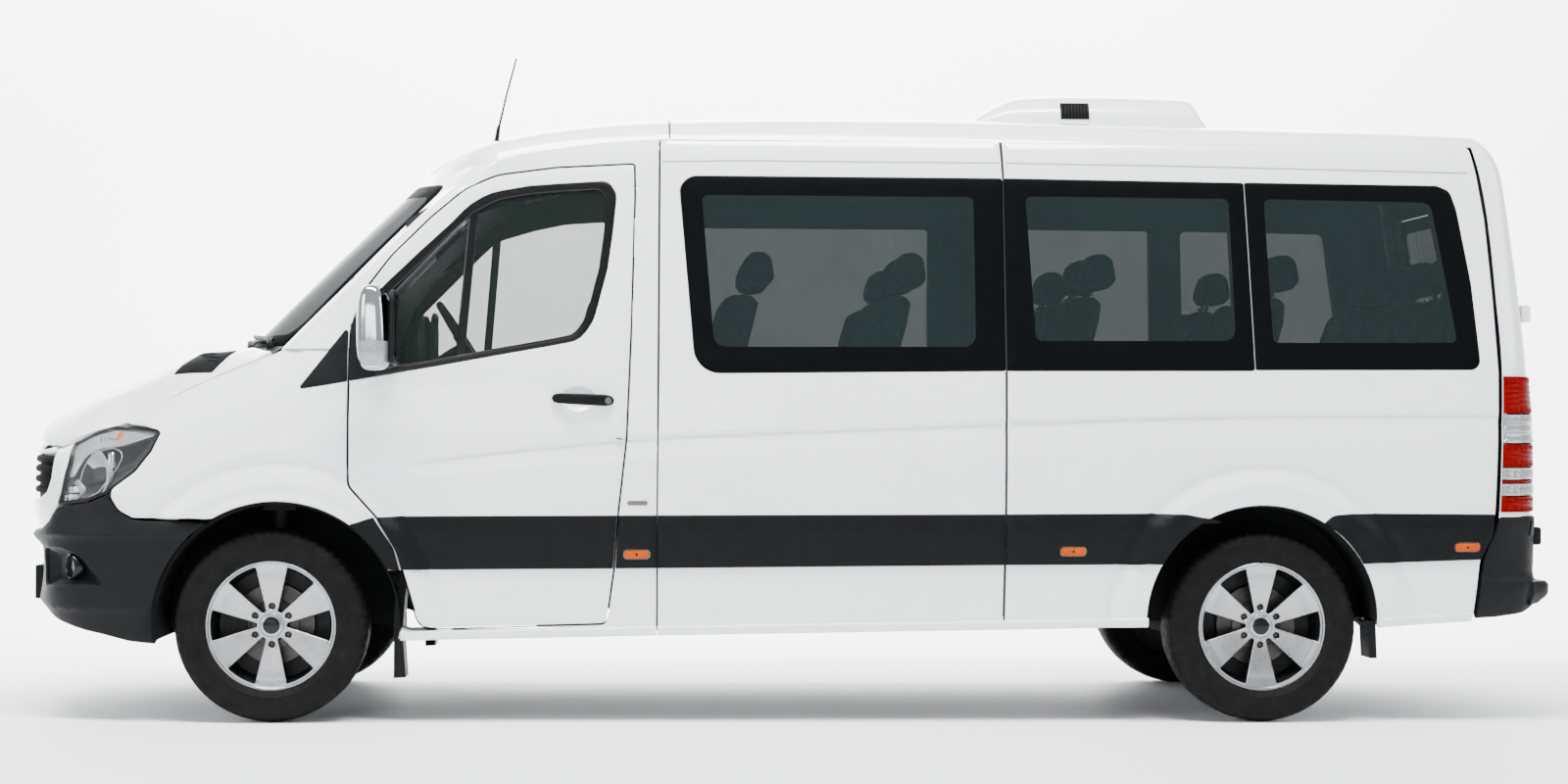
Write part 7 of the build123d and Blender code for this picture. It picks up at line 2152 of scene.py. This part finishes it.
base = np.array([1150.0, 600.0, 2112.0])
parts = []
V = []
for i in range(16):
    t = i / 15.0
    c = np.array([1190 - 96 * t, 600.0, 2112 + 54 * t])
    w_, h_ = 22 * math.sin(math.pi * min(1, 0.15 + 0.8 * t)) + 4, 10 + 20 * t
    for k in range(14):
        a = 2 * math.pi * k / 14
        V.append((c[0] + 8 * math.cos(a), c[1] + w_ * math.cos(a), c[2] - 14 + h_ * (0.5 + 0.5 * math.sin(a))))
F = grid_faces(16, 14, wrap_v=True)
F.append(tuple(range(14)))
F.append(tuple(15 * 14 + k for k in range(14))[::-1])
parts.append((V, F, [0] * len(F)))
V, F = tube([(1108, 600, 2122), (1098, 600, 2168), (1090, 600, 2222), (1086, 600, 2236)], [11, 9, 7, 4], 14)
parts.append((V, F, [0] * len(F)))
V, F = tube([(1087, 600, 2230), (1060, 600, 2350), (1025, 600, 2482)], [4.2, 3.8, 3.4], 10)
parts.append((V, F, [1] * len(F)))
V, F = tube([(1026, 600, 2478), (1025, 600, 2486)], [4.0, 3.4], 10)
parts.append((V, F, [0] * len(F)))
put("roof_aerial", parts, [RUBBER, STRIP_BLACK], "body", ["antenna"])


# =====================================================================================================
# cabin: seats, dashboard, steering wheel, floor covering
# =====================================================================================================
from mathutils.bvhtree import BVHTree

SEAT_CUSHION = [(-20, 318), (-10, 430), (20, 446), (370, 462), (396, 446), (402, 400), (380, 330)]
SEAT_BACK = [(-60, 340), (-205, 935), (-180, 965), (-95, 965), (-66, 940), (60, 446), (40, 340)]
SEAT_HEAD = [(-235, 972), (-262, 1010), (-250, 1090), (-222, 1112), (-178, 1112), (-150, 1085), (-132, 1010), (-150, 972)]


def half_planes(poly):
    P = np.array(poly, float)
    if area2(P) < 0:
        P = P[::-1]
    out = []
    for i in range(len(P)):
        a, b = P[i], P[(i + 1) % len(P)]
        t = (b - a) / np.linalg.norm(b - a)
        out.append((np.array([t[1], -t[0]]), a))
    return out


def pad_form(outline, h, y_shift=None, dent=None, start=11.0):
    """Closed loft of an outline in (x, z) from y -h to h, its sides drawn in."""
    base = round_poly([(x, z, 26) for x, z in outline], 14)
    base = base if area2(base) > 0 else base[::-1]
    ys = h * np.sin(np.linspace(-1, 1, 27) * math.pi / 2)
    V, n = [], len(base)
    for y in ys:
        k = max(0.0, (abs(y) - (h - 34.0)) / 34.0)
        p = offset_loop(base, start + 20.0 * (1 - math.sqrt(max(0.0, 1 - min(1, k) ** 2))))
        for x, z in p:
            dx, dz = dent(x, y, z) if dent else (0, 0)
            yy = y * (y_shift(z) if y_shift else 1.0)
            V.append((x + dx, yy, z + dz))
    F = grid_faces(len(ys), n, wrap_v=True, flip=True)
    F.append(tuple(range(n)))
    F.append(tuple((len(ys) - 1) * n + i for i in range(n))[::-1])
    return V, F


def stuffed(name, V, F, limits, voxel=8.0, cap=22.0, pressure=4.0, faces=3400, y_lim=208.0, rests=None):
    """Blows a closed form up as sewn cloth, keeps it inside its solid and gives light geometry back."""
    mesh = bpy.data.meshes.new(name)
    mesh.from_pydata([tuple(c * MM for c in v) for v in V], [], F)
    ob = bpy.data.objects.new(name, mesh)
    scene.collection.objects.link(ob)
    rm = ob.modifiers.new("skin", "REMESH")
    rm.mode = "VOXEL"
    rm.voxel_size = voxel * MM
    dg = bpy.context.evaluated_depsgraph_get()
    me = bpy.data.meshes.new_from_object(ob.evaluated_get(dg))
    ob.modifiers.clear()
    ob.data = me
    rest = np.array([v.co[:] for v in me.vertices])
    P = rest
    cl = ob.modifiers.new("cloth", "CLOTH")
    st = cl.settings
    st.quality = 6
    st.mass = 0.25
    st.tension_stiffness = st.compression_stiffness = 18
    st.shear_stiffness = 8
    st.bending_stiffness = 1.2
    st.air_damping = 4
    st.use_pressure = True
    st.uniform_pressure_force = pressure
    st.effector_weights.gravity = 0
    cl.collision_settings.use_collision = False
    cl.point_cache.frame_start, cl.point_cache.frame_end = 1, 20
    for k in range(1, 21):
        scene.frame_set(k)
    dg = bpy.context.evaluated_depsgraph_get()
    ev = ob.evaluated_get(dg)
    Q = np.array([v.co[:] for v in ev.data.vertices])
    if len(Q) == len(rest):
        d = Q - rest
        L = np.linalg.norm(d, axis=1)[:, None]
        P = rest + d * np.minimum(1.0, cap * MM / np.maximum(L, 1e-9))
    ob.modifiers.clear()
    scene.frame_set(1)
    P = P / MM
    if rests is not None:
        P[:, 2] = np.maximum(P[:, 2], rests)
    P[:, 1] = np.clip(P[:, 1], -y_lim, y_lim)
    for nrm, a in half_planes(limits):
        d = (P[:, [0, 2]] - a) @ nrm + 1.5
        k = d > 0
        P[k, 0] -= nrm[0] * d[k]
        P[k, 2] -= nrm[1] * d[k]
    for v, p in zip(ob.data.vertices, P):
        v.co = [float(c) * MM for c in p]
    dc = ob.modifiers.new("light", "DECIMATE")
    dc.ratio = min(1.0, faces / max(1.0, 2.0 * len(ob.data.polygons)))
    dg = bpy.context.evaluated_depsgraph_get()
    me = bpy.data.meshes.new_from_object(ob.evaluated_get(dg))
    V = np.array([v.co[:] for v in me.vertices]) / MM
    F = [tuple(p.vertices) for p in me.polygons]
    bpy.data.objects.remove(ob, do_unlink=True)
    return V, F


def seam_on(V, F, points, direction, sink=0.6):
    tree = BVHTree.FromPolygons([tuple(v) for v in V], F)
    out = []
    for p in points:
        hit = tree.ray_cast(Vector(p), Vector(direction))
        if hit[0] is not None:
            out.append(tuple(hit[0] - hit[1] * sink))
    return out


def cushion_dent(x, y, z):
    mid = float(smooth(0.72, 0.5, abs(y) / 204.0))
    top = float(smooth(400, 440, z))
    return 0.0, -15.0 * mid * top


def back_dent(x, y, z):
    mid = float(smooth(0.74, 0.5, abs(y) / 200.0))
    front = float(smooth(-30, 30, x - (60 - (z - 446) * 0.255) + 40))
    return -16.0 * mid * front, 0.0


cV, cF = stuffed("seat_cushion_form", *pad_form(SEAT_CUSHION, 206, dent=cushion_dent), SEAT_CUSHION, rests=326.0)
bV, bF = stuffed("seat_back_form", *pad_form(SEAT_BACK, 202, y_shift=lambda z: 1.0 - 0.20 * float(smooth(820, 965, z)) ** 1.5, dent=back_dent), SEAT_BACK, y_lim=202.0)
hV, hF = stuffed("seat_head_form", *pad_form(SEAT_HEAD, 122, y_shift=lambda z: 1.0 - 0.20 * float(smooth(1040, 1112, z)) ** 1.5 - 0.12 * float(smooth(1015, 972, z))), SEAT_HEAD, y_lim=123.0, faces=1500, voxel=7.0, cap=14.0)

seams = []
for yy in (-132, 132):
    seams.append(seam_on(cV, cF, [(x, yy, 700) for x in np.linspace(6, 386, 26)], (0, 0, -1)))
    seams.append(seam_on(bV, bF, [(400, yy * (1 - 0.14 * float(smooth(820, 960, z))), z) for z in np.linspace(470, 950, 30)], (-1, 0, 0)))
seams.append(seam_on(cV, cF, [(285, y, 700) for y in np.linspace(-130, 130, 16)], (0, 0, -1)))
seams.append(seam_on(bV, bF, [(400, y, 800) for y in np.linspace(-130, 130, 16)], (-1, 0, 0)))
_lo, _hi = np.array(hV).min(0), np.array(hV).max(0)
_sh = np.array([p[:2] for p in SEAT_HEAD], float)
_tx = min(1.25, (_sh[:, 0].max() - _sh[:, 0].min()) / (_hi[0] - _lo[0]))
_tz = min(1.40, (_sh[:, 1].max() - _sh[:, 1].min()) / (_hi[2] - _lo[2]))
_cx0, _cz0 = (_sh[:, 0].max() + _sh[:, 0].min()) / 2, (_sh[:, 1].max() + _sh[:, 1].min()) / 2
hV = [((x - (_lo[0] + _hi[0]) / 2) * _tx + _cx0, y, (z - (_lo[2] + _hi[2]) / 2) * _tz + _cz0) for x, y, z in np.array(hV)]
seams.append(seam_on(hV, hF, [(200, y, 1042) for y in np.linspace(-110, 110, 14)], (-1, 0, 0)))


def seat_parts(foot, y0, y1):
    """Frame, shell, posts, seams and buckle of one seat, about its foot."""
    ym, Z = (y0 + y1) / 2.0, 640.0
    out = []

    def add(VF, m):
        V, F = VF
        out.append(([(foot + x, ym + y, Z + z) for x, y, z in V], F, [m] * len(F)))
    inner, o = (y0, 1) if abs(y0) < abs(y1) else (y1, -1)
    la, lb = sorted((inner + o * 20 - ym, inner + o * 210 - ym))
    add(box_mesh(-14, 384, -200, 200, 320, 332, 4), 0)
    for y in (la + 12, lb - 12):
        add(tube([(70, y, 4), (110, y, 322)], 15, 12), 0)
        add(tube([(330, y, 4), (300, y, 322)], 15, 12), 0)
        add(box_mesh(62, 338, y - 16, y + 16, 0.5, 14, 4), 0)
    add(tube([(318, la + 12, 110), (318, lb - 12, 110)], 10, 10), 0)
    for y in (-60, 60):
        add(tube([(-152, y, 930), (-166, y, 962), (-180, y, 1000)], 6.5, 12), 1)
        add(lathe([(13, 0), (13, 6), (7, 9)], (-162, y, 956), (-0.26, 0, 0.966), 16), 0)
    for sgn in (1, -1):
        add(lathe([(0.3, 9), (34, 9), (40, 4), (40, -2)], (-6, sgn * 203, 392), (0, sgn, 0), 28), 0)
    # rear shell of the back
    V = []
    for z in np.linspace(372, 918, 14):
        xr = -60 - (z - 340) * 0.2437
        w = 190 * (1 - 0.17 * float(smooth(820, 940, z)))
        for y in np.linspace(-w, w, 9):
            V.append((xr - 2.0 + 10.0 * (abs(y) / w) ** 6, y, z))
    add((V, grid_faces(14, 9)), 0)
    for sm in seams:
        if len(sm) > 3:
            add(tube(sm, 2.0, 6), 2)
    # buckle and belt tongue beside the cushion; the path of a belt across the back is found but not drawn
    add(box_mesh(-4, 22, 176, 194, 440, 500, 6), 0)
    belt = [(-150, -150, 930), (-96, -128, 900), (-40, -60, 790), (20, 40, 650), (56, 130, 500), (20, 186, 452)]
    pts = seam_on(bV, bF, [(400, b, c) for a, b, c in belt for _ in (0,)], (-1, 0, 0), sink=-4.0)
    return out


def place(VF, foot, ym):
    V, F = VF
    return [(foot + x, ym + y, 640.0 + z) for x, y, z in V], F


FRONT_ROW = (616.0, [(215, 675), (-690, -270), (-262, 158)])
ROWS = [(115.0, [(450, 870), (20, 440)]), (-460.0, [(450, 870), (20, 440), (-870, -450)]), (-1180.0, [(450, 870), (20, 440), (-870, -450)]),
        (-1880.0, [(450, 870), (20, 440), (-870, -450)]), (-2540.0, [(450, 870), (20, 440), (-410, 10), (-840, -420)])]
for label, rows in (("front", [FRONT_ROW]), ("passenger", ROWS)):
    frame_parts, count = [], 0
    for ri, (head_x, places) in enumerate(rows):
        foot = head_x + 192.0
        for si, (y0, y1) in enumerate(places):
            ym = (y0 + y1) / 2.0
            frame_parts += seat_parts(foot, y0, y1)
            for kind, VF, fill in (("cushion", (cV, cF), 0.8), ("back", (bV, bF), 0.75), ("headrest", (hV, hF), 0.85)):
                V, F = place(VF, foot, ym)
                ob = new_object("%s_seat_%d_%d_%s" % (label, ri + 1, si + 1, kind), V, F, [CLOTH], "body")
    put(label + "_seat_frames", frame_parts, [CABIN, STEEL, RUBBER], "body", [label + "_seats"], sharp=40)

# dashboard: wrapped body with a hood over the dials, a centre stack, vents and a glove box
dash = [(1712, 1332), (1560, 1334), (1430, 1328), (1372, 1306), (1340, 1282), (1322, 1200), (1318, 1136), (1352, 1050), (1408, 968), (1560, 898), (1712, 898)]
dl_ = round_poly([(x, z, 30) for x, z in dash], 14)
dl_ = dl_ if area2(dl_) > 0 else dl_[::-1]
ys = np.concatenate([np.linspace(-872, -780, 8), np.linspace(-760, 760, 70), np.linspace(780, 872, 8)])
V = []
for y in ys:
    k = float(smooth(800, 872, abs(y)))
    hood = float(smooth(230, 170, abs(y - 430)))
    stack = float(smooth(190, 130, abs(y)))
    for x, z in offset_loop(dl_, 26.0 * k * k + 2):
        top = float(smooth(1290, 1325, z)) * float(smooth(1560, 1440, x))
        dx = -8 * stack * float(smooth(1290, 1180, z)) * float(smooth(980, 1040, z)) + 26 * (1 - stack) * (1 - hood) * float(smooth(1120, 1010, z)) * float(smooth(1480, 1400, x))
        dz = -10 * (1 - hood) * top
        if x < 1338 and y > 0:
            dx = max(dx, 0)
        V.append((x + dx, y, z + dz))
F = grid_faces(len(ys), len(dl_), wrap_v=True, flip=True)
F.append(tuple(range(len(dl_))))
F.append(tuple((len(ys) - 1) * len(dl_) + i for i in range(len(dl_)))[::-1])
parts = [(V, F, [0] * len(F))]
dash_tree = BVHTree.FromPolygons([tuple(map(float, v)) for v in V], F)


def on_dash(y, z):
    h = dash_tree.ray_cast(Vector((1200, y, z)), Vector((1, 0, 0)))
    return float(h[0].x) if h[0] is not None else 1330.0


for y, z in ((640, 1232), (215, 1240), (-215, 1240), (-700, 1232)):
    x = on_dash(y, z)
    parts_ = lathe([(44, -10), (46, 4), (41, 7), (37, 3), (36, -14), (0.3, -14)], (x, y, z), (-1, 0, 0), 32)
    parts.append((parts_[0], parts_[1], [1] * len(parts_[1])))
    for j in range(-2, 3):
        V, F = box_mesh(x - 3, x + 8, y - 34, y + 34, z + j * 13 - 1.6, z + j * 13 + 1.6)
        parts.append((V, F, [0] * len(F)))
x = on_dash(0, 1220)
V, F = box_mesh(x - 6, x + 30, -118, 118, 1158, 1288, 8)
parts.append((V, F, [1] * len(F)))
V, F = box_mesh(x - 7.5, x + 10, -100, 100, 1172, 1276, 4)
parts.append((V, F, [2] * len(F)))
for i in range(3):
    xk = on_dash(-62 + i * 62, 1096)
    V, F = lathe([(22, -4), (22, 14), (19, 18), (0.3, 18)], (xk, -62 + i * 62, 1096), (-1, 0, 0), 28)
    parts.append((V, F, [1] * len(F)))
x = on_dash(-470, 1120)
V, F = box_mesh(x - 4, x + 40, -640, -300, 1060, 1190, 10)
parts.append((V, F, [3] * len(F)))
V, F = box_mesh(x - 10, x + 4, -500, -440, 1166, 1180, 3)
parts.append((V, F, [1] * len(F)))
# dials under the hood
V, F = box_mesh(1344, 1380, 262, 598, 1210, 1304, 18)
parts.append((V, F, [2] * len(F)))
for y in (350, 510):
    V, F = lathe([(40, 0), (42, 5), (39, 6), (37, 1), (0.3, 1)], (1346, y, 1256), (-1, 0, 0), 36)
    parts.append((V, F, [3] * len(F)))
put("dashboard_assembly", parts, [CABIN, STRIP_BLACK, GLOSS_BLACK, TRIM_GREY], "body", ["dashboard"], sharp=40)

# steering wheel: padded rim, four spokes, hub cover and column
ax = np.array([-0.84, 0.0, 0.5425])
ax /= np.linalg.norm(ax)
e1, e2 = np.array([0.0, 1.0, 0.0]), np.cross(ax, np.array([0.0, 1.0, 0.0]))
hub = np.array([1217.0, 430.0, 1396.0])
w3p = lambda a, b, c: hub + e1 * a + e2 * b + ax * c
pts = [w3p(190 * math.cos(t), 190 * math.sin(t), 0) for t in np.linspace(0, 2 * math.pi, 72, endpoint=False)]
V, F = [], []
for i in range(72):
    t = 2 * math.pi * i / 72
    rr = 13.2 + 1.4 * max(0.0, abs(math.cos(t)) - 0.75) / 0.25
    c0 = w3p(190 * math.cos(t), 190 * math.sin(t), 0)
    rad = e1 * math.cos(t) + e2 * math.sin(t)
    for k in range(16):
        u = 2 * math.pi * k / 16
        V.append(c0 + rad * rr * math.cos(u) + ax * rr * math.sin(u))
F = grid_faces(72, 16, wrap_u=True, wrap_v=True)
parts = [(V, F, [0] * len(F))]
V, F = lathe([(0.3, 14), (38, 13), (60, 8), (66, 0), (66, -16), (58, -24), (0.3, -24)], hub, ax, 48)
parts.append((V, F, [0] * len(F)))
V, F = lathe([(66.6, -1), (67.4, -3), (66.6, -5)], hub, ax, 48)
parts.append((V, F, [1] * len(F)))
for ang in (18, 162, 232, 308):
    t = math.radians(ang)
    rad, tan = e1 * math.cos(t) + e2 * math.sin(t), -e1 * math.sin(t) + e2 * math.cos(t)
    V = []
    for r_, w_, h_, c_ in ((50, 26, 9, -8), (90, 21, 8, -7), (140, 16, 7, -4), (182, 19, 7, -1)):
        for k in range(12):
            u = 2 * math.pi * k / 12
            V.append(hub + rad * r_ + tan * w_ * math.cos(u) + ax * (c_ + h_ * math.sin(u)))
    F = grid_faces(4, 12, wrap_v=True, flip=True)
    parts.append((V, F, [1 if ang in (232, 308) else 0] * len(F)))
V, F = lathe([(24, -20), (26, -60), (24, -205), (0.3, -206)], hub, ax, 32)
parts.append((V, F, [0] * len(F)))
put("steering_wheel_assembly", parts, [CABIN, STEEL], "steering_wheel_body", ["steering_wheel"], sharp=40)

# floor covering
parts = []
fl = [(1380, 880, 20), (-1290, 880, 20), (-1290, 670, 20), (-2240, 670, 20), (-2240, 880, 20), (-2760, 880, 30)]
fl = round_poly(fl + [(x, -y, r) for x, y, r in fl[::-1]], 60)
fl = fl if area2(fl) > 0 else fl[::-1]
fp = panel(lambda a, b: np.stack([a, b, 641.5 + 0 * a], 1), fl, [], grid=160, edge_r=0, depth=2)
put("floor_covering", [(fp[0], fp[1], [0] * len(fp[1]))], [FLOORING], "body")

# wipers on the windscreen, washer nozzles on the cowl
SSF = screen_surface(0.0)
parts = []
for y_p, y_a, y_b, z_a, z_b in ((660, 60, 640, 1400, 1404), (60, -560, 40, 1400, 1406)):
    q = np.linspace(0, 1, 24)
    ya, za = y_a + (y_b - y_a) * q, z_a + (z_b - z_a) * q + 10 * np.sin(math.pi * q)
    P = SSF(ya, za)
    P = P + np.array([0.7, 0, 0.72]) * 10.0
    V, F = tube([tuple(p) for p in P], 5.0, 8, squash=1.7)
    parts.append((V, F, [0] * len(F)))
    mid = P[11]
    base = SSF(np.array([float(y_p)]), np.array([1384.0]))[0] + np.array([0.7, 0, 0.72]) * 12
    V, F = tube([tuple(base), tuple(base + np.array([6, -40, 22.0])), tuple(mid + np.array([4, 60, 10.0])), tuple(mid + np.array([2, 0, 6.0]))], [11, 10, 7, 6], 10)
    parts.append((V, F, [0] * len(F)))
    V, F = lathe([(0.3, 10), (15, 9), (18, 2), (18, -12)], base, (0.5, 0, 0.86), 20)
    parts.append((V, F, [0] * len(F)))
put("wiper_arms", parts, [STRIP_BLACK], "body", sharp=40)

# =====================================================================================================
# finishes for what stays as CAD
# =====================================================================================================
KEEP = {"floor_pan": UNDERBODY, "chassis_frame": CAST, "engine_block": CAST, "front_suspension": CAST, "rear_axle": CAST, "leaf_springs": STEEL,
        "fuel_tank": UNDERBODY, "exhaust": STEEL, "front_left_knuckle": CAST, "front_right_knuckle": CAST, "mud_flaps": RUBBER, "bumper_beam": CAST,
        "dashboard": CABIN, "steering_wheel": CABIN, "front_seats": CLOTH, "passenger_seats": CLOTH}
for node, m in KEEP.items():
    if node in NODES:
        ob = NODES[node]
        ob.data.materials.clear()
        ob.data.materials.append(m)
